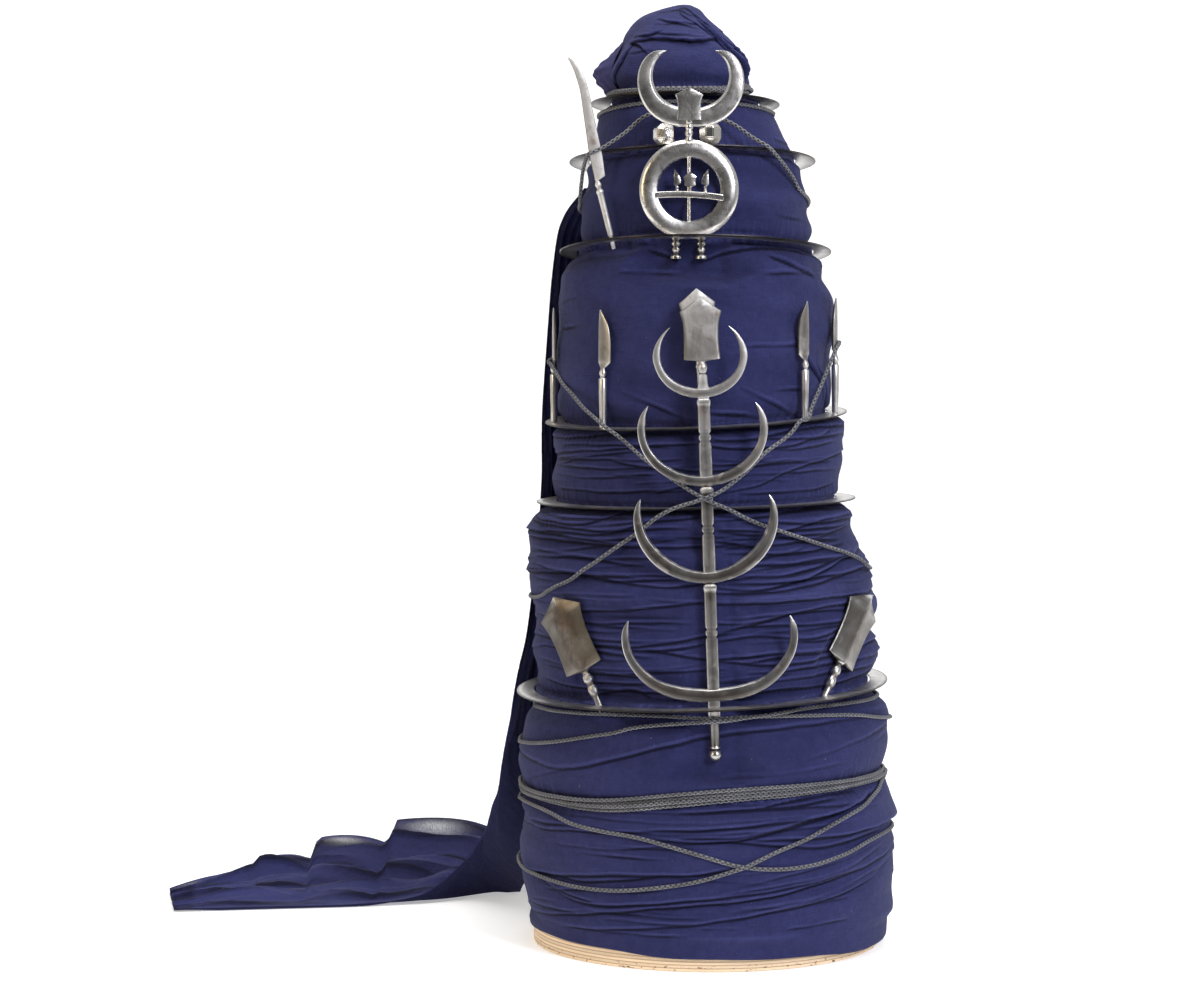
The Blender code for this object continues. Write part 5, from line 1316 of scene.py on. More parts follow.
def steel_material(name, colour):
    """Old polished steel: bright where it is rubbed and on painted highlights, dark where it is dull and
    under painted shade, grey-brown elsewhere, with rust in its recesses.

    Above the height pale_from of its kind it is paler and less tarnished.
    """
    kind = next(row for row in rows_of(STEEL_COLUMNS, STEELS) if row["name"] == name)
    colour = dimmed(colour, kind["brightness"])
    tarnish = kind["tarnish"]
    shader = Shader(name)
    place = shader.place()
    edge = shader.node("ShaderNodeNewGeometry", {}, {}, "Pointiness")
    dulled = shader.attribute("dulled")
    rubbed = shader.maths("MAXIMUM", shader.clipped(edge, 0.512, 0.56), shader.attribute("rubbed"))
    rubbed = rubbed * (1.0 - dulled)
    recess = shader.clipped(edge, 0.492, 0.46)
    smoke = shader.clipped(shader.noise(place, 26.0, 3.0, 0.55, 0.4), 0.43, 0.56)
    patches = shader.clipped(shader.noise(place, 85.0, 6.0, 0.66, 0.6), 0.42, 0.60)
    fine = shader.noise(shader.scaled(place, kind["brush"]), 1.0, 4.0, 0.6)
    specks = shader.clipped(shader.noise(place, 620.0, 2.0), 0.64, 0.78)
    amount = tarnish
    upper_share = 0.0
    # Paler and less tarnished towards the top.
    if kind["pale_from"]:
        _, _, height = shader.parts(place)
        upper_share = shader.clipped(height, kind["pale_from"], kind["pale_from"] + PALE_OVER)
        amount = tarnish - upper_share * (tarnish * 0.6)
        colour = shader.mixed(upper_share, dimmed(colour, LOW_BRIGHTNESS), dimmed(colour, HIGH_BRIGHTNESS))
    base = shader.mixed(patches * 0.55 * amount + amount * 0.15, colour, TARNISH_COLOUR)
    base = shader.mixed(smoke * amount * 0.95, base, SMOKE_COLOUR)
    base = shader.mixed(shader.clipped(fine, 0.50, 0.66) * 0.6 * amount, base, TARNISH_COLOUR)
    base = shader.mixed(specks * 0.4, base, SPECK_COLOUR)
    stain = shader.clipped(shader.noise(place, 130.0, 4.0), 0.57, 0.70) * kind["rust"]
    rusty = shader.clipped(recess + stain, 0.1, 1.0)
    base = shader.mixed(rusty * 0.75, base, RUST_COLOUR)
    # Darkened where marked: dull steel and painted shade.
    base = shader.mixed(dulled * 0.95, base, DULL_AND_SHADE_COLOUR)
    # Brightened on sharp edges and where marked: rubbed steel and painted highlight.
    base = shader.mixed(rubbed * 0.85, base, BRIGHT_COLOUR)
    roughness = kind["rough"] + upper_share * 0.14 + patches * 0.10 + fine * 0.12 + specks * 0.10 - rubbed * 0.06
    normal = shader.bump(fine, 0.00010, kind["grain"])
    normal = shader.bump(patches + specks * 0.6, 0.00008, 0.6, normal)
    return shader.finish(BaseColor=base, Roughness=roughness, Metallic=1.0 - rusty * 0.5, Normal=normal)


def cord_material(colour):
    """Grey cord, braided in small diamonds, with painted shade in the gaps of the braid."""
    shader = Shader("grey_braided_cord")
    along = shader.attribute("along")
    around = shader.attribute("around") * math.tau
    turn = along * (math.tau / BRAID_PITCH)
    left = shader.maths("SINE", turn + around * 3.0)
    right = shader.maths("SINE", turn - around * 3.0)
    braid = shader.maths("MAXIMUM", left, right)
    # Painted shade in the gaps of the braid.
    gap_shade = shader.clipped(braid, 0.70, 0.05)
    cloud = shader.noise(shader.place(), 60.0, 3.0)
    base = shader.mixed(cloud, colour, dimmed(colour, 3.2))
    base = shader.mixed(gap_shade * 0.95, base, dimmed(colour, 0.12))
    fuzz = shader.noise(shader.place(), 2600.0, 2.0)
    normal = shader.bump(braid, 0.00050, 1.0)
    normal = shader.bump(fuzz, 0.00012, 0.5, normal)
    values = {"SpecularIORLevel": 0.35, "SheenWeight": 0.15}
    return shader.finish(BaseColor=base, Roughness=0.72, Normal=normal, **values)


def plywood_material(colour):
    """Birch plywood: fine plies on its edge, and grain on its faces."""
    shader = Shader("birch_plywood")
    place = shader.place()
    x, y, z = shader.parts(place)
    around = shader.maths("ARCTAN2", y, x) * PLY_RADIUS
    ply = shader.maths("SINE", z * (math.pi / PLY_PITCH))
    end_grain = shader.clipped(ply, 0.15, -0.15)
    line = shader.clipped(shader.maths("ABSOLUTE", ply), 0.62, 0.20)
    joined = shader.node("ShaderNodeCombineXYZ", {}, {0: around, 2: z})
    long_grain = shader.noise(shader.scaled(joined, (55.0, 1.0, 1500.0)), 1.0, 4.0)
    specks = shader.noise(shader.scaled(joined, (1400.0, 1.0, 900.0)), 1.0, 3.0)
    light = tuple(min(part * 1.16, 0.95) for part in colour)
    base = shader.mixed(shader.clipped(long_grain, 0.35, 0.70), light, colour)
    base = shader.mixed(end_grain * shader.clipped(specks, 0.35, 0.65) * 0.55, base, dimmed(colour, 0.58))
    base = shader.mixed(line * 0.80, base, GLUE_COLOUR)
    chips = shader.clipped(shader.noise(shader.scaled(joined, (200.0, 1.0, 500.0)), 1.0, 3.0), 0.61, 0.65)
    base = shader.mixed(chips * shader.clipped(z, 0.006, 0.002), base, CHIP_COLOUR)
    normal = shader.bump(line * -1.0 - chips + specks * 0.4, 0.00022, 0.7)
    roughness = 0.58 + long_grain * 0.14
    return shader.finish(BaseColor=base, Roughness=roughness, SpecularIORLevel=0.35, Normal=normal)


def floor_material():
    """Pale studio paper, which ends in front of the turban and is clear from behind."""
    shader = Shader("studio_paper")
    place = shader.place()
    _, y, _ = shader.parts(place)
    paper = shader.clipped(y, PAPER_FROM, PAPER_TO)
    white = shader.mixed(paper, (0.05, 0.05, 0.05), (0.90, 0.90, 0.90))
    normal = shader.bump(shader.noise(place, 900.0, 2.0), 0.0001, 0.2)
    behind = shader.node("ShaderNodeNewGeometry", {}, {}, "Backfacing")
    values = {"EmissionColor": white, "EmissionStrength": BACKDROP_GLOW, "Alpha": 1.0 - behind}
    return shader.finish(BaseColor=white, Roughness=0.85, SpecularIORLevel=0.2, Normal=normal, **values)


def linked(name, data):
    """A new object in the scene."""
    made = bpy.data.objects.new(name, data)
    bpy.context.scene.collection.objects.link(made)
    return made


def shown(name, mesh, material, slot, *nodes):
    """A finished piece at the origin, with its material and the nodes it stands for; the slot is not used."""
    piece = linked(name, mesh)
    mesh.materials.clear()
    mesh.materials.append(material)
    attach(piece, "root")
    if nodes:
        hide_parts(*nodes)
    return piece


def smoothed(mesh, degrees=32):
    mesh.shade_smooth()
    mesh.set_sharp_from_angle(angle=math.radians(degrees))
    return mesh


def mesh_of(name, form):
    """A mesh from a form, which it frees."""
    mesh = bpy.data.meshes.new(name)
    form.to_mesh(mesh)
    form.free()
    return mesh


def joined_mesh(name, meshes):
    """One mesh from several."""
    form = bmesh.new()
    for mesh in meshes:
        form.from_mesh(mesh)
        bpy.data.meshes.remove(mesh)
    return mesh_of(name, form)


def add_values(mesh, values):
    """Gives each point of a mesh its number from each named grid."""
    for key, grid in values.items():
        attribute = mesh.attributes.new(key, "FLOAT", "POINT")
        attribute.data.foreach_set("value", np.asarray(grid, np.float32).ravel())


def strip_faces(i, j, up, on, width):
    """The faces of a grid between its rows i and up and its columns j and on."""
    return np.stack([i * width + j, i * width + on, up * width + on, up * width + j], -1).reshape(-1, 4)


def grid_mesh(name, rows, wrap_rows, wrap_columns, values, sheet_uv):
    """A mesh over rows of points, with an attribute for each named grid of values and a UV map."""
    rows = np.asarray(rows, float)
    count, width = rows.shape[:2]
    low = np.arange(count if wrap_rows else count - 1)
    near = np.arange(width if wrap_columns else width - 1)
    i, j = np.meshgrid(low, near, indexing="ij")
    up, on = (i + 1) % count, (j + 1) % width
    mesh = bpy.data.meshes.new(name)
    mesh.from_pydata(rows.reshape(-1, 3), [], strip_faces(i, j, up, on, width).tolist())
    add_values(mesh, values)
    across, along = sheet_uv
    far = np.where(j + 1 < width, across[np.minimum(j + 1, width - 1)], 2 * across[-1] - across[-2])
    top = along[np.minimum(i + 1, count - 1)]
    corners = ((across[j], along[i]), (far, along[i]), (far, top), (across[j], top))
    uv = np.stack([np.stack(corner, -1) for corner in corners], -2).reshape(-1, 2)
    layer = mesh.uv_layers.new(name="UVMap")
    layer.uv.foreach_set("vector", uv.astype(np.float32).ravel())
    return mesh


def closed_ends(mesh, width, count, low_pole, high_pole):
    """Closes the first and the last row of a wrapped grid with a fan to a pole."""
    form = bmesh.new()
    form.from_mesh(mesh)
    form.verts.ensure_lookup_table()
    for pole, start, flip in ((low_pole, 0, True), (high_pole, (count - 1) * width, False)):
        if pole is None:
            continue
        middle = form.verts.new(pole)
        form.verts.ensure_lookup_table()
        for k in range(width):
            pair = (form.verts[start + k], form.verts[start + (k + 1) % width])
            form.faces.new((pair[1], pair[0], middle) if flip else (pair[0], pair[1], middle))
    form.to_mesh(mesh)
    form.free()
    return mesh


def column_angles():
    """Angles round the turban in radians, closer together at the front."""
    front = -math.pi + math.pi * np.arange(FRONT_COLUMNS) / FRONT_COLUMNS
    back = math.pi * np.arange(BACK_COLUMNS) / BACK_COLUMNS
    return np.concatenate([front, back])


def lap_profile(offset, depth, width):
    """A lap of cloth above its edge, cut in sharply there, and rising again slowly below."""
    above = 0.75 * np.exp(-np.maximum(offset - LAP_CUT, 0) / (width * 1.15))
    below = -0.6 * np.exp(np.minimum(offset, 0) / (width * 0.9))
    share = np.clip(offset / LAP_CUT, 0, 1)
    return depth * (below * (1 - share) + above * share)


def lap_lift(laps, angles, levels):
    """How far laps lift the cloth in millimetres, and how nearly each point lies in the shade of one."""
    lift = np.zeros_like(levels)
    shade = np.zeros_like(levels)
    lowest, highest = levels.min() - LAP_REACH, levels.max() + LAP_REACH
    for points, phase, depth, width in laps:
        if max(point[1] for point in points) < lowest or min(point[1] for point in points) > highest:
            continue
        start, end = points[0][0], points[-1][0]
        share = ((angles - start) % 360) / (end - start)
        near = np.flatnonzero(share < 1)
        near = near[np.argsort(share[near])]
        share = share[near]
        stops = [point[0] for point in points]
        heights = [point[1] for point in points]
        line = np.array([eased(start + (end - start) * part, stops, heights) for part in share])
        waves = np.sin(share * 11 + phase * 2.3) + 0.35 * np.sin(share * (end - start) * 0.4 + phase * 5)
        line = line + LAP_WAVER * min((end - start) / 90, 1) * waves
        steep = np.gradient(line) / np.maximum(np.gradient(share) * np.radians(end - start) * 130, 0.1)
        fade = np.sin(math.pi * share) ** 0.5 * (0.74 + 0.26 * np.sin(share * 9 + phase * 3))
        offset = (levels[:, near] - line) / np.sqrt(1 + steep**2)
        lift[:, near] += lap_profile(offset, depth * fade, width)
        dark = np.exp(-(((offset + LAP_SHADE_DROP) / LAP_SHADE) ** 2))
        shade[:, near] = np.maximum(shade[:, near], np.clip(depth * fade / LAP_SHADE, 0, 1) * dark)
    return lift, shade


def wound_laps(seed):
    """The laps of the front, and those of all the families, each a little out of line."""
    draw = np.random.default_rng(seed)
    laps = []
    for row in rows_of(LAP_COLUMNS, LAPS):
        laps.append((row["points"], draw.uniform(0, math.tau), row["depth"], row["width"]))
    for row in rows_of(FAMILY_COLUMNS, LAP_FAMILIES):
        for index in range(row["count"]):
            share = (index + 0.5 + draw.uniform(-0.32, 0.32)) / row["count"]
            low = row["start_low"] + (row["start_high"] - row["start_low"]) * share
            high = row["end_low"] + (row["end_high"] - row["end_low"]) * share
            start = row["start"] + draw.uniform(0, 0.2) * (row["end"] - row["start"])
            end = row["end"] - draw.uniform(0, 0.2) * (row["end"] - row["start"])
            middle = ((start + end) / 2, (low + high) / 2 + draw.uniform(-4, 4))
            depth = row["depth"] * draw.uniform(0.55, 1.25)
            width = row["width"] * draw.uniform(0.7, 1.4)
            laps.append((((start, low), middle, (end, high)), draw.uniform(0, math.tau), depth, width))
    return laps


def short_creases(band, seed):
    """Short shallow creases that run round a band by themselves."""
    draw = np.random.default_rng(seed)
    low = band["low"] * TURBAN_HEIGHT * 1000
    high = band["high"] * TURBAN_HEIGHT * 1000
    creases = []
    for _ in range(band["creases"]):
        start = draw.uniform(-180, 180)
        length = draw.uniform(*CREASE_LENGTHS)
        level = draw.uniform(low + 2, high - 2)
        rise = length * draw.normal(0.08, 0.13)
        points = ((start, level), (start + length, level + rise))
        phase = draw.uniform(0, math.tau)
        creases.append((points, phase, draw.uniform(*CREASE_DEPTHS), draw.uniform(*CREASE_WIDTHS)))
    return creases


def swells(angles, levels, seed):
    """Broad soft swells of the cloth, from -1 to 1."""
    draw = np.random.default_rng(seed)
    total = np.zeros_like(levels)
    turns = np.radians(angles)
    for _ in range(SWELL_WAVES):
        around = draw.integers(-6, 7)
        wave = math.tau / draw.uniform(26, 90)
        total += np.cos(around * turns + wave * levels + draw.uniform(0, math.tau))
    return total / 6


def puckers(angles, seed):
    """Small gathers beside a pinch, round the turban, from -1 to 1."""
    draw = np.random.default_rng(seed)
    turns = np.radians(angles)
    total = np.zeros_like(turns)
    for _ in range(PUCKER_WAVES):
        total += np.cos(draw.integers(18, 96) * turns + draw.uniform(0, math.tau))
    return np.abs(total / 4) - 0.6


def softer_least(first, second, softness):
    """The lesser of two grids, blended where they are close."""
    share = np.clip(0.5 + 0.5 * (second - first) / softness, 0, 1)
    return second * (1 - share) + first * share - softness * share * (1 - share)


def pressed_grid(radius, angles, height, level):
    """The cloth's radii where hard pieces press it in."""
    for low, high, half_width, half_depth in PRESSES:
        share = np.clip((level - low.z) / (high.z - low.z), 0, 1)
        x = low.x + (high.x - low.x) * share - height[:, 1][:, None]
        y = low.y + (high.y - low.y) * share
        past = np.abs(level - (low.z + (high.z - low.z) * share))
        reach = np.hypot(x, y)
        turn = (angles - np.arctan2(y, x) + math.pi) % math.tau - math.pi
        beside = np.maximum(reach * np.abs(np.sin(turn)) - half_width - PRESS_SPREAD, 0)
        limit = reach - half_depth - 2 * CLEARANCE + beside * PRESS_EASE_BESIDE + past * PRESS_EASE_PAST
        limit = np.where(np.abs(turn) > math.pi / 3, 9.0, limit)
        radius = softer_least(radius, limit, PRESS_SOFTNESS)
    return radius


def against_quoits(radius, angles, column):
    """The cloth's radii drawn to the inner edges of the quoits, where it meets them."""
    for row in QUOIT_ROWS:
        inner = inner_radius(row)
        forward = row["forward"] * CLOTH_RADIUS
        toward = -forward * np.sin(angles)
        edge = toward + np.sqrt(inner**2 - forward**2 + toward**2) - 2 * CLEARANCE
        near = np.exp(-(((column - row["height"] * TURBAN_HEIGHT) / 0.0034) ** 4))
        radius = radius * (1 - near) + edge * near
    return radius


def cloth_surface(heights, angles, band, settings, seed):
    """Points of the wound cloth, and its relief with painted shade: from 0 in a crease and under a lap to 1
    on a ridge.
    """
    half_width = np.array([eased(h, HEIGHTS, HALF_WIDTHS) for h in heights])[:, None]
    front = np.array([eased(h, HEIGHTS, FRONTS) for h in heights])[:, None]
    shifts = np.array([shift_at(h) for h in heights])
    tilts = np.array([tilt_at(h) for h in heights])
    cosine, sine = np.cos(angles)[None, :], np.sin(angles)[None, :]
    radius = half_width * (1 + (front - 1) * np.maximum(-sine, 0) ** 2)
    column = heights[:, None]
    tilt = tilts[:, :1] * cosine + tilts[:, 1:] * sine
    level = column + radius * tilt
    degrees = np.degrees(angles)
    lift, shade = lap_lift(wound_laps(FOLD_SEED), degrees, level * 1000)
    creases, crease_shade = lap_lift(short_creases(band, seed), degrees, level * 1000)
    creases += band["swell"] * swells(degrees, level * 1000, seed + 50)
    low = (heights - heights[0])[:, None]
    high = (heights[-1] - heights)[:, None]
    top = np.clip((TURBAN_HEIGHT - column) / TOP_FADE, 0, 1)
    for beside, share, number in ((low, band["low"], 70), (high, band["high"], 90)):
        fade = np.clip(beside / PINCH_FADE, 0, 1)
        creases *= fade
        crease_shade *= fade
        if share not in PLAIN_EDGES:
            lift *= 0.2 + 0.8 * fade
            pinched = np.exp(-beside / PUCKER_FALL) * np.clip(beside / PUCKER_RISE, 0, 1)
            lift += PUCKER_STRENGTH * puckers(degrees, seed + number) * pinched
    lift = (lift + creases) * top
    shade = np.maximum(shade, crease_shade)
    lift *= settings.fold_depth * 0.001
    radius = against_quoits(radius + lift, angles[None, :], column)
    radius = pressed_grid(radius, angles[None, :], np.stack([heights, shifts], 1), level)
    x = radius * cosine
    y = radius * sine
    points = np.stack([shifts[:, None] + x, y, column + radius * tilt], -1)
    bend = np.zeros_like(lift)
    bend[1:-1] = lift[:-2] - 2 * lift[1:-1] + lift[2:]
    bend[1:-1] = (bend[:-2] + 2 * bend[1:-1] + bend[2:]) / 4
    # Creases and the shade under laps lower the relief, which the material paints as shade.
    return points, np.clip(0.5 - bend / 0.0012, 0, 1) * (1 - shade)


def level_ring(radius, heights, angles, shift=0.0):
    """A ring about the axis, at one height or at one for each of its points."""
    heights = np.broadcast_to(heights, len(angles))
    return np.stack([shift + radius * np.cos(angles), radius * np.sin(angles), heights], -1)


def hollow_ring(height, angles):
    """A ring of the hollow for the head."""
    seat = PLY_THICKNESS + CLEARANCE
    share = (height - HOLLOW_HEIGHT) / (seat - HOLLOW_HEIGHT)
    radius = HOLLOW_TOP_RADIUS + (HOLLOW_RADIUS - HOLLOW_TOP_RADIUS) * share
    return level_ring(radius, height, angles, shift_at(height) * (1 - share))


def hem_rings(first, angles):
    """The rings from the hollow's foot over the plywood and round the hem to the first row of the cloth."""
    seat = PLY_THICKNESS + CLEARANCE
    lip = (PLY_RADIUS + 2 * CLEARANCE) / math.cos(math.pi / BACK_COLUMNS)
    hem = HEM_HEIGHT - HEM_RIGHT_DROP * np.cos(angles)
    hem = hem + 0.0007 * np.sin(angles * 5 + 1) + 0.0004 * np.sin(angles * 11)
    edge = np.maximum(HALF_WIDTHS[0] - 0.0008, lip + SHIFTS[0] + HEM_WALL)
    rings = [hollow_ring(seat, angles), level_ring(lip, seat, angles), level_ring(lip, hem + 0.0005, angles)]
    for share in np.linspace(0, 1, HEM_STEPS + 1)[:-1]:
        drawn_in = 0.0009 * (1 - min(share * 6, 1)) ** 2
        radius = edge - drawn_in + 0.0003 * np.sin(angles * 7)
        rings.append(level_ring(radius, hem, angles, SHIFTS[0]) * (1 - share) + first * share)
    return rings


def cloth_band_mesh(band, angles, settings, seed):
    """One closed band of the wound cloth: its folded outside and its wall round the hollow."""
    low = band["low"] * TURBAN_HEIGHT
    high = band["high"] * TURBAN_HEIGHT
    top = min(high, HEIGHTS[-1])
    heights = np.linspace(low, top, max(8, round((top - low) * 1000 / band["row"])))
    points, relief = cloth_surface(heights, angles, band, settings, seed)
    low_pole = high_pole = None
    if band["name"] == "cloth_band_1":
        rows = [hollow_ring(high, angles), *hem_rings(points[0], angles)]
        levels = [PLY_THICKNESS + CLEARANCE - 0.02] * 4
        levels += [low - 0.008 * (1 - k / HEM_STEPS) for k in range(HEM_STEPS)]
    elif high * 1.0001 < HOLLOW_HEIGHT:
        rows = [hollow_ring(high, angles), hollow_ring(low, angles)]
        levels = [high, low]
    elif low < HOLLOW_HEIGHT:
        low_pole = (shift_at(HOLLOW_HEIGHT), 0, HOLLOW_HEIGHT + HOLLOW_TOP_RADIUS * 0.5)
        high_pole = (shift_at(high), 0, high)
        rows = [hollow_ring(HOLLOW_HEIGHT, angles), hollow_ring(low, angles)]
        levels = [HOLLOW_HEIGHT, low]
    else:
        low_pole = (shift_at(low), 0, low)
        high_pole = (SHIFTS[-1], 0, TURBAN_HEIGHT)
        rows = []
        levels = []
    relief_shades = [np.full(len(angles), 0.5)] * len(rows) + list(relief)
    rows += list(points)
    across = (angles + math.pi) * HALF_WIDTHS[0] * (0.5 + 0.5 * (1 - band["low"]))
    uv = (across, np.array([*levels, *heights]))
    mesh = grid_mesh(band["name"], rows, low_pole is None, True, {"relief": relief_shades}, uv)
    if low_pole is not None:
        closed_ends(mesh, len(angles), len(rows), low_pole, high_pole)
    mesh.shade_smooth()
    return mesh


def point_between(position, stops, points):
    """A point on the smooth curve through points at rising stops."""
    return Vector([eased(position, stops, [point[k] for point in points]) for k in range(3)])


def points_between(first, last, shares):
    """Points on the straight line between two, one for each share."""
    return np.array(first)[None, :] * (1 - shares)[:, None] + np.array(last)[None, :] * shares[:, None]


def tail_edges(position, rows):
    """The tail's edges at a place along it, which way its middle stands out, and how flat it lies."""
    stops = range(len(rows))
    near = point_between(position, stops, [placed(row["near"]) for row in rows])
    far = point_between(position, stops, [placed(row["far"]) for row in rows])
    along = (far - near).normalized()
    lying = clamped((LYING_FROM - near.z) / LYING_OVER, 0.0, 1.0)
    outward = Vector((along.y, -along.x, 0)).normalized() * -1
    outward = outward.lerp(Vector((0, 0, 1)), lying).normalized()
    turned_in = 0.0
    for row in rows_of(TURNED_COLUMNS, TURNED_IN):
        past = position - row["along"]
        turned_in += TURNED_SHARE * clamped(past / 0.07, 0, 1) * math.exp(-max(past, 0) / row["reach"])
    far = far.lerp(near, turned_in * lying)
    far.z = max(far.z - turned_in * TURNED_DROP * lying, 0.002)
    return near, far, outward, lying


def gathers(position, share):
    """The lengthwise gathers across the tail at a place along it, in metres."""
    gather = 0.0024 * np.sin(math.tau * 6.0 * share + 0.35 * position + 0.9 * np.sin(position * 0.9))
    for row in rows_of(GATHER_COLUMNS, GATHERS):
        sway = row["sway"] * np.sin(position * row["sway_step"])
        wave = np.abs(np.sin(math.pi * row["count"] * share + row["drift"] * position + sway))
        gather += row["depth"] * (1 - 2 * wave**0.6)
    return gather


def thinness(position, share):
    """How worn the tail is across its width at a place along it, from 0 to 1."""
    thin = np.zeros_like(share)
    for spot in rows_of(THIN_COLUMNS, THIN_SPOTS):
        off = ((position - spot["along"]) / spot["reach"]) ** 2
        thin += np.exp(-off - ((share - spot["across"]) / spot["width"]) ** 2)
    return np.clip(thin, 0, 1)


def tail_rows():
    """The tail's middle surface on a fine grid from its top to its end, its sheerness, and its relief, which
    carries painted shade and highlight.
    """
    rows = rows_of(TAIL_COLUMNS, TAIL)
    last = len(rows) - 1
    under_rows = rows_of(UNDER_COLUMNS, UNDER)
    under_stops = [row["along"] for row in under_rows]
    under_points = [placed(row["point"]) for row in under_rows]
    rolled = np.linspace(0, 1, 18)[:-1]
    share = np.linspace(0, 1, TAIL_COLUMN_COUNT)
    arch = np.sin(math.pi * share)
    lines = []
    sheers = []
    relief_shades = []
    for step in range(TAIL_STEPS):
        position = step / (TAIL_STEPS - 1) * last
        near, far, outward, lying = tail_edges(position, rows)
        belly = eased(position, range(len(rows)), [row["belly"] for row in rows]) * CLOTH_RADIUS
        under = near
        if under_stops[0] < position < under_stops[-1]:
            under = point_between(position, under_stops, under_points)
        fold = TAIL_FOLD_HEIGHT * lying * np.sin(math.tau * TAIL_FOLDS * share**1.2 + position * 0.35)
        gather = gathers(position, share)
        wave = 0.0022 * np.sin(math.tau * (2.0 * share + position * 0.83)) * lying
        out = belly * arch + (fold + gather + wave) * np.clip(arch * 2.2, 0.25, 1)
        line = points_between(near, far, share) + np.array(outward)[None, :] * out[:, None]
        slack = (near - under).length
        roll = points_between(under, line[0], rolled)
        roll += np.array([-1, -0.4, 0])[None, :] * (slack * 0.16 * np.sin(math.pi * rolled))[:, None]
        roll[:, 0] += 0.0012 * np.sin(rolled * 9 + position * 5) * slack / 0.05
        line = np.concatenate([roll, line])
        line[:, 2] = np.maximum(line[:, 2], TAIL_THICKNESS * 0.55)
        lines.append(line)
        # The relief is lower along the edges and at the end. It follows the gathers as painted shade and
        # highlight, and is low in the roll under the near edge as painted shade.
        hem = np.where(np.abs(share - 0.5) > 0.486, 0.30, 0.0) + (0.30 if step > TAIL_STEPS - 5 else 0.0)
        relief = np.clip(0.50 - gather / 0.0050 - hem, 0.12, 0.8)
        sheers.append(np.concatenate([rolled * 0, thinness(position, share)]))
        relief_shades.append(np.concatenate([0.24 + 0.10 * rolled**3, relief]))
    return lines, sheers, relief_shades


def flap_rows():
    """The flap's middle surface: a pocket of cloth that stands out from the left of the crown."""
    rows = rows_of(FLAP_COLUMNS, FLAP[::-1])
    levels = [row["height"] * TURBAN_HEIGHT for row in rows]
    lines = []
    for step in range(FLAP_STEPS):
        level = levels[0] + (levels[-1] - levels[0]) * step / (FLAP_STEPS - 1)
        out = eased(level, levels, [row["out"] for row in rows])
        middle = eased(level, levels, [row["angle"] for row in rows])
        seat = eased(level, HEIGHTS, HALF_WIDTHS) + FLAP_THICKNESS * 0.3
        line = []
        for share in np.linspace(0, 1, FLAP_COLUMN_COUNT):
            angle = math.radians(middle - FLAP_SPAN / 2 + FLAP_SPAN * share)
            arch = math.sin(math.pi * share)
            crease = 0.0011 * math.sin(share * 34 + step * 0.20) + 0.0007 * math.sin(step * 0.7 - share * 11)
            radius = seat + out * arch**1.3 + crease * arch
            line.append((shift_at(level) + radius * math.cos(angle), radius * math.sin(angle), level))
        lines.append(line)
    return lines


def sheet_mesh(name, lines, values):
    """A closed sheet of cloth on a grid of points, thickened to both sides."""
    across = np.arange(len(lines[0])) * SHEET_UV_STEP
    along = np.arange(len(lines)) * SHEET_UV_STEP
    mesh = grid_mesh(name, lines, False, False, values, (across, along))
    piece = linked(name, mesh)
    wall = piece.modifiers.new("wall", "SOLIDIFY")
    wall.thickness = SHEET_MESH_THICKNESS
    wall.offset = 0
    finished = evaluated_mesh(piece)
    bpy.data.objects.remove(piece)
    finished.shade_smooth()
    return finished


def evaluated_mesh(piece):
    """A plain mesh of a piece with its modifiers applied."""
    graph = bpy.context.evaluated_depsgraph_get()
    graph.update()
    settled = piece.evaluated_get(graph)
    return bpy.data.meshes.new_from_object(settled, preserve_all_data_layers=True, depsgraph=graph)


class Grower:
    """A tree of Geometry Nodes, with one method that adds a node."""

    def __init__(self, name, sizes):
        self.tree = bpy.data.node_groups.new(name, "GeometryNodeTree")
        face = self.tree.interface
        face.new_socket("Geometry", in_out="INPUT", socket_type="NodeSocketGeometry")
        face.new_socket("Geometry", in_out="OUTPUT", socket_type="NodeSocketGeometry")
        self.identifiers = {}
        for key, kind in sizes.items():
            self.identifiers[key] = face.new_socket(key, in_out="INPUT", socket_type=kind).identifier
        self.inputs = self.tree.nodes.new("NodeGroupInput")
        self.outputs = self.tree.nodes.new("NodeGroupOutput")

    def node(self, kind, settings, values, output=0):
        made = self.tree.nodes.new(kind)
        for key, value in settings.items():
            setattr(made, key, value)
        for key, value in values.items():
            if isinstance(value, bpy.types.NodeSocket):
                self.tree.links.new(value, made.inputs[key])
            else:
                made.inputs[key].default_value = value
        return made.outputs[output]

    def end(self, geometry):
        """Ends the tree with plain geometry in its material."""
        plain = self.node("GeometryNodeRealizeInstances", {}, {"Geometry": geometry})
        values = {"Geometry": plain, "Material": self.inputs.outputs["Material"]}
        dressed = self.node("GeometryNodeSetMaterial", {}, values)
        self.tree.links.new(dressed, self.outputs.inputs[0])
        return self

    def grow(self, name, data, **sizes):
        """The plain mesh that the tree makes from a curve or mesh."""
        seed = linked(name, data)
        modifier = seed.modifiers.new(self.tree.name, "NODES")
        modifier.node_group = self.tree
        for key, value in sizes.items():
            modifier[self.identifiers[key]] = value
        mesh = evaluated_mesh(seed)
        bpy.data.objects.remove(seed)
        return mesh


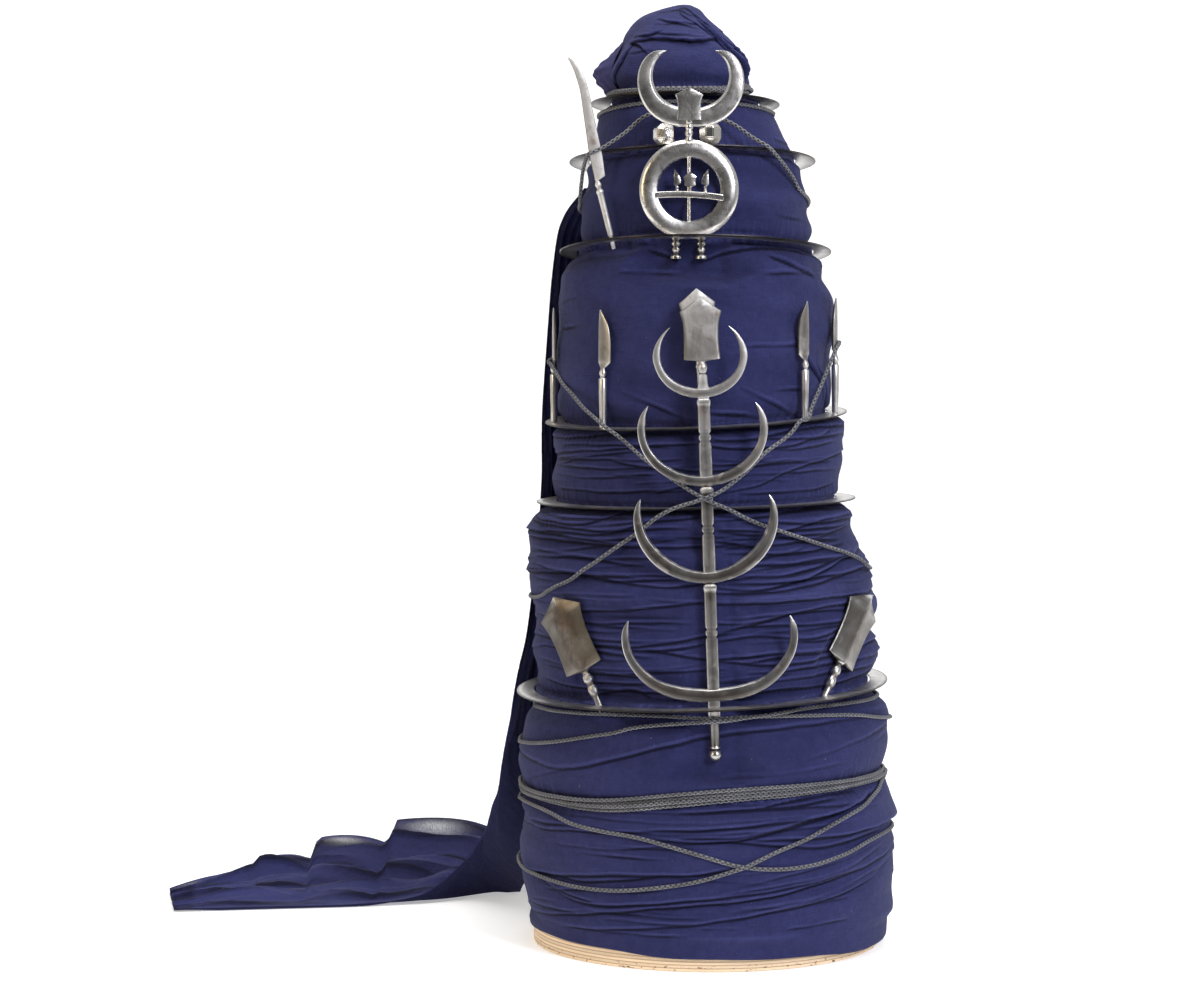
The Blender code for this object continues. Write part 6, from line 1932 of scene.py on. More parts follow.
def cord_tree():
    """A round cord along a curve, which knows how far along and around each point is."""
    sizes = {"Diameter": "NodeSocketFloat", "Step": "NodeSocketFloat"}
    sizes.update(Sides="NodeSocketInt", Material="NodeSocketMaterial")
    tree = Grower("braided cord", sizes)
    inputs = tree.inputs.outputs
    values = {"Curve": inputs["Geometry"], "Length": inputs["Step"]}
    path = tree.node("GeometryNodeResampleCurve", {"mode": "LENGTH"}, values)
    length = tree.node("GeometryNodeSplineParameter", {}, {}, "Length")
    values = {"Geometry": path, "Name": "along", "Value": length}
    path = tree.node("GeometryNodeStoreNamedAttribute", {"data_type": "FLOAT", "domain": "POINT"}, values)
    radius = tree.node("ShaderNodeMath", {"operation": "MULTIPLY"}, {0: inputs["Diameter"], 1: 0.5})
    values = {"Resolution": inputs["Sides"], "Radius": radius}
    section = tree.node("GeometryNodeCurvePrimitiveCircle", {}, values)
    factor = tree.node("GeometryNodeSplineParameter", {}, {}, "Factor")
    values = {"Geometry": section, "Name": "around", "Value": factor}
    section = tree.node("GeometryNodeStoreNamedAttribute", {"data_type": "FLOAT", "domain": "POINT"}, values)
    values = {"Curve": path, "Profile Curve": section, "Fill Caps": False}
    tube = tree.node("GeometryNodeCurveToMesh", {}, values)
    tube = tree.node("GeometryNodeSetShadeSmooth", {}, {"Geometry": tube})
    return tree.end(tube)


def ring_tree():
    """A flat ring: a section swept round a circle."""
    sizes = {"Radius": "NodeSocketFloat", "Segments": "NodeSocketInt", "Material": "NodeSocketMaterial"}
    tree = Grower("flat ring", sizes)
    inputs = tree.inputs.outputs
    values = {"Resolution": inputs["Segments"], "Radius": inputs["Radius"]}
    circle = tree.node("GeometryNodeCurvePrimitiveCircle", {}, values)
    section = tree.node("GeometryNodeMeshToCurve", {}, {"Mesh": inputs["Geometry"]})
    values = {"Curve": circle, "Profile Curve": section, "Fill Caps": False}
    return tree.end(tree.node("GeometryNodeCurveToMesh", {}, values))


def section_outline(name, points):
    """A closed outline of (outward, up) points as a mesh of edges."""
    mesh = bpy.data.meshes.new(name)
    count = len(points)
    mesh.from_pydata([(x, -y, 0) for x, y in points], [(i, (i + 1) % count) for i in range(count)], [])
    return mesh


def outward_faces(mesh):
    """Merges doubles and turns every face outwards."""
    form = bmesh.new()
    form.from_mesh(mesh)
    bmesh.ops.remove_doubles(form, verts=form.verts, dist=0.000002)
    bmesh.ops.recalc_face_normals(form, faces=form.faces)
    form.to_mesh(mesh)
    form.free()
    return mesh


def swept_ring(name, tree, radius, points, material, matrix, segments=RING_SEGMENTS, sharp=24):
    """A ring with a section of (outward, up) points about a radius, put in place."""
    mesh = tree.grow(name, section_outline(name, points), Radius=radius, Segments=segments, Material=material)
    mesh.name = name
    mesh.transform(matrix)
    return smoothed(outward_faces(mesh), sharp)


def lofted(name, rings, matrix=None, sharp=32, values=None):
    """A closed mesh through rings of equally many points, capped at both ends."""
    rows = np.array([[tuple(point) for point in ring] for ring in rings])
    count, width = rows.shape[:2]
    i, j = np.meshgrid(np.arange(count - 1), np.arange(width), indexing="ij")
    faces = strip_faces(i, j, i + 1, (j + 1) % width, width).tolist()
    faces += [list(range(width)), [(count - 1) * width + k for k in range(width)]]
    mesh = bpy.data.meshes.new(name)
    mesh.from_pydata(rows.reshape(-1, 3), [], faces)
    add_values(mesh, values or {})
    if matrix:
        mesh.transform(matrix)
    return smoothed(outward_faces(mesh), sharp)


def section_ring(height, left, right, half_depth, shape, depth_shift=0.0):
    """A sixteen-cornered section at a height, for bars, handles and blades."""
    middle = (left + right) / 2
    half = (right - left) / 2
    quarter = SECTION_QUARTERS[shape]
    turned = [(-x, y) for x, y in reversed(quarter)]
    upper = quarter + turned[1:]
    lower = [(x, -y) for x, y in reversed(upper)][1:-1]
    return [Vector((middle + x * half, y * half_depth + depth_shift, height)) for x, y in upper + lower]


def dark_rims(rows):
    """How dark each corner of the sections is: blades are dark along their rims."""
    rim = (0.9, 0.9, 0.7, 0.0, 0.0, 0.0, 0.7, 0.9, 0.9, 0.9, 0.7, 0.0, 0.0, 0.0, 0.7, 0.9)
    return {"dulled": [rim if row[4] in ("flat", "ridged") else (0.0,) * len(rim) for row in rows]}


def finer_rows(rows, parts, corners=()):
    """Rows of numbers with more between them, on smooth curves that break at corners."""
    last = len(rows) - 1
    changes = [i for i in range(last) if rows[i][4] != rows[i + 1][4]]
    breaks = sorted({0, last, *corners, *changes, *(i + 1 for i in changes)})
    finer = []
    for start, end in zip(breaks, breaks[1:]):
        run = rows[start : end + 1]
        stops = [row[0] for row in run]
        for low, high in zip(run, run[1:]):
            for part in range(parts):
                height = low[0] + (high[0] - low[0]) * part / parts
                values = [eased(height, stops, [row[k] for row in run]) for k in range(1, 4)]
                finer.append((height, *values, low[4]))
    return finer + [rows[-1]]


def spade_corners(rows):
    """Where the outline of a spade blade breaks, when the blade ends a list of rows."""
    count = len(rows)
    return (count - len(SPADE), count - len(SPADE) + 1, count - 2)


def crescent(name, outline, half_width, middle, depth_shift, front, back, matrix, dull_and_shade):
    """A crescent standing in the XZ plane: rubbed, with painted highlight, along its inner edge; painted
    shade towards its foot.
    """
    rows = rows_of(CRESCENT_COLUMNS, outline)
    section = rows_of(CRESCENT_SECTION_COLUMNS, CRESCENT_SECTION)
    angles = [row["angle"] for row in rows]
    outers = [row["outer"] * half_width for row in rows]
    inners = [row["inner"] * half_width for row in rows]
    widest = outers[0] - inners[0]
    steps = CRESCENT_STEPS
    rings = []
    rubbed = []
    dulled = []
    for i in range(-steps, steps + 1):
        angle = angles[-1] * abs(i) / steps
        outer = eased(angle, angles, outers)
        inner = min(eased(angle, angles, inners), outer - 0.0003)
        scale = 0.22 + 0.78 * clamped((outer - inner) / widest, 0.0, 1.0)
        turn = math.radians(angle) * (1 if i > 0 else -1)
        ring = []
        for row in section:
            radius = inner + (outer - inner) * row["out"]
            deep = row["depth"] * (front if row["depth"] < 0 else back)
            x = middle[0] + radius * math.sin(turn)
            z = middle[1] - radius * math.cos(turn)
            ring.append(Vector((x, depth_shift + deep * scale, z)))
        rings.append(ring)
        # Tips bright: rubbed steel and painted highlight.
        tip = clamped(abs(i) / steps * 4 - 3, 0.0, 1.0) * 0.7
        rubbed.append([max(tip, row["rubbed"]) for row in section])
        # Painted shade, stronger towards the foot and on the outer face.
        low = dull_and_shade * (1 - 0.75 * abs(i) / steps)
        dulled.append([low * row["dulled"] for row in section])
    return lofted(name, rings, matrix, values={"rubbed": rubbed, "dulled": dulled})


def blade_mesh(name, rows, parts, corners, matrix, sharp=32):
    """A mesh through sections with finer ones between them, dark along the rims of its blade."""
    rows = finer_rows(rows, parts, corners)
    return lofted(name, [section_ring(*row) for row in rows], matrix, sharp, dark_rims(rows))


def staff_meshes():
    """The staff's spine, and then its crescents."""
    rows = staff_rows()
    spine = blade_mesh("staff_spine", rows, 3, spade_corners(rows), STAFF_FRAME)
    others = []
    for number, row in enumerate(rows_of(STAFF_CRESCENT_COLUMNS, STAFF_CRESCENTS), start=1):
        middle = (STAFF_CRESCENT_SHIFT, row["height"] * STAFF_LENGTH)
        half_width = row["half_width"] * CLOTH_RADIUS
        sizes = (half_width, middle, 0.0012 - BAR_DEPTH / 2, STAFF_CRESCENT_FRONT, STAFF_CRESCENT_BACK)
        name = f"staff_crescent_{number}"
        others.append(crescent(name, row["outline"], *sizes, STAFF_FRAME, dull_and_shade=0.15 + 0.15 * number))
    return spine, others


def bar_part(level, table):
    """The sections of a turned or cut part of the bar about a level."""
    rows = []
    for row in rows_of(BAR_PART_COLUMNS, table):
        half = BAR_WIDTH / 2 * row["wide"]
        rows.append((level + row["rise"], -half, half, BAR_DEPTH / 2 * row["deep"], "square"))
    return rows


def staff_rows():
    """The sections of the staff's spine, from its ball up to the spade's point."""
    rod = BAR_WIDTH * 0.39
    ball = BAR_WIDTH * 0.53
    foot = BAR_FOOT * STAFF_LENGTH
    top = BAR_TOP * STAFF_LENGTH
    turns = [math.radians(turn) for turn in BALL_TURNS]
    rows = [round_row(ball * math.sin(turn), ball * math.cos(turn)) for turn in turns]
    rows += [round_row(ball * row["rise"], rod * row["radius"]) for row in rows_of(ROD_COLUMNS, ROD)]
    rows.append(round_row(foot - 0.002, rod))
    rows.append((foot, -BAR_WIDTH / 2, BAR_WIDTH / 2, BAR_DEPTH / 2, "square"))
    for share in BAR_NOTCHES:
        rows += bar_part(share * STAFF_LENGTH, NOTCH)
    for row in rows_of(STAFF_CRESCENT_COLUMNS, STAFF_CRESCENTS[:3]):
        lowest = row["outline"][0][1] * row["half_width"] * CLOTH_RADIUS
        rows += bar_part(row["height"] * STAFF_LENGTH - lowest, COLLAR)
    rows.sort()
    rows += bar_part(top, BAR_END)
    rows += [round_row(top + row["rise"], row["radius"]) for row in rows_of(ROD_COLUMNS, NECK)]
    blade = top + STAFF_BLADE_RISE
    return rows + spade_rows(blade, STAFF_LENGTH - blade, STAFF_BLADE_HALF_WIDTH, BLADE_DEPTH / 2, "flat")


def knife(name, table, length, width, side, matrix):
    """A knife from its foot up, with its straight edge on the left for side 1 and on the right for -1."""
    rows = []
    for row in rows_of(KNIFE_COLUMNS, table):
        left, right = sorted((side * row["left"] * width, side * row["right"] * width))
        rows.append((row["height"] * length, left, right, row["half_depth"] * width, row["shape"]))
    return blade_mesh(name, rows, 4, (), matrix)


def side_blade(name, matrix, ridge):
    """A broad spade blade with a ridge, on a turned shank."""
    shank = SIDE_BLADE_LENGTH * SHANK_SHARE
    rows = rows_of(SHANK_COLUMNS, SIDE_SHANK)
    rows = [round_row(shank * row["height"], SHANK_RADIUS * row["radius"]) for row in rows]
    rows += spade_rows(shank, SIDE_BLADE_LENGTH - shank, SIDE_BLADE_WIDTH / 2, ridge, "ridged")
    return blade_mesh(name, rows, 3, spade_corners(rows), matrix, 12)


def back_blade(name):
    """The second spade blade, which stands on the fourth quoit behind the staff."""
    foot = on_quoit(QUOIT_ROWS[KNIFE_QUOIT], math.radians(BACK_BLADE_ANGLE), BACK_BLADE_SEAT)
    foot += BACK_BLADE_SHIFT
    top = foot + BACK_BLADE_LEAN + Vector((0, 0, BACK_BLADE_LENGTH))
    shank = BACK_BLADE_SHANK
    rows = [round_row(shank * row["height"], row["radius"]) for row in rows_of(SHANK_COLUMNS, BACK_SHANK)]
    rows += spade_rows(shank, BACK_BLADE_LENGTH - shank, BACK_BLADE_WIDTH / 2, BLADE_DEPTH / 2, "flat")
    return blade_mesh(name, rows, 3, spade_corners(rows), standing(foot, top))


def badge_crescent():
    """The crescent over the badge's ring."""
    middle = tuple(part * BADGE_RING_RADIUS for part in TOP_CRESCENT_MIDDLE)
    half_width = TOP_CRESCENT_HALF_WIDTH * BADGE_RING_RADIUS
    sizes = (half_width, middle, BADGE_CRESCENT_SHIFT, BADGE_CRESCENT_FRONT, BADGE_CRESCENT_BACK)
    return crescent("top_crescent", TOP_CRESCENT, *sizes, BADGE_FRAME, dull_and_shade=0.30)


def badge_stem():
    """The beaded stem over the ring, with its spade."""
    size = BADGE_RING_RADIUS
    rows = []
    for i in range(BADGE_STEM_STEPS + 1):
        share = i / BADGE_STEM_STEPS
        bead = abs(math.sin(share * math.pi * 3.5)) ** 0.7
        wide = (BADGE_STEM_HALF_WIDTH + BADGE_STEM_BEAD * bead) * size
        level = (BADGE_STEM_LOW + (BADGE_STEM_HIGH - BADGE_STEM_LOW) * share) * size
        rows.append((*round_row(level, wide), STEM_SHIFT))
    foot, length, half = (
        share * size for share in (BADGE_SPADE_FOOT, BADGE_SPADE_LENGTH, BADGE_SPADE_HALF_WIDTH)
    )
    border = spade_rows(foot, length, half, 0.0011, "flat")
    rows += [(*row, SPADE_SHIFT) for row in finer_rows(border, 3, spade_corners(border))]
    return lofted("badge_stem", [section_ring(*row) for row in rows], BADGE_FRAME)


def badge_crossbar():
    """The crossbar in the ring, bent up in the middle."""
    rings = []
    for share in np.linspace(-1, 1, 17):
        height = -0.0055 + 0.0016 * (1 - share**2) - 0.0010 * share
        across = share * (BADGE_RING_HOLE + 0.0020)
        corners = section_ring(across, -0.0024, 0.0024, 0.0016, "square", CROSSBAR_SHIFT)
        rings.append([Vector((corner.z, corner.y, height + corner.x)) for corner in corners])
    return lofted("badge_crossbar", rings, BADGE_FRAME)


def badge_rod():
    """The upright rod in the ring."""
    reach = BADGE_RING_HOLE + 0.0010
    rows = [(height, -0.0014, 0.0014, 0.0010, "round") for height in (-reach, 0, reach)]
    return lofted("badge_rod", [section_ring(*row) for row in rows], BADGE_FRAME)


def badge_weapon(weapon):
    """A little weapon on the crossbar."""
    rows = badge_weapon_rows(weapon)
    rows = finer_rows(rows, 4, (len(rows) - 2,))
    matrix = BADGE_FRAME @ Matrix.Translation((weapon["across"] * BADGE_RING_RADIUS, 0, 0))
    return lofted(weapon["name"], [section_ring(*row, CROSSBAR_SHIFT) for row in rows], matrix)


def badge_foot(name, across):
    """A beaded foot under the ring, dark between its beads."""
    size = BADGE_RING_RADIUS
    rings = []
    dulled = []
    rows = [round_row(height * size, share * size) for height, share in BADGE_FOOT]
    for height, left, right, radius, shape in finer_rows(rows, 4):
        depth = radius if height < -1.2 * size else min(radius, BADGE_FOOT_DEPTH)
        rings.append(section_ring(height, left, right, depth, shape, BADGE_FOOT_SHIFT))
        dulled.append([clamped(1.9 - radius / (0.055 * size), 0.25, 0.9)] * len(rings[0]))
    matrix = BADGE_FRAME @ Matrix.Translation((across * size, 0, 0))
    return lofted(name, rings, matrix, values={"dulled": dulled})


def badge_meshes():
    """The meshes that are brazed to the badge's ring."""
    meshes = [badge_crescent(), badge_stem(), badge_crossbar(), badge_rod()]
    meshes += [badge_weapon(weapon) for weapon in rows_of(BADGE_WEAPON_COLUMNS, BADGE_WEAPONS)]
    return meshes + [badge_foot(f"badge_foot_{i}", across) for i, across in enumerate(BADGE_FEET, start=1)]


def knob_mesh(name, across, turn):
    """A faceted knob that stands on the second quoit."""
    seat = QUOIT_ROWS[1]
    reach = (seat["radius"] - seat["band"] * (1 - KNOB_SEAT)) * CLOTH_RADIUS
    middle = BADGE_FRAME.translation.x - shift_at(seat["height"] * TURBAN_HEIGHT)
    form = bmesh.new()
    bmesh.ops.create_cube(form, size=KNOB_SIZE)
    bmesh.ops.bevel(form, geom=form.edges[:], offset=KNOB_SIZE * KNOB_FACET, segments=1, affect="EDGES")
    bmesh.ops.bevel(form, geom=form.edges[:], offset=KNOB_SIZE * KNOB_BEVEL, segments=2, affect="EDGES")
    mesh = mesh_of(name, form)
    angle = math.asin((middle + across * BADGE_RING_RADIUS) / reach) - math.pi / 2
    tilt = Matrix.Rotation(math.radians(seat["front_rise"]), 4, "X").inverted()
    turned = Matrix.Translation((0, 0, KNOB_SIZE / 2)) @ Matrix.Rotation(math.radians(turn), 4, "Z")
    mesh.transform(Matrix.Translation(on_quoit(seat, angle, KNOB_SEAT)) @ tilt @ turned)
    return smoothed(mesh, 24)


class Ground:
    """Search trees over pieces in place, to lay cords on."""

    def __init__(self):
        self.trees = []

    def add(self, points, faces):
        levels = [point[2] for point in points]
        self.trees.append((BVHTree.FromPolygons(points, faces), min(levels), max(levels)))

    def add_mesh(self, mesh):
        points = np.zeros(len(mesh.vertices) * 3, np.float32)
        mesh.vertices.foreach_get("co", points)
        self.add(points.reshape(-1, 3).tolist(), [list(polygon.vertices) for polygon in mesh.polygons])

    def reach(self, angle, level):
        """How far from the axis the pieces reach, at an angle and a level above the floor."""
        outside = 2 * CLOTH_RADIUS
        middle = Vector((shift_at(level), 0, level))
        out = Vector((math.cos(angle), math.sin(angle), 0))
        reach = 0.0
        for tree, low, high in self.trees:
            if not low <= level <= high:
                continue
            distance = tree.ray_cast(middle + out * outside, -out, outside)[3]
            if distance is not None:
                reach = max(reach, outside - distance)
        return reach

    def floor(self, angle, level, radius):
        """The least radius at which a cord's middle clears the pieces beneath it."""
        floor = 0.0
        for share in (-0.8, 0.0, 0.8):
            rise = radius * math.sqrt(1 - share**2)
            floor = max(floor, self.reach(angle, level + share * radius) + rise)
        return floor


def rim_faces(row):
    """Points and faces of the rim of a quoit, as blunt as the quoit is thick."""
    matrix = quoit_frame(row)
    points = []
    for i in range(RING_SEGMENTS):
        turn = math.tau * i / RING_SEGMENTS
        radius = row["radius"] * CLOTH_RADIUS
        for height in (-QUOIT_THICKNESS / 2, QUOIT_THICKNESS / 2):
            points.append(matrix @ Vector((math.cos(turn) * radius, math.sin(turn) * radius, height)))
    count = len(points)
    return points, [(i, i + 1, (i + 3) % count, (i + 2) % count) for i in range(0, count, 2)]


def tightened(angles, floors, rounds=1500):
    """Radii of a closed cord drawn straight wherever nothing beneath holds it out."""
    radii = np.array(floors)
    floors = np.array(floors)
    before_turn = np.cos(angles - np.roll(angles, 1))
    both = 2 * before_turn * np.roll(before_turn, -1) - 1
    for _ in range(rounds):
        before, after = np.roll(radii, 1), np.roll(radii, -1)
        straight = np.sqrt(np.maximum(before**2 + after**2 + 2 * before * after * both, 0)) / 2
        radii = np.maximum(floors, straight)
    return radii


def over_itself(angles, levels, floors, radii, diameter):
    """Floors of the second turn, raised where it crosses the first turn."""
    raised = np.array(floors)
    half = len(angles) // 2
    gap = diameter * 1.02
    for i in range(half, len(angles)):
        rise = np.abs(levels[:half] - levels[i])
        turn = (angles[:half] - angles[i] + math.pi) % math.tau - math.pi
        apart = np.hypot(radii[:half] * turn, rise)
        close = apart < gap
        if close.any():
            raised[i] = max(raised[i], (radii[:half][close] + np.sqrt(gap**2 - apart[close] ** 2)).max())
    return raised


def laid_cord(ground, path, diameter, below=None):
    """The middle line of a closed cord laid over the pieces beneath it."""
    angles = np.array([row[0] for row in path])
    levels = np.array([row[1] for row in path])
    floors = np.array([ground.floor(angle, level, diameter / 2) for angle, level in path])
    floors = np.maximum(floors, np.maximum(np.roll(floors, 1), np.roll(floors, -1)) - 0.0002)
    if below is not None:
        floors = np.maximum(floors, below)
    radii = tightened(angles, floors)
    if angles[-1] - angles[0] > math.tau * 1.1:
        floors = over_itself(angles, levels, floors, radii, diameter)
        radii = tightened(angles, floors)
    shifts = np.array([shift_at(level) for level in levels])
    return np.stack([shifts + radii * np.cos(angles), radii * np.sin(angles), levels], 1)


def path_curve(name, points):
    """A closed curve through points."""
    curve = bpy.data.curves.new(name, "CURVE")
    curve.dimensions = "3D"
    spline = curve.splines.new("POLY")
    spline.points.add(len(points) - 1)
    weighted = np.concatenate([points, np.ones((len(points), 1))], 1)
    spline.points.foreach_set("co", weighted.astype(np.float32).ravel())
    spline.use_cyclic_u = True
    return curve


def bundle_paths(table, strands):
    """Paths of turns that lie side by side, and further apart where the bundle is wide."""
    rows = rows_of(BUNDLE_COLUMNS, table)
    stops = [row["angle"] for row in rows]
    heights = [row["height"] for row in rows]
    cords = [row["cords"] for row in rows]
    paths = []
    for strand in range(strands):
        path = []
        across = 2 * strand / (strands - 1) - 1
        for i in range(BUNDLE_STEPS):
            degrees = stops[0] + 360 * i / BUNDLE_STEPS
            half = (eased(degrees, stops, cords) - 1) * CORD_DIAMETER / 2
            level = eased(degrees, stops, heights) * TURBAN_HEIGHT
            waver = BUNDLE_WAVER * math.sin(math.radians(degrees) * 3 + strand * 2.1)
            path.append((math.radians(degrees), level + across * half + waver))
        paths.append(path)
    return paths


def dimmed(colour, share):
    return tuple(part * share for part in colour)


def settings_of(context):
    return context.scene.turban


def need(done, what):
    """Stops the script where an operator can't finish."""
    if not done:
        raise RuntimeError(f"{what} could not be made")


class TURBAN_OT_stage(bpy.types.Operator):
    """Makes the pale floor, the soft lights and the camera"""

    bl_idname = "turban.stage"
    bl_label = "Stage"

    def execute(self, context):
        scene = context.scene
        scene.view_settings.view_transform = "Standard"
        self.add_camera(scene)
        self.add_floor()
        for row in rows_of(LIGHT_COLUMNS, LIGHTS):
            self.add_light(**row)
        self.add_world(scene)
        return {"FINISHED"}

    def add_camera(self, scene):
        data = bpy.data.cameras.new("camera")
        data.lens = CAMERA_LENS
        data.sensor_width = SENSOR_WIDTH
        camera = linked("camera", data)
        camera.location = CAMERA_PLACE
        camera.rotation_euler = (math.radians(90 - CAMERA_PITCH), 0, 0)
        scene.camera = camera

    def add_floor(self):
        """A floor that curves up behind into a backdrop."""
        form = bmesh.new()
        lines = []
        profile = [(-FLOOR_REACH, 0.0), (FLOOR_BEND_FROM, 0.0)]
        for i in range(1, FLOOR_BEND_STEPS + 1):
            turn = math.pi / 2 * i / FLOOR_BEND_STEPS
            out = FLOOR_BEND_RADIUS * math.sin(turn)
            profile.append((FLOOR_BEND_FROM + out, FLOOR_BEND_RADIUS - FLOOR_BEND_RADIUS * math.cos(turn)))
        profile.append((FLOOR_BEND_FROM + FLOOR_BEND_RADIUS, BACKDROP_HEIGHT))
        for y, z in profile:
            lines.append([form.verts.new((x, y, z)) for x in (-FLOOR_REACH, FLOOR_REACH)])
        for low, high in zip(lines, lines[1:]):
            form.faces.new((low[0], low[1], high[1], high[0]))
        mesh = mesh_of("floor", form)
        mesh.shade_smooth()
        mesh.materials.append(floor_material())
        floor = linked("floor", mesh)

    def add_light(self, name, place, size, power, colour, target):
        data = bpy.data.lights.new(name, "AREA")
        data.shape = "RECTANGLE"
        data.size, data.size_y = size
        data.energy = power
        data.color = colour
        light = linked(name, data)
        light.location = place
        light.rotation_mode = "QUATERNION"
        light.rotation_quaternion = (Vector(target) - Vector(place)).to_track_quat("-Z", "Y")

    def add_world(self, scene):
        """A studio that is pale above and behind, and dark in front, where the photographer stands."""
        world = bpy.data.worlds.new("studio")
        world.use_nodes = True
        tree = world.node_tree
        background = tree.nodes["Background"]
        background.inputs["Color"].default_value = (*WORLD_COLOUR, 1)
        direction = tree.nodes.new("ShaderNodeTexCoord")
        axes = tree.nodes.new("ShaderNodeSeparateXYZ")
        ramp = tree.nodes.new("ShaderNodeMapRange")
        limits = {"From Min": -0.75, "From Max": -0.15}
        limits.update({"To Min": WORLD_STRENGTH * WORLD_FRONT_SHARE, "To Max": WORLD_STRENGTH})
        for key, value in limits.items():
            ramp.inputs[key].default_value = value
        tree.links.new(direction.outputs["Generated"], axes.inputs[0])
        tree.links.new(axes.outputs["Y"], ramp.inputs["Value"])
        tree.links.new(ramp.outputs[0], background.inputs["Strength"])
        scene.world = world


class TURBAN_OT_base(bpy.types.Operator):
    """Makes the plywood ring that the turban stands on"""

    bl_idname = "turban.base"
    bl_label = "Plywood base"

    def execute(self, context):
        settings = settings_of(context)
        top, edge, hole = PLY_THICKNESS, PLY_RADIUS, PLY_HOLE_RADIUS
        middle = (edge + hole) / 2
        outline = (
            (hole + 0.0006, 0),
            (hole, 0.0006),
            (hole, top - 0.0006),
            (hole + 0.0006, top),
            (edge - 0.0008, top),
            (edge - 0.0002, top - 0.0003),
            (edge, top - 0.0010),
            (edge, 0.0009),
            (edge - 0.0002, 0.0003),
            (edge - 0.0008, 0),
        )
        points = [(radius - middle, height) for radius, height in outline]
        material = plywood_material(tuple(settings.plywood_colour))
        mesh = swept_ring("plywood_base", ring_tree(), middle, points, material, Matrix.Identity(4))
        need(mesh.polygons, "the plywood base")
        shown("plywood_base", mesh, material, "pale_plywood", "base_ring")
        return {"FINISHED"}


class TURBAN_OT_cloth(bpy.types.Operator):
    """Makes the bands of wound cotton, from the hem to the crown"""

    bl_idname = "turban.cloth"
    bl_label = "Wound cloth"

    def execute(self, context):
        settings = settings_of(context)
        material = cotton_material("navy_cotton", tuple(settings.cotton_colour), False)
        angles = column_angles()
        for index, band in enumerate(rows_of(BAND_COLUMNS, BANDS)):
            mesh = cloth_band_mesh(band, angles, settings, FOLD_SEED + index)
            need(mesh.polygons, band["name"])
            piece = shown(band["name"], mesh, material, "navy_cotton", "wound_cloth")
        return {"FINISHED"}


class TURBAN_OT_loose_cloth(bpy.types.Operator):
    """Makes the tail of cloth that hangs behind the left side, and the flap of the hood"""

    bl_idname = "turban.loose_cloth"
    bl_label = "Tail and flap"

    def execute(self, context):
        settings = settings_of(context)
        lines, sheers, relief_shades = tail_rows()
        mesh = sheet_mesh("tail", lines, {"relief": relief_shades, "sheer": sheers})
        material = cotton_material("sheer_navy_cotton", tuple(settings.cotton_colour), True)
        tail = shown("tail", mesh, material, "navy_cotton", "cloth_tail")
        lines = flap_rows()
        mesh = sheet_mesh("flap", lines, {"relief": np.full((FLAP_STEPS, FLAP_COLUMN_COUNT), 0.45)})
        flap = shown("flap", mesh, bpy.data.materials["navy_cotton"], "navy_cotton", "crown_flap")
        return {"FINISHED"}


class TURBAN_OT_quoits(bpy.types.Operator):
    """Makes the six flat steel quoits"""

    bl_idname = "turban.quoits"
    bl_label = "Quoits"

    def execute(self, context):
        settings = settings_of(context)
        material = steel_material("quoit_steel", tuple(settings.steel_colour))
        tree = ring_tree()
        for number, row in enumerate(QUOIT_ROWS, start=1):
            outer = row["radius"] * CLOTH_RADIUS
            band = row["band"] * CLOTH_RADIUS
            half = settings.quoit_thickness / 2
            points = ((0, half * 0.30), (-QUOIT_BEVEL, half), (-band + 0.0003, half), (-band, half * 0.6))
            points += ((-band, -half * 0.6), (-band + 0.0003, -half), (-0.0005, -half), (0, -half * 0.7))
            name = f"quoit_ring_{number}"
            mesh = swept_ring(name, tree, outer, points, material, Matrix.Identity(4), sharp=6)
            need(mesh.polygons, name)
            # The outer rim is painted dark, as dull steel and painted shade.
            add_values(mesh, {"dulled": [outer - v.co.xy.length < QUOIT_RIM for v in mesh.vertices]})
            mesh.transform(quoit_frame(row))
            shown(name, mesh, material, "tarnished_steel", f"quoit_{number}")
        return {"FINISHED"}


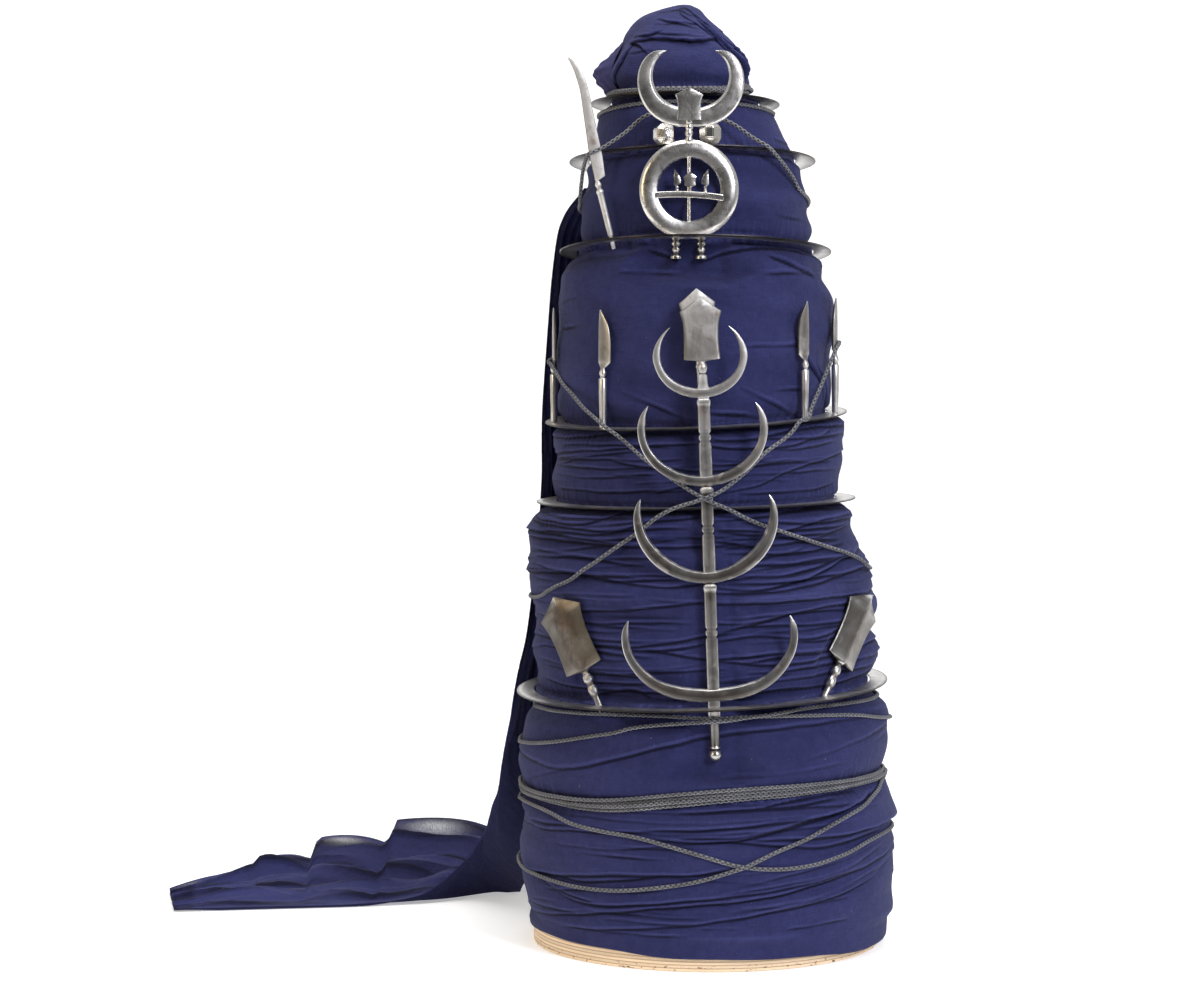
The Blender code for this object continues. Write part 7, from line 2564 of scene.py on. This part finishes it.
class TURBAN_OT_steel(bpy.types.Operator):
    """Makes the staff with its crescents, the blades, the knives, the badge and the knobs"""

    bl_idname = "turban.steel"
    bl_label = "Blades and badge"

    def execute(self, context):
        settings = settings_of(context)
        self.colour = tuple(settings.steel_colour)
        self.add_staff()
        self.add_knives()
        self.add_side_blades()
        self.add_badge()
        self.add_knobs(tuple(settings.knob_colour))
        return {"FINISHED"}

    def add(self, mesh, steel, node):
        need(mesh.polygons, mesh.name)
        shown(mesh.name, mesh, steel, "tarnished_steel", node)

    def add_staff(self):
        spine, crescents = staff_meshes()
        LAID["spine"] = spine.copy()
        staff = smoothed(joined_mesh("staff", [spine, *crescents]))
        self.add(staff, steel_material("forged_steel", self.colour), "crescent_staff")

    def add_knives(self):
        steel = steel_material("knife_steel", self.colour)
        self.add(back_blade("rear_spade_blade"), steel, "back_spade_blade")
        mesh = knife("tall_knife", LONG_KNIFE, LONG_KNIFE_LENGTH, LONG_KNIFE_WIDTH, 1, LONG_KNIFE_FRAME)
        self.add(mesh, steel, "long_knife")
        LAID[mesh.name] = mesh
        steel = steel_material("dark_knife_steel", self.colour)
        for number, row in enumerate(rows_of(SMALL_KNIFE_COLUMNS, SMALL_KNIVES), start=1):
            foot = on_quoit(QUOIT_ROWS[KNIFE_QUOIT], math.radians(row["angle"]), KNIFE_SEAT)
            matrix = standing(foot, foot + Vector((0, 0, KNIFE_LENGTH)), row["angle"] + 90)
            name = f"short_knife_{number}"
            mesh = knife(name, SMALL_KNIFE, KNIFE_LENGTH, KNIFE_WIDTH, row["side"], matrix)
            self.add(mesh, steel, f"small_knife_{number}")
            LAID[mesh.name] = mesh

    def add_side_blades(self):
        steel = steel_material("blade_steel", self.colour)
        for row in rows_of(SIDE_BLADE_COLUMNS, SIDE_BLADES):
            mesh = side_blade(f"broad_blade_{row['side']}", row["frame"], row["ridge"])
            self.add(mesh, steel, f"side_blade_{row['side']}")

    def add_badge(self):
        steel = steel_material("badge_steel", self.colour)
        width = BADGE_RING_RADIUS - BADGE_RING_HOLE
        points = [(width * out, BADGE_DEPTH / 2 * deep) for out, deep in RING_SECTION]
        facing = BADGE_FRAME @ Matrix.Rotation(math.radians(90), 4, "X")
        ring = swept_ring("badge_ring", ring_tree(), BADGE_RING_RADIUS, points, steel, facing, 128)
        self.add(smoothed(joined_mesh("badge", [ring, *badge_meshes()])), steel, "crest_badge")

    def add_knobs(self, colour):
        steel = steel_material("knob_steel", colour)
        for row in rows_of(KNOB_COLUMNS, KNOBS):
            mesh = knob_mesh(f"faceted_knob_{row['side']}", row["across"], row["turn"])
            self.add(mesh, steel, f"knob_{row['side']}")


# Meshes that cords are laid on, kept by the operator that makes them.
LAID = {}


class TURBAN_OT_cords(bpy.types.Operator):
    """Makes the braided cords that are wound round the turban"""

    bl_idname = "turban.cords"
    bl_label = "Cords"

    def execute(self, context):
        settings = settings_of(context)
        self.diameter = settings.cord_diameter
        self.material = cord_material(tuple(settings.cord_colour))
        self.tree = cord_tree()
        cloth = Ground()
        for band in rows_of(BAND_COLUMNS, BANDS):
            cloth.add_mesh(bpy.data.objects[band["name"]].data)
        hard = Ground()
        hard.trees = list(cloth.trees)
        for mesh in LAID.values():
            hard.add_mesh(mesh)
        for row in QUOIT_ROWS:
            hard.add(*rim_faces(row))
        self.lay_bundle("crown_turns", CROWN_BUNDLE, 3, cloth, "crown_cord")
        self.lay_bundle("band_turns", BAND_BUNDLE, 4, cloth, "cord_band")
        self.lay("crown_turn_low", CROWN_LOW_ROUTE, cloth, "crown_cord_low")
        self.lay("crest_turn", CREST_ROUTE, hard, "crest_cord")
        self.lay("cross_turns", CROSS_ROUTE, hard, "cross_cord")
        staff = Ground()
        staff.trees = list(cloth.trees)
        staff.add_mesh(LAID["spine"])
        self.lay("waist_turns", WAIST_ROUTE, staff, "waist_cord")
        self.lay("lower_turns", LOWER_ROUTE, cloth, "lower_cord")
        return {"FINISHED"}

    def grown(self, name, points):
        curve = path_curve(name, points)
        sizes = {"Diameter": self.diameter, "Step": CORD_MESH_STEP, "Sides": CORD_SIDES}
        return self.tree.grow(name, curve, Material=self.material, **sizes)

    def lay(self, name, route, ground, node):
        points = laid_cord(ground, route_path(route), self.diameter)
        mesh = self.grown(name, points)
        need(mesh.polygons, name)
        shown(name, mesh, self.material, "grey_cord", node)

    def lay_bundle(self, name, rows, strands, ground, node):
        meshes = []
        paths = bundle_paths(rows, strands)
        under = {}
        for strand in [*range(0, strands, 2), *range(1, strands, 2)]:
            levels = np.array([row[1] for row in paths[strand]])
            below = np.zeros(len(levels))
            for radii, others in (under[k] for k in (strand - 1, strand + 1) if k in under):
                apart = np.minimum(np.abs(levels - others), self.diameter)
                below = np.maximum(below, radii + np.sqrt(self.diameter**2 - apart**2))
            points = laid_cord(ground, paths[strand], self.diameter, below)
            shifts = np.array([shift_at(level) for level in levels])
            if strand % 2 == 0:
                under[strand] = (np.hypot(points[:, 0] - shifts, points[:, 1]), levels)
            meshes.append(self.grown(f"{name}_{strand}", points))
        mesh = joined_mesh(name, meshes)
        need(mesh.polygons, name)
        shown(name, mesh, self.material, "grey_cord", node)


class TurbanSettings(bpy.types.PropertyGroup):
    """Sizes and colours that a user would change"""

    fold_depth: FloatProperty(
        name="Fold depth",
        description="Factor on the depths of the laps, creases and swells of the wound cloth",
        default=1.65,
        min=0.0,
        max=3.0,
        subtype="FACTOR",
    )
    cord_diameter: FloatProperty(
        name="Cord diameter",
        description="Thickness of each cord",
        default=CORD_DIAMETER,
        min=0.001,
        max=0.01,
        unit="LENGTH",
    )
    quoit_thickness: FloatProperty(
        name="Quoit thickness",
        description="Thickness of the flat steel rings",
        default=QUOIT_THICKNESS,
        min=0.0005,
        max=0.005,
        unit="LENGTH",
    )
    cotton_colour: FloatVectorProperty(
        name="Cotton",
        description="Colour of the wound cotton",
        default=(0.021, 0.023, 0.087),
        min=0.0,
        max=1.0,
        size=3,
        subtype="COLOR",
    )
    steel_colour: FloatVectorProperty(
        name="Steel",
        description="Colour of the steel where it is neither rubbed nor rusty",
        default=(0.50, 0.48, 0.46),
        min=0.0,
        max=1.0,
        size=3,
        subtype="COLOR",
    )
    knob_colour: FloatVectorProperty(
        name="Knobs",
        description="Colour of the two faceted knobs",
        default=(0.74, 0.64, 0.50),
        min=0.0,
        max=1.0,
        size=3,
        subtype="COLOR",
    )
    cord_colour: FloatVectorProperty(
        name="Cord",
        description="Colour of the braided cords",
        default=(0.100, 0.100, 0.110),
        min=0.0,
        max=1.0,
        size=3,
        subtype="COLOR",
    )
    plywood_colour: FloatVectorProperty(
        name="Plywood",
        description="Colour of the plywood base",
        default=(0.90, 0.66, 0.45),
        min=0.0,
        max=1.0,
        size=3,
        subtype="COLOR",
    )


class TURBAN_PT_pieces(bpy.types.Panel):
    """Lists the pieces of the turban"""

    bl_idname = "TURBAN_PT_pieces"
    bl_label = "Turban"
    bl_space_type = "VIEW_3D"
    bl_region_type = "UI"
    bl_category = "Turban"

    def draw(self, context):
        layout = self.layout
        settings = settings_of(context)
        for name in settings.bl_rna.properties.keys():
            if name not in {"name", "rna_type"}:
                layout.prop(settings, name)
        for operator in OPERATORS:
            layout.operator(operator.bl_idname)


OPERATORS = (
    TURBAN_OT_stage,
    TURBAN_OT_base,
    TURBAN_OT_cloth,
    TURBAN_OT_loose_cloth,
    TURBAN_OT_quoits,
    TURBAN_OT_steel,
    TURBAN_OT_cords,
)
CLASSES = (TurbanSettings, *OPERATORS, TURBAN_PT_pieces)


def register():
    for kind in CLASSES:
        bpy.utils.register_class(kind)
    bpy.types.Scene.turban = PointerProperty(type=TurbanSettings)


def unregister():
    del bpy.types.Scene.turban
    for kind in reversed(CLASSES):
        bpy.utils.unregister_class(kind)


def main():
    register()
    bpy.ops.turban.stage()
    bpy.ops.turban.base()
    bpy.ops.turban.cloth()
    bpy.ops.turban.loose_cloth()
    bpy.ops.turban.quoits()
    bpy.ops.turban.steel()
    bpy.ops.turban.cords()


if __name__ == "__main__":
    main()
